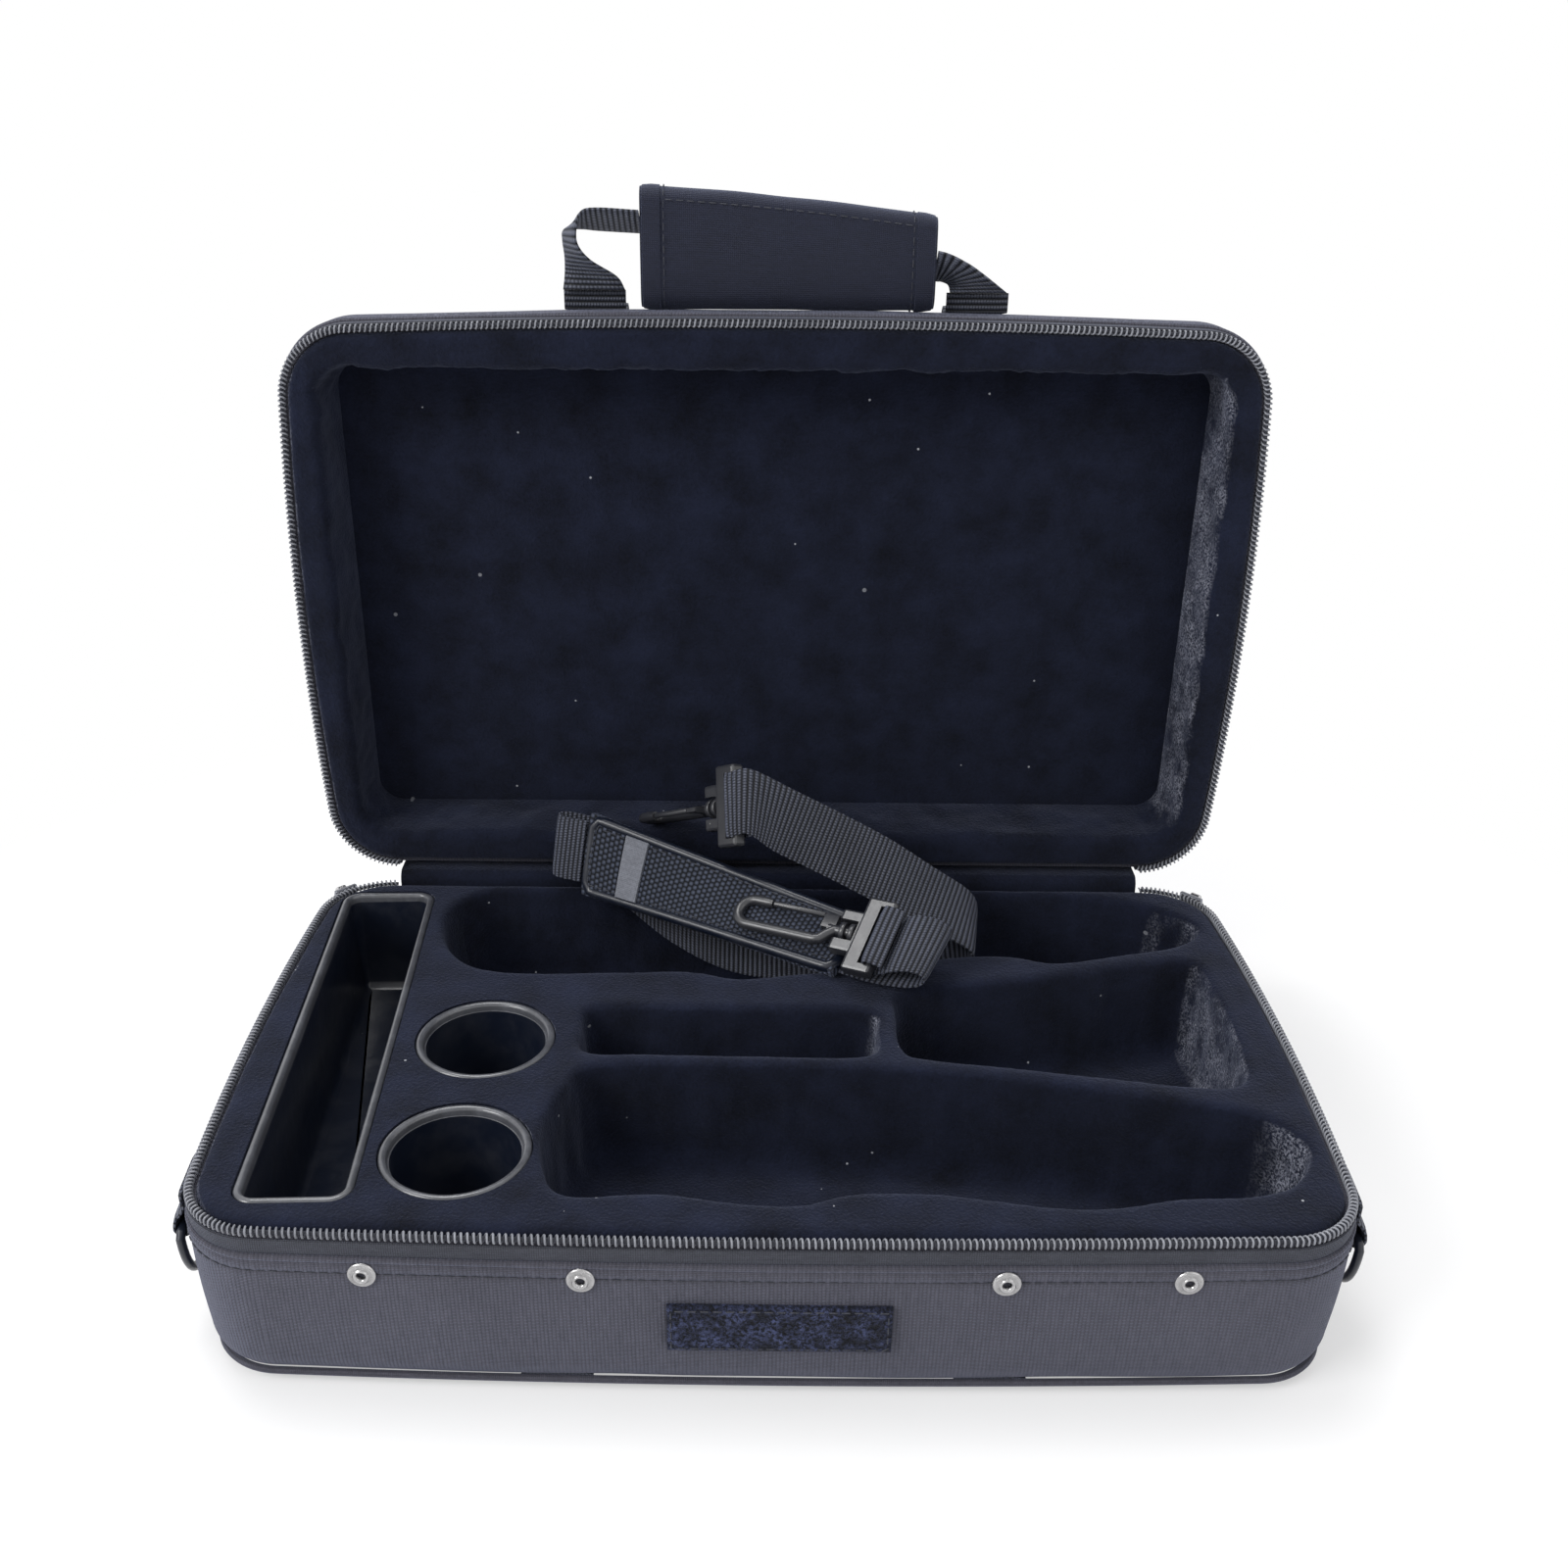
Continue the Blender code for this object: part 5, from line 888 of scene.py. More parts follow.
def build_gusset():
    """The cloth hinge: one strip from the base's back wall to the lid's."""
    lie = CASE_DEPTH + 0.0009
    path = [(lie, -0.0135), (lie, -0.0090), (lie, -0.0050), (lie + 0.0001, -0.0022), (lie + 0.0008, -0.0002),
            (lie + 0.0022, 0.0011), (HINGE_Y + 0.0022, 0.0014), (HINGE_Y + 0.0060, 0.0014), (HINGE_Y + 0.0100, 0.0014),
            (HINGE_Y + 0.0135, 0.0014)]
    half = CORNER_X - FIT_GAP
    path = smooth(path, 4)
    columns = 121
    xs = np.linspace(-half, half, columns)
    reach = np.concatenate([[0], np.cumsum(np.linalg.norm(np.diff(path, axis=0), axis=1))])
    along = unit(np.gradient(path, axis=0))
    normal = np.stack([-along[:, 1], along[:, 0]], 1)
    loose = np.sin(math.pi * reach / reach[-1]) ** 2
    rows = []
    for x in xs:
        pucker = 0.0003 * loose * noise.noise(Vector((x * 90, 3, 1)))
        line = path + normal * pucker[:, None]
        upper = line + normal * 0.0004
        lower = line - normal * 0.0004
        ring_points = np.vstack([upper, lower[::-1]])
        rows.append(np.column_stack([np.full(len(ring_points), x), ring_points]))
    piece = dress("hinge_gusset", skin("gusset", np.array(rows)), "cloth", None, BASE,
                  ("hinge_cloth_base", "hinge_cloth_lid"))
    second_finish(piece, "plush", lambda middle, turn: turn.y < -0.3 or turn.z > 0.3)
    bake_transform(piece)


# ---- Foam, plush and fittings of the base

POCKETS = {
    "front": ((-0.0740, 0.1720), (0.0185, 0.0735), 0.042, (
        (0.00, 0.55), (0.01, 0.25), (0.045, 0.06), (0.16, 0.07), (0.32, 0.00), (0.40, 0.08), (0.50, 0.09),
        (0.58, 0.05), (0.70, 0.00), (0.81, 0.07), (0.91, 0.10), (0.965, 0.18), (1.00, 0.40), (0.96, 0.63),
        (0.86, 0.74), (0.68, 0.88), (0.48, 0.97), (0.25, 1.00), (0.06, 0.98), (0.02, 0.80))),
    "back": ((-0.1290, 0.1700), (0.1485, 0.0660), 0.042, (
        (0.00, 0.60), (0.03, 0.22), (0.09, 0.05), (0.21, 0.05), (0.33, 0.07), (0.395, 0.00), (0.48, 0.06),
        (0.59, 0.13), (0.66, 0.25), (0.74, 0.27), (0.80, 0.20), (0.88, 0.29), (0.97, 0.42), (1.00, 0.62),
        (0.94, 0.88), (0.82, 1.00), (0.55, 1.00), (0.28, 1.00), (0.08, 1.00), (0.02, 0.88))),
    "barrel": ((-0.0670, 0.0380), (0.0980, 0.0295), 0.034, (
        (0.00, 0.50), (0.03, 0.06), (0.25, 0.02), (0.60, 0.00), (0.96, 0.02), (1.00, 0.50), (0.97, 0.96),
        (0.60, 1.00), (0.30, 0.98), (0.03, 0.97))),
    "bell": ((0.0460, 0.1650), (0.0820, 0.0870), 0.042, (
        (0.00, 0.45), (0.01, 0.23), (0.08, 0.17), (0.40, 0.10), (0.78, 0.01), (0.96, 0.02), (1.00, 0.25),
        (1.00, 0.70), (0.97, 0.92), (0.80, 0.90), (0.45, 0.775), (0.05, 0.66))),
}
TRAY_PLACE = Matrix.Translation((-0.1505, 0.1141, 0)) @ Matrix.Rotation(math.radians(2.6), 4, "Z")
TRAY_SIZE = (0.0370, 0.1945)
TRAY_CORNER = 0.0072
TRAY_DEPTH = 0.044
CUP_X = -0.1000
CUP_YS = {"rear": 0.1062, "front": 0.0432}
CUP_RADIUS = 0.0243
CUP_RIM = 0.0034
CUP_DEPTH = 0.042


def with_normals(points):
    along = unit(np.roll(points, -1, 0) - np.roll(points, 1, 0))
    return np.column_stack([points, along[:, 1], -along[:, 0]])


def pocket_space(key):
    """The space of one pocket, with a padded mouth and a rounded floor."""
    (left, right), (front, width), depth, shares = POCKETS[key]
    points = np.array([(left + u * (right - left), front + v * width) for u, v in shares])
    loop = with_normals(smooth(points, 9, closed=True))
    mouth = bpy.context.scene.case_sizes.mouth
    floor = 0.0085
    rows = [(-mouth, 0.006), (-mouth, -0.0001)]
    rows += [(-mouth * (1 - math.sin(a)), -mouth * (1 - math.cos(a))) for a in np.linspace(0, QUARTER, 6)[1:]]
    rows += [(0.0004, -depth * 0.3), (0.0010, -depth * 0.55)]
    rows += [(0.0015 + floor * (1 - math.cos(a)), -depth + floor * (1 - math.sin(a)))
             for a in np.linspace(0, QUARTER, 5)]
    return skin(key, [ring(loop, inset, z) for inset, z in rows])


def holder(name, mesh):
    piece = bpy.data.objects.new(name, mesh)
    bpy.context.scene.collection.objects.link(piece)
    return piece


def applied(piece):
    """The mesh that a piece's modifiers make."""
    bpy.context.view_layer.update()
    graph = bpy.context.evaluated_depsgraph_get()
    return bpy.data.meshes.new_from_object(piece.evaluated_get(graph))


def cut_away(piece, cutters):
    """Cuts spaces out of a piece for good."""
    for cutter in cutters:
        step = piece.modifiers.new(cutter.name, "BOOLEAN")
        step.operation = "DIFFERENCE"
        step.solver = "EXACT"
        step.object = cutter
    mesh = applied(piece)
    piece.modifiers.clear()
    piece.data = mesh
    for cutter in cutters:
        bpy.data.objects.remove(cutter, do_unlink=True)
    return mesh


def rounded_rectangle(width, length, radius, steps=8):
    half_x, half_y = width / 2 - radius, length / 2 - radius
    corners = ((half_x, half_y), (-half_x, half_y), (-half_x, -half_y), (half_x, -half_y))
    points = []
    for turn, (x, y) in enumerate(corners):
        for angle in np.linspace(0, QUARTER, steps + 1) + turn * QUARTER:
            points.append((x + radius * math.cos(angle), y + radius * math.sin(angle), math.cos(angle), math.sin(angle)))
    return np.array(points)


def circle(radius, sides=72):
    angles = 2 * math.pi * np.arange(sides) / sides
    return np.column_stack([radius * np.cos(angles), radius * np.sin(angles), np.cos(angles), np.sin(angles)])


def rim_slot(loop, wide, narrow, step, depth):
    """The stepped space for a tub with a rim."""
    return skin("slot", [ring(loop, inset, z) for inset, z in
                         ((narrow, -depth), (narrow, -step), (wide, -step), (wide, 0.006))])


def build_insert():
    """The plush-covered foam: a block with padded pockets, creased plush and crisp slots."""
    sizes = bpy.context.scene.case_sizes
    outline = rim_outline()
    clear = SHELL_WALL + FIT_GAP
    start = BASE_HEIGHT - EDGE_FILLET
    lean = wall_inset(BASE_HEIGHT, start)
    inner = EDGE_FILLET - SHELL_WALL
    bottom = BASE_HEIGHT - SHELL_WALL - FIT_GAP
    lip = TAPE_INSET + TEETH_WIDTH + 2 * FIT_GAP
    rows = [(clear + lean + inner, -bottom), (clear + lean + inner * 0.3, -bottom + inner * 0.3),
            (clear + lean, -start), (clear, -0.0042), (lip, -0.0042)]
    rows += [(lip + RIM_ROUND * (1 - math.cos(a)), -0.0028 + RIM_ROUND * math.sin(a)) for a in np.linspace(0, QUARTER, 6)]
    foam = holder("foam", skin("foam", [ring(outline, inset, z) for inset, z in rows]))
    cut_away(foam, [holder(key, pocket_space(key)) for key in POCKETS])
    remesh = foam.modifiers.new("even", "REMESH")
    remesh.mode = "VOXEL"
    remesh.voxel_size = sizes.foam_cell
    ease = foam.modifiers.new("ease", "SMOOTH")
    ease.factor = 0.5
    ease.iterations = 3
    foam.data = applied(foam)
    foam.modifiers.clear()
    mesh = foam.data
    count = len(mesh.vertices)
    points, normals = np.zeros(count * 3), np.zeros(count * 3)
    mesh.vertices.foreach_get("co", points)
    mesh.vertices.foreach_get("normal", normals)
    points, normals = points.reshape(-1, 3), normals.reshape(-1, 3)
    inside = points[:, 2] > -0.050
    wall = 1 - np.abs(normals[:, 2])
    below = np.clip(-points[:, 2] / 0.012, 0, 1)
    lift = np.zeros(count)
    for index in np.flatnonzero(inside):
        x, y, z = points[index]
        fold = noise.noise((x * 120, y * 120, z * 26)) + 0.5 * noise.noise((x * 260, y * 260, z * 50 + 7))
        soft = noise.noise((x * 45, y * 45, z * 45 + 3)) + 0.4 * noise.noise((x * 420, y * 420, z * 420))
        lift[index] = sizes.crease * wall[index] * below[index] * fold + 0.00030 * soft
        if abs(x) < CASE_LENGTH / 2 - 0.013 and abs(y - CASE_DEPTH / 2) < CASE_DEPTH / 2 - 0.012:
            hang = max(0, noise.noise((x * 62, y * 62, z * 9 + 40)))
            lift[index] += sizes.drape * wall[index] * below[index] * hang
    edge = np.hypot(*(np.abs(points[:, :2] - (0, CASE_DEPTH / 2)) / (CASE_LENGTH / 2, CASE_DEPTH / 2)).T)
    lift[(points[:, 2] > -0.0006) & (edge > 0.9)] *= 0.5
    lift = np.where(normals[:, 2] > 0.7, np.minimum(lift, 0.0001), lift)
    points = points + normals * lift[:, None]
    mesh.vertices.foreach_set("co", points.ravel())
    slots = []
    tray = holder("tray_slot", rim_slot(rounded_rectangle(*TRAY_SIZE, TRAY_CORNER), -0.0004, 0.0026, 0.0020, 0.0450))
    tray.matrix_world = TRAY_PLACE
    slots.append(tray)
    for key, y in CUP_YS.items():
        hole = holder(f"{key}_slot", rim_slot(circle(CUP_RADIUS), -0.0004, CUP_RIM - 0.0006, 0.0026, 0.0430))
        hole.matrix_world = Matrix.Translation((CUP_X, y, 0))
        slots.append(hole)
    mesh = cut_away(foam, slots)
    bpy.data.objects.remove(foam, do_unlink=True)
    mesh.transform(BASE)
    mesh.name = "foam_insert"
    mesh.shade_smooth()
    mesh.set_sharp_from_angle(angle=math.radians(60))
    mesh.materials.clear()
    mesh.materials.append(finish_of("plush"))
    piece = holder("foam_insert", mesh)
    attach(piece, "base")
    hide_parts("base_insert")


def build_tray():
    loop = rounded_rectangle(*TRAY_SIZE, TRAY_CORNER, 12)
    rows = [(0.0042, -TRAY_DEPTH), (0.0032, -TRAY_DEPTH + 0.0010), (0.0024, -0.0032), (0.0010, -0.0028)]
    rows += [(0.0014 - 0.0014 * math.cos(a), -0.0015 + 0.0014 * math.sin(a)) for a in np.linspace(-0.4, math.pi, 9)]
    rows += [(0.0031, -0.0032), (0.0040, -TRAY_DEPTH * 0.6), (0.0050, -TRAY_DEPTH + 0.0040),
             (0.0060, -TRAY_DEPTH + 0.0024), (0.0080, -TRAY_DEPTH + 0.0015)]
    mesh = skin("tray", [ring(loop, inset, z) for inset, z in rows])
    tray = dress("tray", mesh, "plastic", "base", BASE @ TRAY_PLACE, ("accessory_tray",), 50)
    # The top of the tray's bead gets the paler finish, a painted highlight
    second_finish(tray, "rim", lambda middle, turn: middle.z > ORIGIN.z - 0.0030)


def build_cups():
    bead = 0.0014
    inner = CUP_RADIUS - 2 * bead - 0.0003
    outer = CUP_RADIUS - CUP_RIM
    profile = [(inner - 0.0040, -CUP_DEPTH + 0.0014), (inner - 0.0018, -CUP_DEPTH + 0.0020), (inner - 0.0010, -CUP_DEPTH + 0.0040),
               (inner - 0.0004, -0.0060), (inner, -0.0032)]
    profile += [(CUP_RADIUS - bead - bead * math.cos(a), -0.0016 + bead * math.sin(a)) for a in np.linspace(0, math.pi + 0.6, 11)]
    profile += [(outer, -0.0030), (outer - 0.0010, -CUP_DEPTH + 0.0010), (outer - 0.0020, -CUP_DEPTH)]
    for key, y in CUP_YS.items():
        cup = dress(f"{key}_cup", lathe("cup", profile, 96), "plastic", "base",
                    BASE @ Matrix.Translation((CUP_X, y, 0)), (f"cup_{key}",), 50)
        # The top of the cup's bead gets the paler finish, a painted highlight
        second_finish(cup, "rim", lambda middle, turn: middle.z > ORIGIN.z - 0.0032)


def build_rivets():
    r = RIVET_RADIUS
    profile = [(0.0001, -0.0010), (0.0010, -0.0010), (0.0012, -0.0006), (0.0012, 0.0008), (0.0014, 0.0013), (0.0018, 0.0017),
               (0.0023, 0.0017), (0.0026, 0.0013), (0.0030, 0.0011), (r * 0.80, 0.0012), (r * 0.92, 0.0010),
               (r * 0.99, 0.0006), (r, 0.0003), (r * 0.98, 0.0001), (0.0021, 0.0001), (0.0021, -0.0030), (0.0001, -0.0030)]
    for index, x in enumerate(RIVET_XS):
        place = (Matrix.Translation((x, front_wall_y(x) + wall_inset(BASE_HEIGHT, RIVET_DROP), -RIVET_DROP))
                 @ Matrix.Rotation(front_wall_turn(x), 4, "Z") @ Matrix.Rotation(QUARTER, 4, "X"))
        dress(f"rivet_{index + 1}", lathe("rivet", profile, 40), "nickel", "base", BASE @ place,
              (f"front_rivet_{index + 1}",), 50)


def build_patch():
    """The fuzzy patch: a thin pad whose face stands up in loops."""
    inset = wall_inset(BASE_HEIGHT, 0.0325 - 0.0086)
    face = front_wall_y(0.003) + inset - FIT_GAP - 0.0016
    columns, rows = 137, 36
    xs, zs = np.linspace(-0.034, 0.034, columns), np.linspace(-0.0086, 0.0086, rows)
    grid = np.zeros((rows, columns, 3))
    for i, z in enumerate(zs):
        for j, x in enumerate(xs):
            edge = min(0.034 - abs(x), 0.0086 - abs(z))
            swell = min(edge / 0.0012, 1.0)
            rough = 0.00035 * noise.noise((x * 900, z * 900, 1)) + 0.0003 * noise.noise((x * 240, z * 240, 5))
            grid[i, j] = (x, -swell * (0.0004 + rough), z)
    back = grid[:, ::-1].copy()
    back[:, :, 1] = 0.0015
    stations = np.concatenate([grid, back], 1)
    dress("front_patch", skin("patch", stations), "patch", "base",
          BASE @ Matrix.Translation((0.003, face + 0.0001, -0.0325)), ("hook_loop_patch",))
    border = rounded_rectangle(0.0655, 0.0147, 0.0012, 3)
    border = np.vstack([border, border[:1]])
    points = np.column_stack([border[:, 0], np.full(len(border), -0.0005), border[:, 1]])
    out = np.tile((0.0, -1.0, 0.0), (len(points), 1))
    dress("patch_stitches", stitch_row("stitches", points, out), "thread", "base",
          BASE @ Matrix.Translation((0.003, face, -0.0325)))


# ---- Straps on the shells, rings, sliders

def fillet_crossing(centre, side, height):
    """Points over a shell's long outer fillet and its piping, as Y and distance from the parting plane."""
    start = height - EDGE_FILLET
    hump = FIT_GAP + 2 * PIPING_RADIUS
    crest = math.pi / 4
    half_hump = math.atan2(PIPING_RADIUS + 2 * FIT_GAP, EDGE_FILLET + PIPING_RADIUS)
    crossing = []
    for angle, lift in ((0, 0), (crest - 2 * half_hump, 0), (crest - half_hump, hump), (crest + half_hump, hump),
                        (crest + 2 * half_hump, 0), (2 * crest, 0)):
        radius = EDGE_FILLET + lift
        crossing.append((centre + side * radius * math.sin(angle), start + radius * math.cos(angle)))
    return crossing


def base_strap_path(x):
    lean = wall_inset(BASE_HEIGHT, BASE_HEIGHT - EDGE_FILLET)
    path = list(reversed(fillet_crossing(front_wall_y(x) + lean + EDGE_FILLET, -1, BASE_HEIGHT)[:2]))
    path.extend(fillet_crossing(CASE_DEPTH - lean - EDGE_FILLET, 1, BASE_HEIGHT))
    path.append((CASE_DEPTH - wall_inset(BASE_HEIGHT, STRAP_END_RISE), STRAP_END_RISE))
    return path


def handle_axis_y():
    return front_wall_y(0) + wall_inset(LID_HEIGHT, HANDLE_RISE) - GRIP_THICKNESS / 2 - GRIP_CLEARANCE


def lid_strap_path(x):
    lean = wall_inset(LID_HEIGHT, LID_HEIGHT - EDGE_FILLET)
    turn = HANDLE_RISE + FIT_GAP + WEB_THICKNESS / 2
    path = [(handle_axis_y() + 0.0004, turn),
            (front_wall_y(x) + wall_inset(LID_HEIGHT, turn), turn)]
    path.extend(reversed(fillet_crossing(front_wall_y(x) + lean + EDGE_FILLET, -1, LID_HEIGHT)))
    path.extend(fillet_crossing(CASE_DEPTH - lean - EDGE_FILLET, 1, LID_HEIGHT))
    path.append((CASE_DEPTH - wall_inset(LID_HEIGHT, STRAP_END_RISE), STRAP_END_RISE))
    return path


def offset_path(path, distance):
    """Moves a polyline outward by a distance, with mitred corners."""
    points = np.array(path)
    along = unit(np.diff(points, axis=0))
    normals = np.stack([-along[:, 1], along[:, 0]], 1)
    before, after = np.vstack([normals[:1], normals]), np.vstack([normals, normals[-1:]])
    middle = unit(before + after)
    return points + middle * (distance / np.einsum("ij,ij->i", middle, after))[:, None]


def build_shell_strap(name, x, path, side, body, place, node):
    """Webbing sewn over a shell, with a box of stitches at its end."""
    middle = offset_path(path, FIT_GAP + WEB_THICKNESS / 2)
    dense = []
    for start, end in zip(middle, middle[1:]):
        steps = max(int(np.linalg.norm(end - start) / 0.006), 1)
        dense += [start + (end - start) * k / steps for k in range(steps)]
    dense.append(middle[-1])
    stations = [((x, y, side * drop), (STRAP_WIDTH / 2, 0, 0)) for y, drop in dense]
    dress(name, ribbon(name, stations, WEB_THICKNESS, 8, 2), "webbing", body, place, (node,))
    end, before = np.array(middle[-1]), np.array(middle[-2])
    along = unit(end - before)
    out = np.array((-along[1], along[0]))
    half, tall = STRAP_WIDTH / 2 - 0.0022, 0.014
    corners = [(-half, 0.0020), (half, 0.0020), (half, tall), (-half, tall), (-half, 0.0020), (half, tall),
               (half, 0.0020), (-half, tall)]
    points = []
    for (u0, v0), (u1, v1) in zip(corners, corners[1:]):
        for t in np.linspace(0, 1, 8)[:-1]:
            u, v = u0 + (u1 - u0) * t, v0 + (v1 - v0) * t
            y, drop = end - along * v + out * (WEB_THICKNESS / 2)
            points.append((x + u, y, side * drop))
    normal = np.tile((0.0, out[0], side * out[1]), (len(points), 1))
    dress(f"{name}_stitches", stitch_row("stitches", points, normal), "thread", body, place)


TAB_Y = 0.0420
TAB_WIDTH = 0.0215
TAB_TOP_DROP = 0.0100
RING_DROP = 0.0235
RING_WIRE = 0.0015
RING_HALF_WIDTH = 0.0138
RING_REACH = 0.0215


def side_wall(y):
    half = (BACK_CORNER_Y - FRONT_CORNER_Y) / 2
    back, radius = bow_arc(half, SIDE_BOW, CORNER_RADIUS)
    rise = y - (BACK_CORNER_Y + FRONT_CORNER_Y) / 2
    return CORNER_X - back + math.sqrt(radius ** 2 - rise ** 2), math.asin(rise / radius)


def build_ring_sets():
    wall_x, lean = side_wall(TAB_Y)
    fold = RING_WIRE + FIT_GAP + WEB_THICKNESS
    out = 2 * FIT_GAP + fold
    tail = RING_DROP - TAB_TOP_DROP
    middle = fold - WEB_THICKNESS / 2
    for key, side in (("left", -1), ("right", 1)):
        x = (wall_x - wall_inset(BASE_HEIGHT, TAB_TOP_DROP) + out * math.cos(lean)) * side
        place = BASE @ Matrix.Translation((x, TAB_Y + out * math.sin(lean), -RING_DROP)) @ Matrix.Rotation(side * lean, 4, "Z")
        route = [(-fold + 1.5 * WEB_THICKNESS, tail), (-fold + 1.5 * WEB_THICKNESS, tail * 0.75),
                 (-fold + 1.55 * WEB_THICKNESS, tail * 0.52), (middle * 0.7, tail * 0.26), (middle, 0)]
        route += [(middle * math.cos(a), -middle * math.sin(a)) for a in np.linspace(0, math.pi, 9)[1:]]
        route += [(-middle, tail * 0.3), (-middle, tail * 0.6), (-middle, tail)]
        stations = [((side * u, 0, v), (0, TAB_WIDTH / 2, 0)) for u, v in route]
        dress(f"{key}_ring_tab", ribbon("tab", stations, WEB_THICKNESS * 0.96, 8, 3), "webbing", "base", place,
              (f"ring_tab_{key}",))
        face = -fold + 2 * WEB_THICKNESS
        half = TAB_WIDTH / 2 - 0.0020
        for index, rise in enumerate((tail * 0.62, tail * 0.90)):
            points = [(side * face, y, rise) for y in np.linspace(-half, half, 12)]
            normal = np.tile((float(side), 0.0, 0.0), (len(points), 1))
            dress(f"{key}_tab_stitches_{index + 1}", stitch_row("stitches", points, normal), "thread", "base", place)
        loop = [(0, RING_HALF_WIDTH * s, 0) for s in np.linspace(-0.9, 0.9, 9)]
        loop += [(0, RING_HALF_WIDTH * math.cos(a), -RING_REACH * math.sin(a)) for a in np.linspace(0.07, math.pi - 0.07, 28)]
        dress(f"{key}_ring", sweep("ring", loop, RING_WIRE, 14, closed=True), "plastic", f"ring_{key}", place,
              (f"side_ring_{key}",))


def round_over(node, name, finish, body, width, squash=False):
    """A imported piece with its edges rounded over."""
    source = frame["nodes"][node]
    piece = holder(name, source.data.copy())
    piece.data.transform(source.matrix_world)
    step = piece.modifiers.new("edges", "BEVEL")
    step.width = width
    step.segments = 3
    step.limit_method = "ANGLE"
    step.angle_limit = math.radians(30)
    mesh = applied(piece)
    bpy.data.objects.remove(piece, do_unlink=True)
    if not mesh.uv_layers:
        mesh.uv_layers.new(name="UVMap")
    return dress(name, mesh, finish, body, Matrix(), (node,), 35)


def build_sliders():
    for key in ("left", "right"):
        round_over(f"zipper_slider_{key}", f"{key}_slider", "slider", f"slider_{key}", 0.0002)
        round_over(f"zipper_pull_{key}", f"{key}_pull", "nickel", f"pull_{key}", 0.0002)


# ---- Lid lining and handle

def recess_loop():
    """The lid's recess in plan, point for point with the rim."""
    half_x, front, back, radius = CASE_LENGTH / 2 - 0.0175, 0.0190, CASE_DEPTH - 0.0175, 0.0120
    x, low, high = half_x - radius, front + radius, back - radius

    def straight(start, end, normal, steps):
        share = (np.arange(steps) / steps)[:, None]
        points = np.asarray(start) + (np.asarray(end) - np.asarray(start)) * share
        return np.hstack([points, np.tile(np.array(normal, float), (steps, 1))])

    return np.vstack([
        straight((-x, front), (x, front), (0, -1), FRONT_STEPS), arc((x, low), radius, -QUARTER, 0, CORNER_STEPS),
        straight((half_x, low), (half_x, high), (1, 0), SIDE_STEPS), arc((x, high), radius, 0, QUARTER, CORNER_STEPS),
        straight((x, back), (-x, back), (0, 1), BACK_STEPS), arc((-x, high), radius, QUARTER, 2 * QUARTER, CORNER_STEPS),
        straight((-half_x, high), (-half_x, low), (-1, 0), SIDE_STEPS),
        arc((-x, low), radius, 2 * QUARTER, 3 * QUARTER, CORNER_STEPS)])


RECESS_DEPTH = 0.028


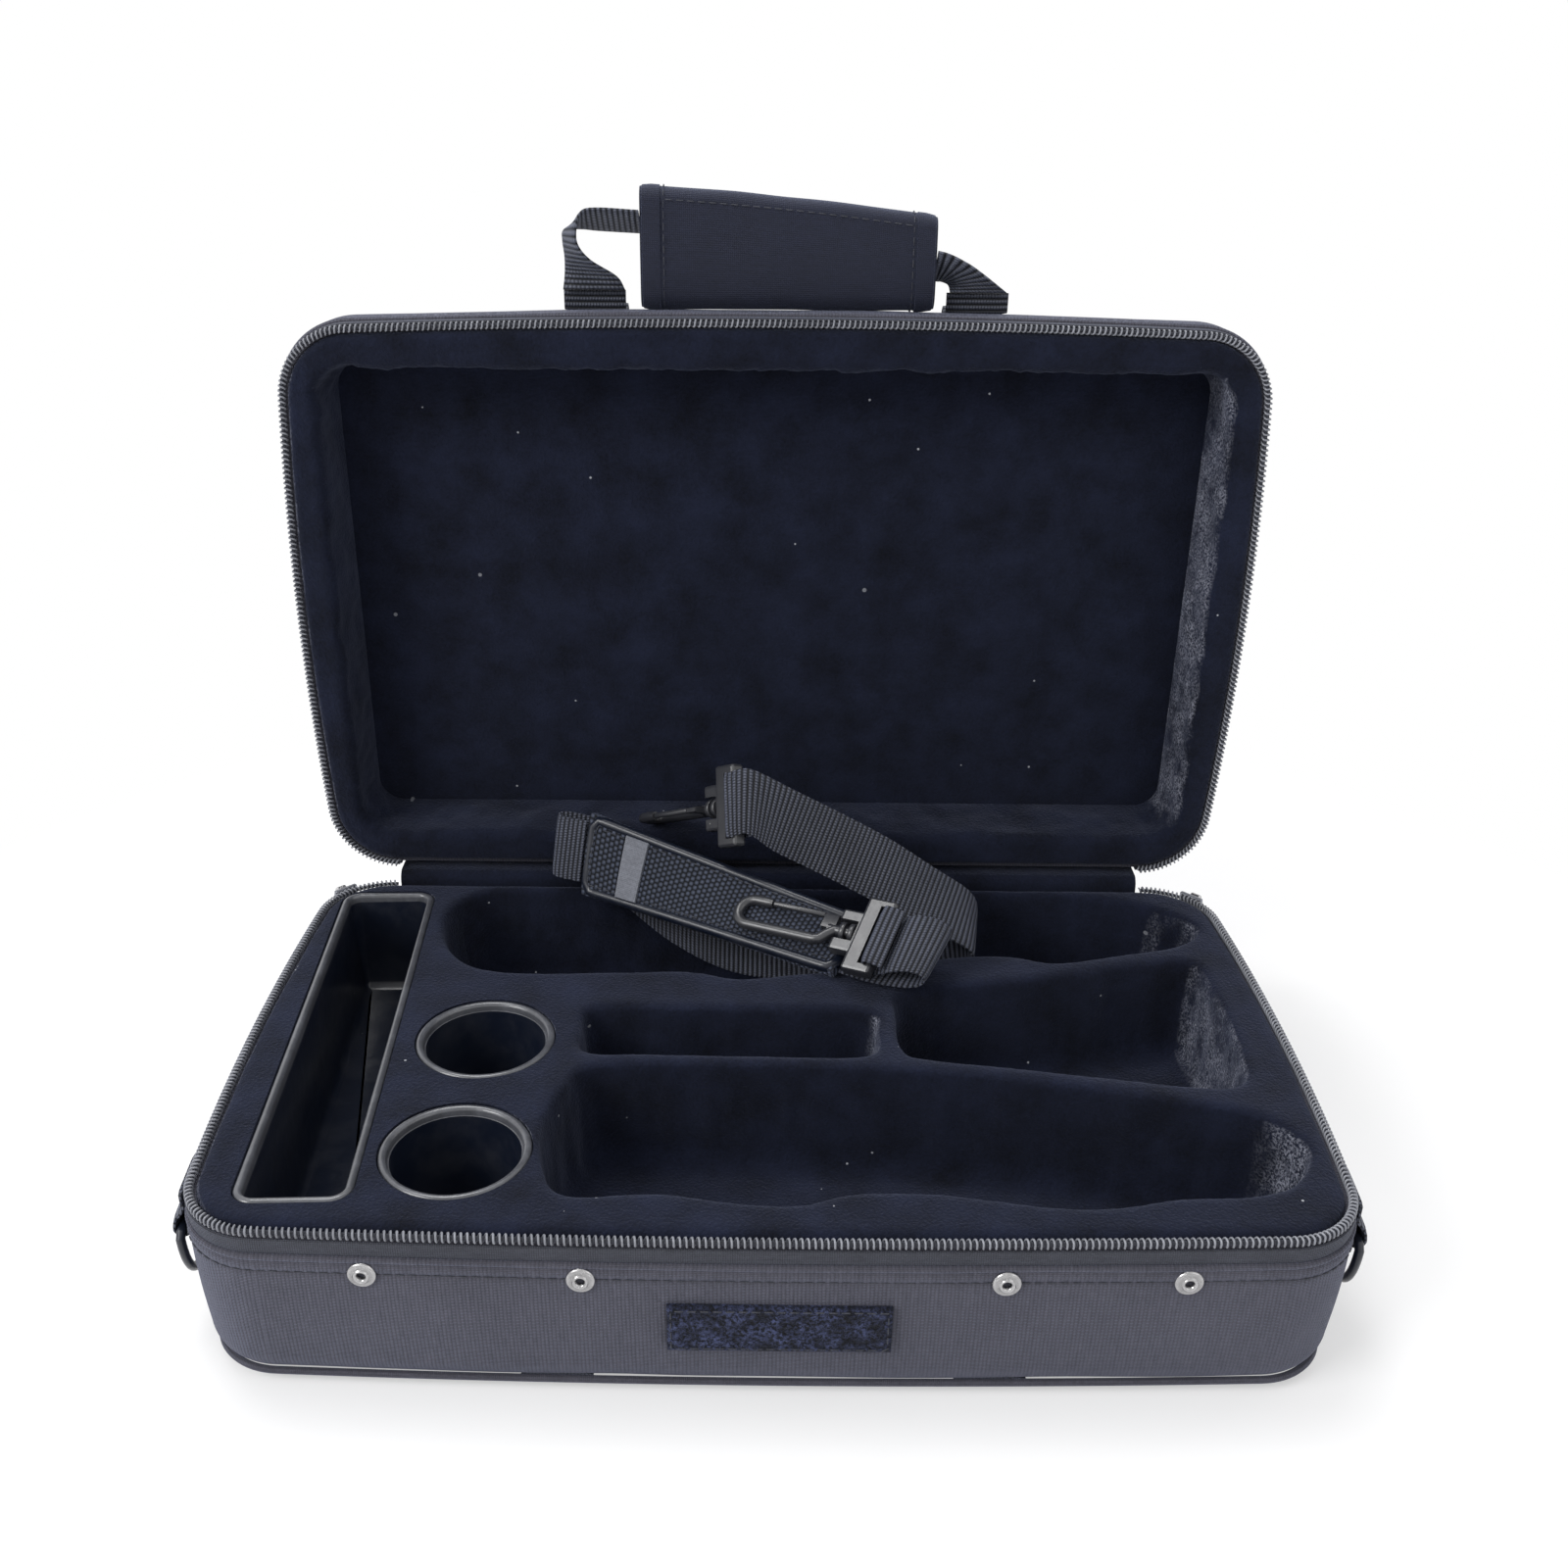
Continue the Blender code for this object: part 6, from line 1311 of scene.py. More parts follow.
def build_lid_lining():
    """The padded border with its crinkled inner edge, and the panel at the bottom of the recess."""
    outline, recess = rim_outline(), recess_loop()
    outline_even = np.vstack([outline, outline[:1]])
    recess_even = np.vstack([recess, recess[:1]])
    fine = 3

    def finer(loop):
        points = np.vstack([loop[:-1] + (loop[1:] - loop[:-1]) * k / fine for k in range(fine)])
        order = np.arange(len(points)).reshape(fine, -1).T.ravel()
        points = points[order]
        points[:, 2:] = unit(points[:, 2:])
        return points

    outline, recess = finer(outline_even), finer(recess_even)
    lip = TAPE_INSET + TEETH_WIDTH + 2 * FIT_GAP
    clear = SHELL_WALL + FIT_GAP
    lean = wall_inset(LID_HEIGHT, LID_HEIGHT - EDGE_FILLET)
    top = RECESS_DEPTH - FIT_GAP
    soft = 0.0042
    rows = [ring(recess, 0.0022 - 0.0022 * share, top + (soft - top) * share) for share in np.linspace(0, 1, 12)]
    rows += [ring(recess, -soft * (1 - math.cos(a)), soft - (soft - 0.0003) * math.sin(a))
             for a in np.linspace(0, QUARTER, 6)[1:]]
    for share in (0.25, 0.5, 0.75):
        inner, outer = ring(recess, -soft, 0.0003), ring(outline, lip + RIM_ROUND, 0.0003)
        rows.append(inner + (outer - inner) * share)
    rows += [ring(outline, lip + RIM_ROUND * (1 - math.sin(a)), 0.0003 + RIM_ROUND * (1 - math.cos(a)))
             for a in np.linspace(0, QUARTER, 6)]
    rows += [ring(outline, lip, 0.0040), ring(outline, clear, 0.0042), ring(outline, clear + lean, top)]
    rings = np.array(rows)
    for k in range(24):
        level = min(k / 3, 1) if k < 12 else max(0.4, 1 - (k - 12) / 8)
        for j, (x, y, z) in enumerate(rings[k]):
            crinkle = (noise.noise((x * 95, y * 95, z * 60)) + 0.6 * noise.noise((x * 230, y * 230, z * 120 + 4))
                       + 0.35 * noise.noise((x * 480, y * 480, z * 300)))
            push = 0.0012 * level * crinkle if k < 17 else 0.0002 * crinkle
            rings[k, j, :2] += recess[j, 2:] * push
            rings[k, j, 2] = max(z + 0.0004 * abs(crinkle) * (k > 11), 0.0003)
    rings = rings[:, :, :]
    piece = dress("lid_plush_border", skin("border", rings, hoop=True), "plush", "lid", LID, ("lid_border",), 70)
    panel_top = LID_HEIGHT - SHELL_WALL - FIT_GAP
    inner = EDGE_FILLET - SHELL_WALL
    centre = np.array((0, (0.0190 + CASE_DEPTH - 0.0175) / 2))
    rows = []
    for share in np.concatenate([[0.004], np.linspace(0.04, 1, 34)]):
        points = centre + (recess[:, :2] - centre) * share * 1.02
        swell = 0.0018 * (1 - share ** 4)
        rows.append(np.column_stack([points, np.full(len(points), RECESS_DEPTH - swell + 0.0006 * (share > 0.97))]))
    rings = np.array(rows)
    for k in range(len(rings)):
        for j, (x, y, z) in enumerate(rings[k]):
            rings[k, j, 2] += (0.0007 * noise.noise((x * 16, y * 22, 2)) + 0.0003 * noise.noise((x * 70, y * 70, 5))
                               + 0.00012 * noise.noise((x * 400, y * 400, 1))) * min(1, (1 - k / len(rings)) * 6 + 0.1)
    under = [ring(outline, clear + lean + 0.0002, RECESS_DEPTH + 0.0004),
             ring(outline, clear + lean + inner * 0.3, panel_top - inner * 0.3),
             ring(outline, clear + lean + inner, panel_top)]
    piece = dress("lid_plush_panel", skin("panel", np.concatenate([rings, np.array(under)])), "plush", "lid", LID,
                  ("lid_panel",), 70)


GRIP_LEFT, GRIP_RIGHT = -0.0490, 0.0580
GRIP_TOP_LEFT, GRIP_TOP_RIGHT = 0.0362, 0.0264
GRIP_TOP_ROUND = 0.0050
LEG_CURL = 0.0060
HANDLE = LID @ Matrix.Translation((0, handle_axis_y(), HANDLE_RISE)) @ Matrix.Rotation(math.pi, 4, "X")


def grip_ring(share, grow=0.0, steps=14):
    """One section of the grip, from its left end at 0 to its right end at 1."""
    x = GRIP_LEFT + (GRIP_RIGHT - GRIP_LEFT) * share
    top = GRIP_TOP_LEFT + (GRIP_TOP_RIGHT - GRIP_TOP_LEFT) * share + 0.0012 * math.sin(math.pi * share)
    ends = min(share, 1 - share) / 0.06
    pinch = 1 - 0.10 * max(0, 1 - ends) ** 2
    radius = GRIP_THICKNESS / 2 * pinch + grow
    upper = GRIP_TOP_ROUND * pinch + grow
    row = [(x, radius * math.sin(a), radius * math.cos(a)) for a in np.linspace(math.pi, 2 * math.pi, steps)]
    height = top - GRIP_TOP_ROUND
    side = [(x, height * t, (radius + (upper - radius) * t) + 0.0005 * math.sin(math.pi * t)) for t in (0.25, 0.5, 0.75)]
    row += side
    row += [(x, height + upper * math.sin(a), upper * math.cos(a)) for a in np.linspace(0, math.pi, steps)]
    row += [(a, b, -c) for a, b, c in reversed(side)]
    return row


def build_handle():
    """Webbing legs and the padded wrap, with its bindings and stitches."""
    half = STRAP_WIDTH / 2
    left_x, right_x = LID_STRAP_XS
    h = GRIP_TOP_LEFT
    left = ((left_x, 0, half, 0, 0), (left_x - half * 0.10, h * 0.14, half * 0.85, 0, LEG_CURL * 0.45),
            (left_x - half * 0.50, h * 0.30, half * 0.45, 0, LEG_CURL * 0.90),
            (left_x - half * 0.72, h * 0.45, half * 0.28, 0, LEG_CURL),
            (left_x - half * 0.70, h * 0.58, half * 0.24, half * 0.10, LEG_CURL),
            (left_x - half * 0.35, h * 0.66, half * 0.06, half * 0.30, LEG_CURL),
            (left_x + half * 0.20, h * 0.67, 0, half * 0.38, LEG_CURL), (GRIP_LEFT - FIT_GAP, h * 0.65, 0, half * 0.38, LEG_CURL))
    h = GRIP_TOP_RIGHT
    right = ((right_x, 0, half * 0.92, 0, 0), (right_x - half * 0.30, h * 0.13, half * 0.66, half * 0.10, LEG_CURL * 0.55),
             (right_x - half * 0.75, h * 0.25, half * 0.40, half * 0.30, LEG_CURL * 0.90),
             (right_x - half * 1.15, h * 0.32, half * 0.14, half * 0.46, LEG_CURL),
             (GRIP_RIGHT + FIT_GAP, h * 0.35, 0, half * 0.50, LEG_CURL))
    for key, route in (("left", left), ("right", right)):
        stations = [((x, rise, 0), (across, up, back)) for x, rise, across, up, back in route]
        dress(f"{key}_handle_leg", ribbon("leg", stations, WEB_THICKNESS, 10, 7), "webbing", "handle", HANDLE,
              (f"handle_leg_{key}",))
    shares = np.concatenate([[0, 0.004], np.linspace(0.015, 0.985, 48), [0.996, 1]])
    rings = np.array([grip_ring(s) for s in shares])
    rings[2:-2] = soften(rings[2:-2], 0.0005, 45.0, 7)
    piece = dress("grip", skin("grip", rings), "grip", "handle", HANDLE, ("handle_grip",), 60)
    for key, start, end in (("left", 0.006, 0.068), ("right", 0.932, 0.994)):
        rings = np.array([grip_ring(s, grow) for s, grow in
                          ((start, 0.0001), (start + 0.002, 0.0004), ((start + end) / 2, 0.0005), (end - 0.002, 0.0004),
                           (end, 0.0001))])
        dress(f"{key}_grip_binding", skin("binding", rings, caps=False), "grip", "handle", HANDLE)
        where = end + 0.012 if start < 0.5 else start - 0.012
        row = np.array(grip_ring(where, 0.0004))
        row = np.vstack([row, row[:1]])
        middle = row.mean(0)
        dress(f"{key}_binding_stitches", stitch_row("stitches", row, unit(row - middle)), "thread", "handle", HANDLE)
    for key, lift in (("front", 1), ("back", -1)):
        shares = np.linspace(0.08, 0.92, 60)
        rows = []
        for s in shares:
            top = GRIP_TOP_LEFT + (GRIP_TOP_RIGHT - GRIP_TOP_LEFT) * s + 0.0012 * math.sin(math.pi * s)
            rows.append((GRIP_LEFT + (GRIP_RIGHT - GRIP_LEFT) * s, top - GRIP_TOP_ROUND * 0.8, lift * (GRIP_TOP_ROUND + 0.0003)))
        normal = np.tile((0.0, 0.0, float(lift)), (len(rows), 1))
        dress(f"{key}_grip_stitches", stitch_row("stitches", rows, normal), "thread", "handle", HANDLE)


# ---- Shoulder strap, folded over the rear pocket

STRAP_PLACE = Matrix.Translation((0, CASE_DEPTH, 0))
PAD_NEAR = (Vector((-0.0770, -0.0177, 0.0025)), Vector((0.0238, -0.0790, 0.0053)))
PAD_FAR = (Vector((-0.0730, -0.0057, 0.0335)), Vector((0.0388, -0.0577, 0.0146)))
PAD_THICKNESS = 0.0048
STRAP_WEB_WIDTH = 0.0250
HOOK_PLACES = {
    "upper": ((-0.0189, -0.0242, 0.0453), (-0.0490, 0.0083, 0.0240), (-0.77, -0.54, 0.29), QUARTER),
    "lower": ((0.0325, -0.0719, 0.0162), (-0.0154, -0.0463, 0.0132), (0.27, 0.41, -0.87), 0),
}
STRAP_RUNS = {
    "upper": (
        ((-0.0078, -0.0357, 0.0535), (0.0005, 0.0040, 0.0118)), ((0.0060, -0.0342, 0.0445), (0.0040, 0.0035, 0.0113)),
        ((0.0240, -0.0322, 0.0340), (0.0045, 0.0045, 0.0107)), ((0.0430, -0.0317, 0.0230), (0.0045, 0.0060, 0.0099)),
        ((0.0610, -0.0332, 0.0120), (0.0045, 0.0085, 0.0079)), ((0.0760, -0.0347, 0.0040), (0.0040, 0.0105, 0.0054)),
        ((0.0820, -0.0352, -0.0030), (0.0020, 0.0118, 0.0035)), ((0.0790, -0.0357, -0.0110), (0.0010, 0.0122, 0.0020)),
        ((0.0660, -0.0357, -0.0150), (0, 0.0124, 0.0010)), ((0.0400, -0.0357, -0.0170), (0, 0.0125, 0)),
        ((0.0100, -0.0347, -0.0170), (0, 0.0123, 0.0020)), ((-0.0150, -0.0297, -0.0130), (0, 0.0105, 0.0065)),
        ((-0.0380, -0.0197, -0.0050), (0, 0.0070, 0.0103)), ((-0.0570, -0.0112, 0.0070), (0.0005, 0.0040, 0.0118)),
        ((-0.0690, -0.0045, 0.0160), (0.0010, 0.0015, 0.0123)), ((-0.0810, -0.0005, 0.0178), (0.0012, 0.0015, 0.0124)),
        ((-0.0865, -0.0015, 0.0182), (0.0014, 0.0025, 0.0122)), ((-0.0855, -0.0057, 0.0182), (0.0015, 0.0040, 0.0117)),
        ((-0.0753, -0.0102, 0.0182), (0.0015, 0.0045, 0.0116))),
    "lower": (
        ((0.0500, -0.0805, 0.0178), (0.0049, 0.0098, 0.0061)), ((0.0570, -0.0802, 0.0168), (0.0052, 0.0100, 0.0055)),
        ((0.0618, -0.0797, 0.0135), (0.0056, 0.0100, 0.0050)), ((0.0612, -0.0789, 0.0095), (0.0060, 0.0100, 0.0045)),
        ((0.0555, -0.0777, 0.0075), (0.0064, 0.0098, 0.0042)), ((0.0440, -0.0745, 0.0075), (0.0066, 0.0096, 0.0042)),
        ((0.0333, -0.0687, 0.0078), (0.0067, 0.0096, 0.0042))),
}
HOOK_WIRE = 0.0021
HOOK_HALF_WIDTH = 0.0056
HOOK_TIP = 0.0520
HOOK_ROOT = 0.0110
HOOK_MOUTH = 0.0070
EYE_BAR_LENGTH = 0.0115
EYE_THICKNESS = 0.0056
EYE_SLOT_LENGTH = 0.0036
EYE_SLOT_WALL = 0.0020
GATE_RADIUS = 0.0012


def give_way(piece):
    """Gives a piece of the folded strap its own copy of its mesh."""
    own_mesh(piece)


def pad_point(share, across, lift):
    """A point of the pad: along its length, across its width, and above its face."""
    near, far = PAD_NEAR[0].lerp(PAD_NEAR[1], share), PAD_FAR[0].lerp(PAD_FAR[1], share)
    side = far - near
    normal = (PAD_NEAR[1] - PAD_NEAR[0]).cross(side).normalized()
    return near + side * across + normal * (lift - 0.0010)


def build_pad():
    """The shoulder pad: a pebbled face, a rolled binding round it and a plain band near its end."""
    place = BASE @ STRAP_PLACE
    edge = np.linspace(0, 1, 15)
    faces = [(a, 0.0011 * math.sin(math.pi * a) ** 0.5) for a in edge]
    under = [(a, 0.0010 - PAD_THICKNESS + 0.0003 * math.sin(math.pi * a)) for a in edge[::-1]]
    shares = np.linspace(0.004, 0.996, 64)
    rings = np.array([[pad_point(s, a, b + 0.00025 * noise.noise((s * 9, a * 3, 0))) for a, b in faces + under]
                      for s in shares])
    piece = dress("shoulder_pad_body", skin("pad", rings), "pad", "base", place, ("shoulder_pad",), 70)
    give_way(piece)
    inset = 0.06
    loop = [(s, inset) for s in np.linspace(0.035, 0.965, 50)] + [(0.985, a) for a in np.linspace(0.16, 0.84, 10)]
    loop += [(s, 1 - inset) for s in np.linspace(0.965, 0.035, 50)] + [(0.015, a) for a in np.linspace(0.84, 0.16, 10)]
    path = [pad_point(s, a, -0.0008) for s, a in loop]
    binding = dress("pad_binding", sweep("binding", path, 0.0022, 12, closed=True), "plastic", "base", place)
    give_way(binding)
    inner = [(0.03 + 0.94 * s, 0.145) for s in np.linspace(0, 1, 60)] + [(0.03 + 0.94 * s, 0.855) for s in np.linspace(1, 0, 60)]
    points = np.array([pad_point(s, a, 0.0013) for s, a in inner + inner[:1]])
    up = unit(np.array([pad_point(s, a, 0.0113) for s, a in inner + inner[:1]]) - points)
    seam = dress("pad_stitches", stitch_row("stitches", points, up), "thread", "base", place)
    give_way(seam)
    rows = []
    for s in np.linspace(0.150, 0.232, 12):
        top = [(a, 0.0018 + 0.0004 * math.sin(math.pi * a)) for a in np.linspace(0.10, 0.90, 15)]
        low = [(a, b - 0.0012) for a, b in reversed(top)]
        rows.append([pad_point(s, a, b) for a, b in top + low])
    band = dress("pad_plain_band", skin("band", np.array(rows)), "band", "base", place)
    give_way(band)


def hook_place(key):
    """The frame of a snap hook: X from the strap to its tip, Z square to it."""
    origin, tip, normal, turn = HOOK_PLACES[key]
    x = (Vector(tip) - Vector(origin)).normalized()
    y = Vector(normal).cross(x).normalized()
    z = x.cross(y)
    return Matrix.Translation(origin) @ Matrix((x, y, z)).transposed().to_4x4(), turn


def eye_loop(place):
    """Webbing stations round a strap eye's end bar and through its slot."""
    slot = -EYE_BAR_LENGTH + EYE_SLOT_WALL + EYE_SLOT_LENGTH / 2
    clear = EYE_THICKNESS / 2 + FIT_GAP + WEB_THICKNESS / 2
    half = place.to_3x3() @ Vector((0, STRAP_WEB_WIDTH / 2, 0))
    route = ((2 * slot, -clear / 2), (-EYE_BAR_LENGTH, -clear), (slot - WEB_THICKNESS / 2, -clear), (slot, -clear / 2),
             (slot, clear / 2), (slot - WEB_THICKNESS / 2, clear), (-EYE_BAR_LENGTH, clear))
    return [(place @ Vector((x, 0, z)), half) for x, z in route]


def build_strap_webbing():
    """Each run of the strap, threaded round its eye and folded as it lies."""
    for key, run in STRAP_RUNS.items():
        place = hook_place(key)[0]
        loop = eye_loop(place)
        if loop[0][1].dot(Vector(run[0][1])) < 0:
            loop = [(centre, -half) for centre, half in loop]
        stations = loop + list(run)
        mesh = ribbon("strap", stations, WEB_THICKNESS, 12, 5)
        piece = dress(f"{key}_strap_webbing", mesh, "webbing", "base", BASE @ STRAP_PLACE, (f"strap_webbing_{key}",), 60)
        give_way(piece)


def turned(profile, sides=28):
    """A turned piece about X from its length and radius."""
    angles = 2 * math.pi * np.arange(sides) / sides
    return skin("turned", [[(x, r * math.cos(a), r * math.sin(a)) for a in angles] for x, r in profile])


def build_hooks():
    """The snap hooks: eye, hook with its collared neck, and sprung gate."""
    mid, bend = HOOK_HALF_WIDTH, HOOK_TIP - HOOK_WIRE - HOOK_HALF_WIDTH
    mouth = bend - HOOK_MOUTH
    seat = HOOK_ROOT + HOOK_WIRE * 1.9
    for key in HOOK_PLACES:
        place, turn = hook_place(key)
        eye = round_over(f"strap_eye_{key}", f"{key}_strap_eye", "hook", "base", 0.0006)
        give_way(eye)
        place = BASE @ STRAP_PLACE @ place @ Matrix.Rotation(turn, 4, "X")
        path = [(HOOK_ROOT - HOOK_WIRE, 0, 0), (HOOK_ROOT + 0.0004, -mid * 0.4, 0), (HOOK_ROOT + HOOK_WIRE * 1.2, -mid * 0.88, 0),
                (HOOK_ROOT + HOOK_WIRE * 2.2, -mid, 0)]
        path += [(x, -mid, 0) for x in np.linspace(HOOK_ROOT + 0.008, bend - 0.002, 8)]
        path += [(bend + mid * math.cos(a), mid * math.sin(a), 0) for a in np.linspace(-QUARTER, QUARTER, 15)]
        path += [(x, mid, 0) for x in np.linspace(bend, mouth, 4)[1:]]
        radii = np.full(len(path), HOOK_WIRE)
        radii[-1] *= 0.82
        neck = [(-0.0036, 0.0020), (0.0006, 0.0020), (0.0006, 0.0036), (0.0008, 0.0038), (0.0022, 0.0038),
                (0.0024, 0.0036), (0.0024, 0.0021), (0.0042, 0.0021), (0.0042, 0.0036), (0.0044, 0.0038),
                (0.0058, 0.0038), (0.0060, 0.0036), (0.0060, 0.0021), (0.0095, 0.0019), (HOOK_ROOT + 0.0006, 0.0020)]
        lug = holder("lug", skin("lug", [[(x, y * mid * 1.12, z * GATE_RADIUS) for y, z in
                                          ((0.0, -1), (0.85, -1), (1, -0.6), (1, 0.6), (0.85, 1), (0.0, 1))]
                                         for x in (HOOK_ROOT - HOOK_WIRE, seat - FIT_GAP)]))
        lug_mesh = lug.data.copy()
        bpy.data.objects.remove(lug, do_unlink=True)
        hook = dress(f"{key}_snap_hook", join([sweep("wire", path, radii, 18), turned(neck), lug_mesh], "hook"), "hook",
                     f"hook_{key}", place, (f"snap_hook_{key}",), 45)
        give_way(hook)
        reach = mouth - FIT_GAP - seat
        rod = [(0, GATE_RADIUS * 0.8), (0.0003, GATE_RADIUS), (reach - 0.0004, GATE_RADIUS), (reach, GATE_RADIUS * 0.7)]
        gate = dress(f"{key}_gate", turned(rod, 20), "hook", f"gate_{key}", place @ Matrix.Translation((seat, mid, 0)),
                     (f"hook_gate_{key}",))
        give_way(gate)


# ---- Studio

def background_rays(web):
    """1 for the rays that see the backdrop: from the camera, or by way of metal, plastic or glass."""
    rays = web.node("LightPath").outputs
    return web.math("MAXIMUM", web.math("MAXIMUM", rays["Is Camera Ray"], rays["Is Glossy Ray"]), rays["Is Transmission Ray"])


def build_stage():
    """A pale floor that fades into a white backdrop, soft lights, and the photo's camera."""
    scene = bpy.context.scene
    rings = [[(r * math.cos(a), r * math.sin(a), -0.0002) for a in 2 * math.pi * np.arange(64) / 64]
             for r in (0.001, 0.3, 0.6, 1.2, 3, 9, 30, 90)]
    mesh = skin("floor", np.array(rings), caps=False)
    if mesh.polygons[0].normal.z < 0:
        mesh.flip_normals()
    material, web, shader, uv, place = new_finish("pale floor", 0.7)
    white = tuple(scene.case_colours.floor)
    grain = web.noise(place, 40.0, 4.0, 0.6)
    web.put(shader.inputs["Base Color"], shade(web, white, web.span(grain, 0.2, 0.8, 0.985, 1.0)))
    away = web.node("VectorMath", place, operation="LENGTH").outputs["Value"]
    far = web.span(away, 0.20, 0.46)
    glow = web.node("Emission")
    glow.inputs["Color"].default_value = (1, 1, 1, 1)
    glowing = web.math("MULTIPLY", web.math("MAXIMUM", far, 0.45), background_rays(web))
    mix = web.node("MixShader", glowing, shader.outputs[0], glow.outputs[0])
    out = material.node_tree.nodes["Material Output"]
    material.node_tree.links.new(mix.outputs[0], out.inputs["Surface"])
    mesh.materials.append(material)
    floor = holder("floor", mesh)
    world = bpy.data.worlds.new("backdrop")
    world.use_nodes = True
    scene.world = world
    web = Web(world.node_tree)
    ground = world.node_tree.nodes["Background"]
    ground.inputs["Color"].default_value = (1, 1, 1, 1)
    web.put(ground.inputs["Strength"], web.span(background_rays(web), 0.0, 1.0, 0.75, 1.0))
    for name, spot, aim, size, power in (
            ("key_light", (-1.7, -1.1, 1.5), (0, 0, 0.08), 1.1, 36.0), ("fill_light", (1.6, -1.2, 1.1), (0, 0, 0.1), 1.4, 5.0),
            ("top_light", (-0.4, 0.5, 2.1), (0, 0, 0.15), 1.0, 24.0)):
        data = bpy.data.lights.new(name, "AREA")
        data.size = size
        data.energy = power
        lamp = bpy.data.objects.new(name, data)
        lamp.location = spot
        lamp.rotation_euler = (Vector(aim) - Vector(spot)).to_track_quat("-Z", "Y").to_euler()
        scene.collection.objects.link(lamp)
    yaw, pitch, roll = -0.003583, 0.466778, -0.007483
    ahead = Vector((math.sin(yaw) * math.cos(pitch), math.cos(yaw) * math.cos(pitch), -math.sin(pitch)))
    right = Vector((math.cos(yaw), -math.sin(yaw), 0))
    down = ahead.cross(right)
    x_axis = math.cos(roll) * right + math.sin(roll) * down
    y_axis = math.sin(roll) * right - math.cos(roll) * down
    data = bpy.data.cameras.new("camera")
    data.sensor_width = 36
    data.lens = 1645.157 / 1600 * 36
    data.shift_x = (800 - 764.60) / 1600
    data.shift_y = (849.92 - 800) / 1600
    data.clip_start = 0.02
    camera = bpy.data.objects.new("camera", data)
    turn = Matrix((x_axis, y_axis, -ahead)).transposed().to_4x4()
    camera.matrix_world = Matrix.Translation(ORIGIN + Vector((-0.005866, -0.368035, 0.320295))) @ turn
    scene.collection.objects.link(camera)
    scene.camera = camera
    scene.view_settings.view_transform = "Standard"


# ---- Add-on

class CASE_OT_shells(bpy.types.Operator):
    """Cloth-covered shells of the base and the lid, with their rows of stitches."""
    bl_idname = "case.shells"
    bl_label = "Cloth shells"

    def execute(self, context):
        build_shell("base_cloth_shell", BASE_HEIGHT, -1, "base", BASE, "base_shell")
        build_shell("lid_cloth_shell", LID_HEIGHT, 1, "lid", LID, "lid_shell")
        return {"FINISHED"}


class CASE_OT_piping(bpy.types.Operator):
    """Piping round the outer edges."""
    bl_idname = "case.piping"
    bl_label = "Piping"

    def execute(self, context):
        build_piping("base_edge_piping", BASE_HEIGHT, -1, "base", BASE, "base_piping")
        build_piping("lid_edge_piping", LID_HEIGHT, 1, "lid", LID, "lid_piping")
        return {"FINISHED"}


class CASE_OT_zip(bpy.types.Operator):
    """Both halves of the zip, and its sliders and pulls."""
    bl_idname = "case.zip"
    bl_label = "Zip"

    def execute(self, context):
        build_zip_half(-1, "base", BASE, "base")
        build_zip_half(1, "lid", LID, "lid")
        build_sliders()
        return {"FINISHED"}


class CASE_OT_hinge(bpy.types.Operator):
    """The cloth hinge between base and lid."""
    bl_idname = "case.hinge"
    bl_label = "Cloth hinge"

    def execute(self, context):
        build_gusset()
        return {"FINISHED"}


class CASE_OT_insert(bpy.types.Operator):
    """The plush-covered foam insert with its pockets."""
    bl_idname = "case.insert"
    bl_label = "Foam insert"

    def execute(self, context):
        build_insert()
        return {"FINISHED"}


class CASE_OT_tubs(bpy.types.Operator):
    """The accessory tray and the two round cups."""
    bl_idname = "case.tubs"
    bl_label = "Tray and cups"

    def execute(self, context):
        build_tray()
        build_cups()
        return {"FINISHED"}


class CASE_OT_front(bpy.types.Operator):
    """The rivets and the patch on the front wall."""
    bl_idname = "case.front"
    bl_label = "Rivets and patch"

    def execute(self, context):
        build_rivets()
        build_patch()
        return {"FINISHED"}


class CASE_OT_straps(bpy.types.Operator):
    """The webbing straps sewn to the shells."""
    bl_idname = "case.straps"
    bl_label = "Shell straps"

    def execute(self, context):
        for key, x in zip(("left", "right"), BASE_STRAP_XS):
            build_shell_strap(f"{key}_base_webbing", x, base_strap_path(x), -1, "base", BASE, f"base_strap_{key}")
        for key, x in zip(("left", "right"), LID_STRAP_XS):
            build_shell_strap(f"{key}_lid_webbing", x, lid_strap_path(x), 1, "lid", LID, f"lid_strap_{key}")
        return {"FINISHED"}


class CASE_OT_rings(bpy.types.Operator):
    """The side tabs and the rings that hang in them."""
    bl_idname = "case.rings"
    bl_label = "Side rings"

    def execute(self, context):
        build_ring_sets()
        return {"FINISHED"}


class CASE_OT_lining(bpy.types.Operator):
    """The lid's padded border and panel."""
    bl_idname = "case.lining"
    bl_label = "Lid lining"

    def execute(self, context):
        build_lid_lining()
        return {"FINISHED"}


class CASE_OT_handle(bpy.types.Operator):
    """The carrying handle."""
    bl_idname = "case.handle"
    bl_label = "Handle"

    def execute(self, context):
        build_handle()
        return {"FINISHED"}


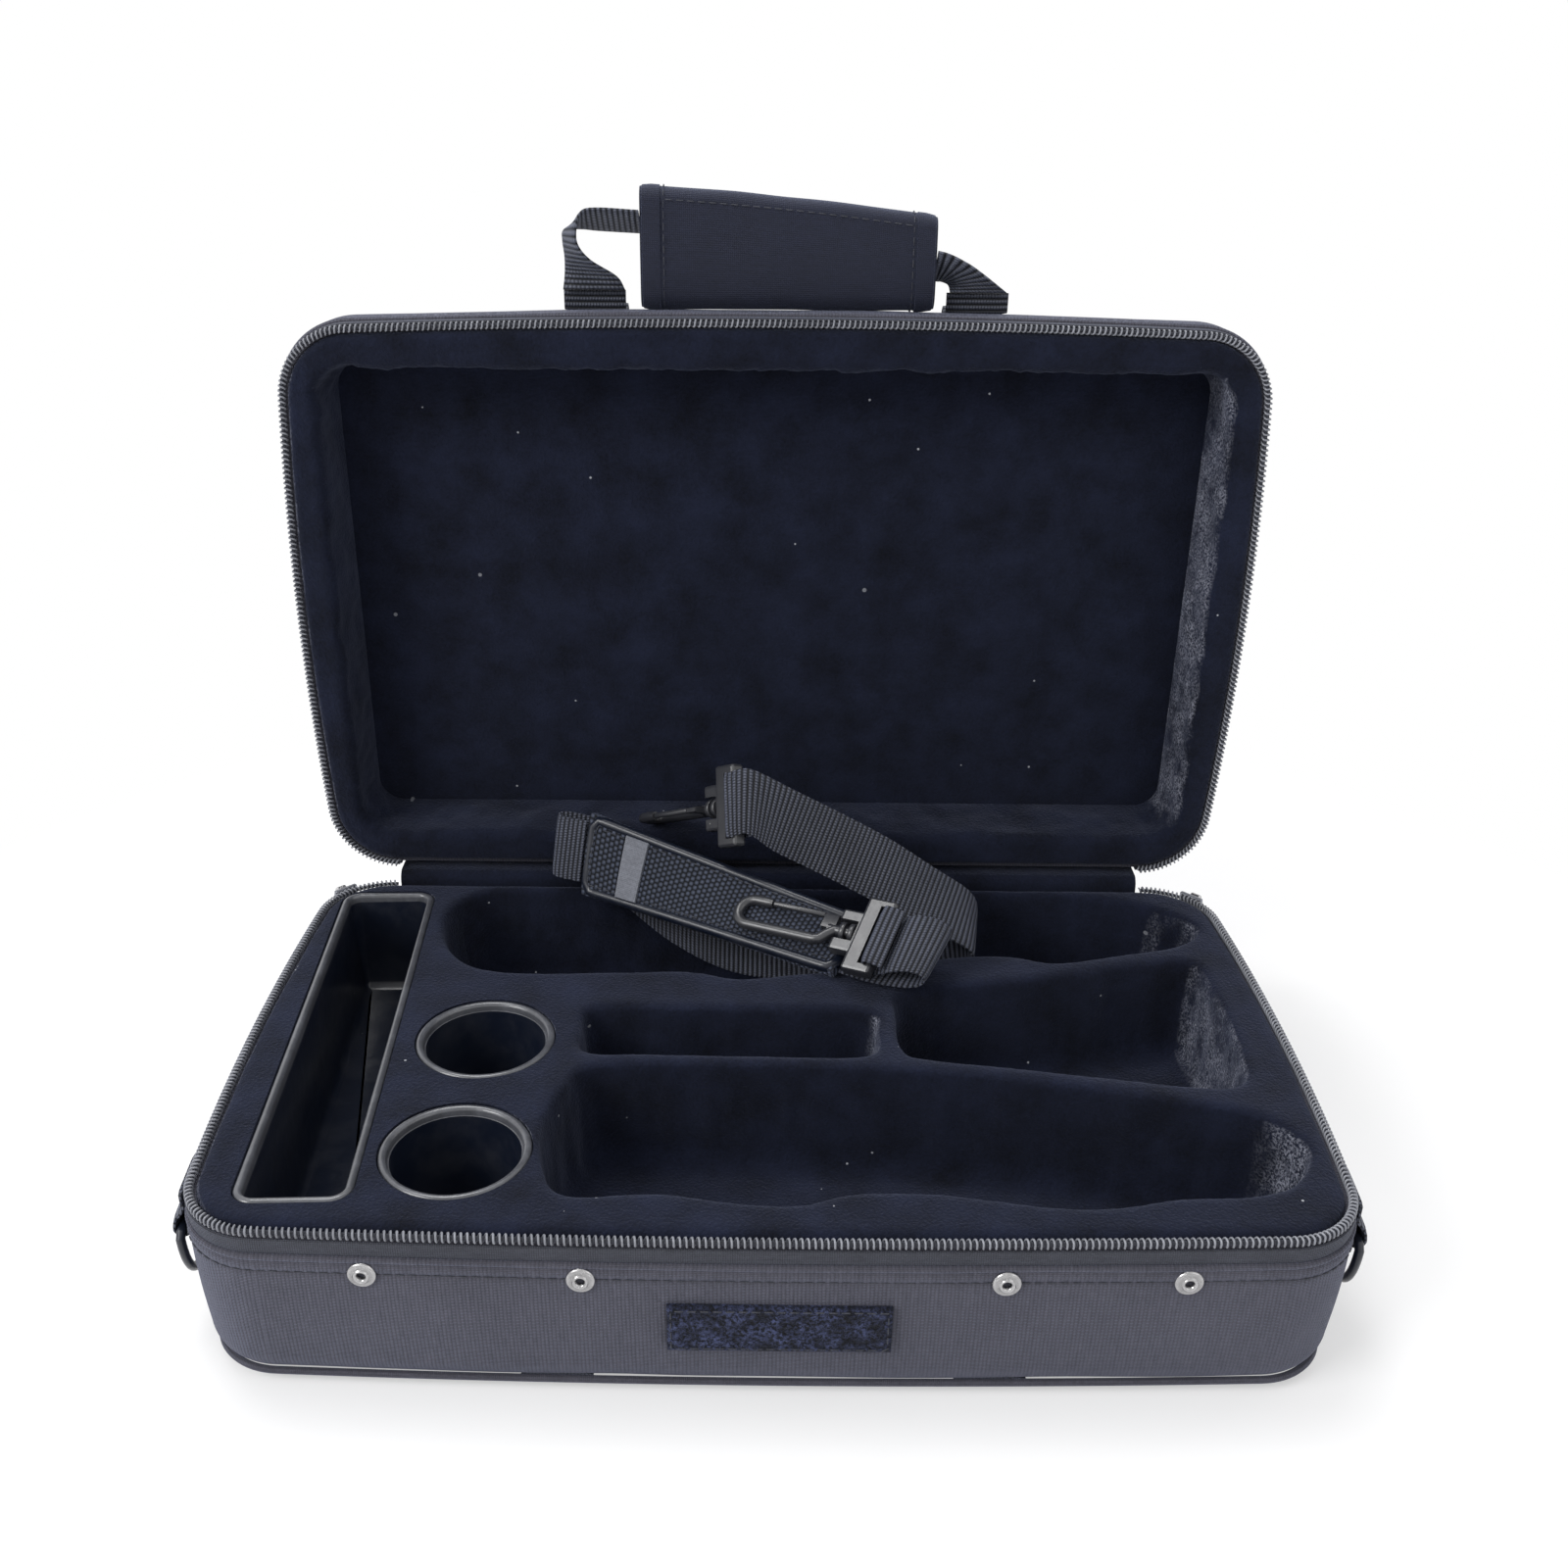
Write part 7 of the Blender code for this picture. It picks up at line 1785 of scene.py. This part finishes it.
class CASE_OT_pad(bpy.types.Operator):
    """The shoulder pad."""
    bl_idname = "case.pad"
    bl_label = "Shoulder pad"

    def execute(self, context):
        build_pad()
        return {"FINISHED"}


class CASE_OT_webbing(bpy.types.Operator):
    """The shoulder strap's webbing."""
    bl_idname = "case.webbing"
    bl_label = "Strap webbing"

    def execute(self, context):
        build_strap_webbing()
        return {"FINISHED"}


class CASE_OT_hooks(bpy.types.Operator):
    """The snap hooks of the shoulder strap."""
    bl_idname = "case.hooks"
    bl_label = "Snap hooks"

    def execute(self, context):
        build_hooks()
        return {"FINISHED"}


class CASE_OT_stage(bpy.types.Operator):
    """Floor, backdrop, lights and camera."""
    bl_idname = "case.stage"
    bl_label = "Studio"

    def execute(self, context):
        build_stage()
        return {"FINISHED"}


OPERATORS = (CASE_OT_shells, CASE_OT_piping, CASE_OT_zip, CASE_OT_hinge, CASE_OT_insert, CASE_OT_tubs, CASE_OT_front,
             CASE_OT_straps, CASE_OT_rings, CASE_OT_lining, CASE_OT_handle, CASE_OT_pad, CASE_OT_webbing, CASE_OT_hooks,
             CASE_OT_stage)


class CASE_PT_panel(bpy.types.Panel):
    """Lists the pieces and their sizes and colours."""
    bl_idname = "CASE_PT_panel"
    bl_label = "Clarinet case"
    bl_space_type = "VIEW_3D"
    bl_region_type = "UI"
    bl_category = "Case"

    def draw(self, context):
        layout = self.layout
        for group in (context.scene.case_sizes, context.scene.case_colours):
            box = layout.box()
            for name in group.__annotations__:
                box.prop(group, name)
        for operator in OPERATORS:
            layout.operator(operator.bl_idname)


CLASSES = (CaseSizes, CaseColours, *OPERATORS, CASE_PT_panel)


def register():
    for item in CLASSES:
        bpy.utils.register_class(item)
    bpy.types.Scene.case_sizes = bpy.props.PointerProperty(type=CaseSizes)
    bpy.types.Scene.case_colours = bpy.props.PointerProperty(type=CaseColours)


def unregister():
    del bpy.types.Scene.case_colours
    del bpy.types.Scene.case_sizes
    for item in reversed(CLASSES):
        bpy.utils.unregister_class(item)


def main():
    register()
    for operator in OPERATORS:
        group, name = operator.bl_idname.split(".")
        getattr(getattr(bpy.ops, group), name)()


if __name__ == "__main__":
    main()
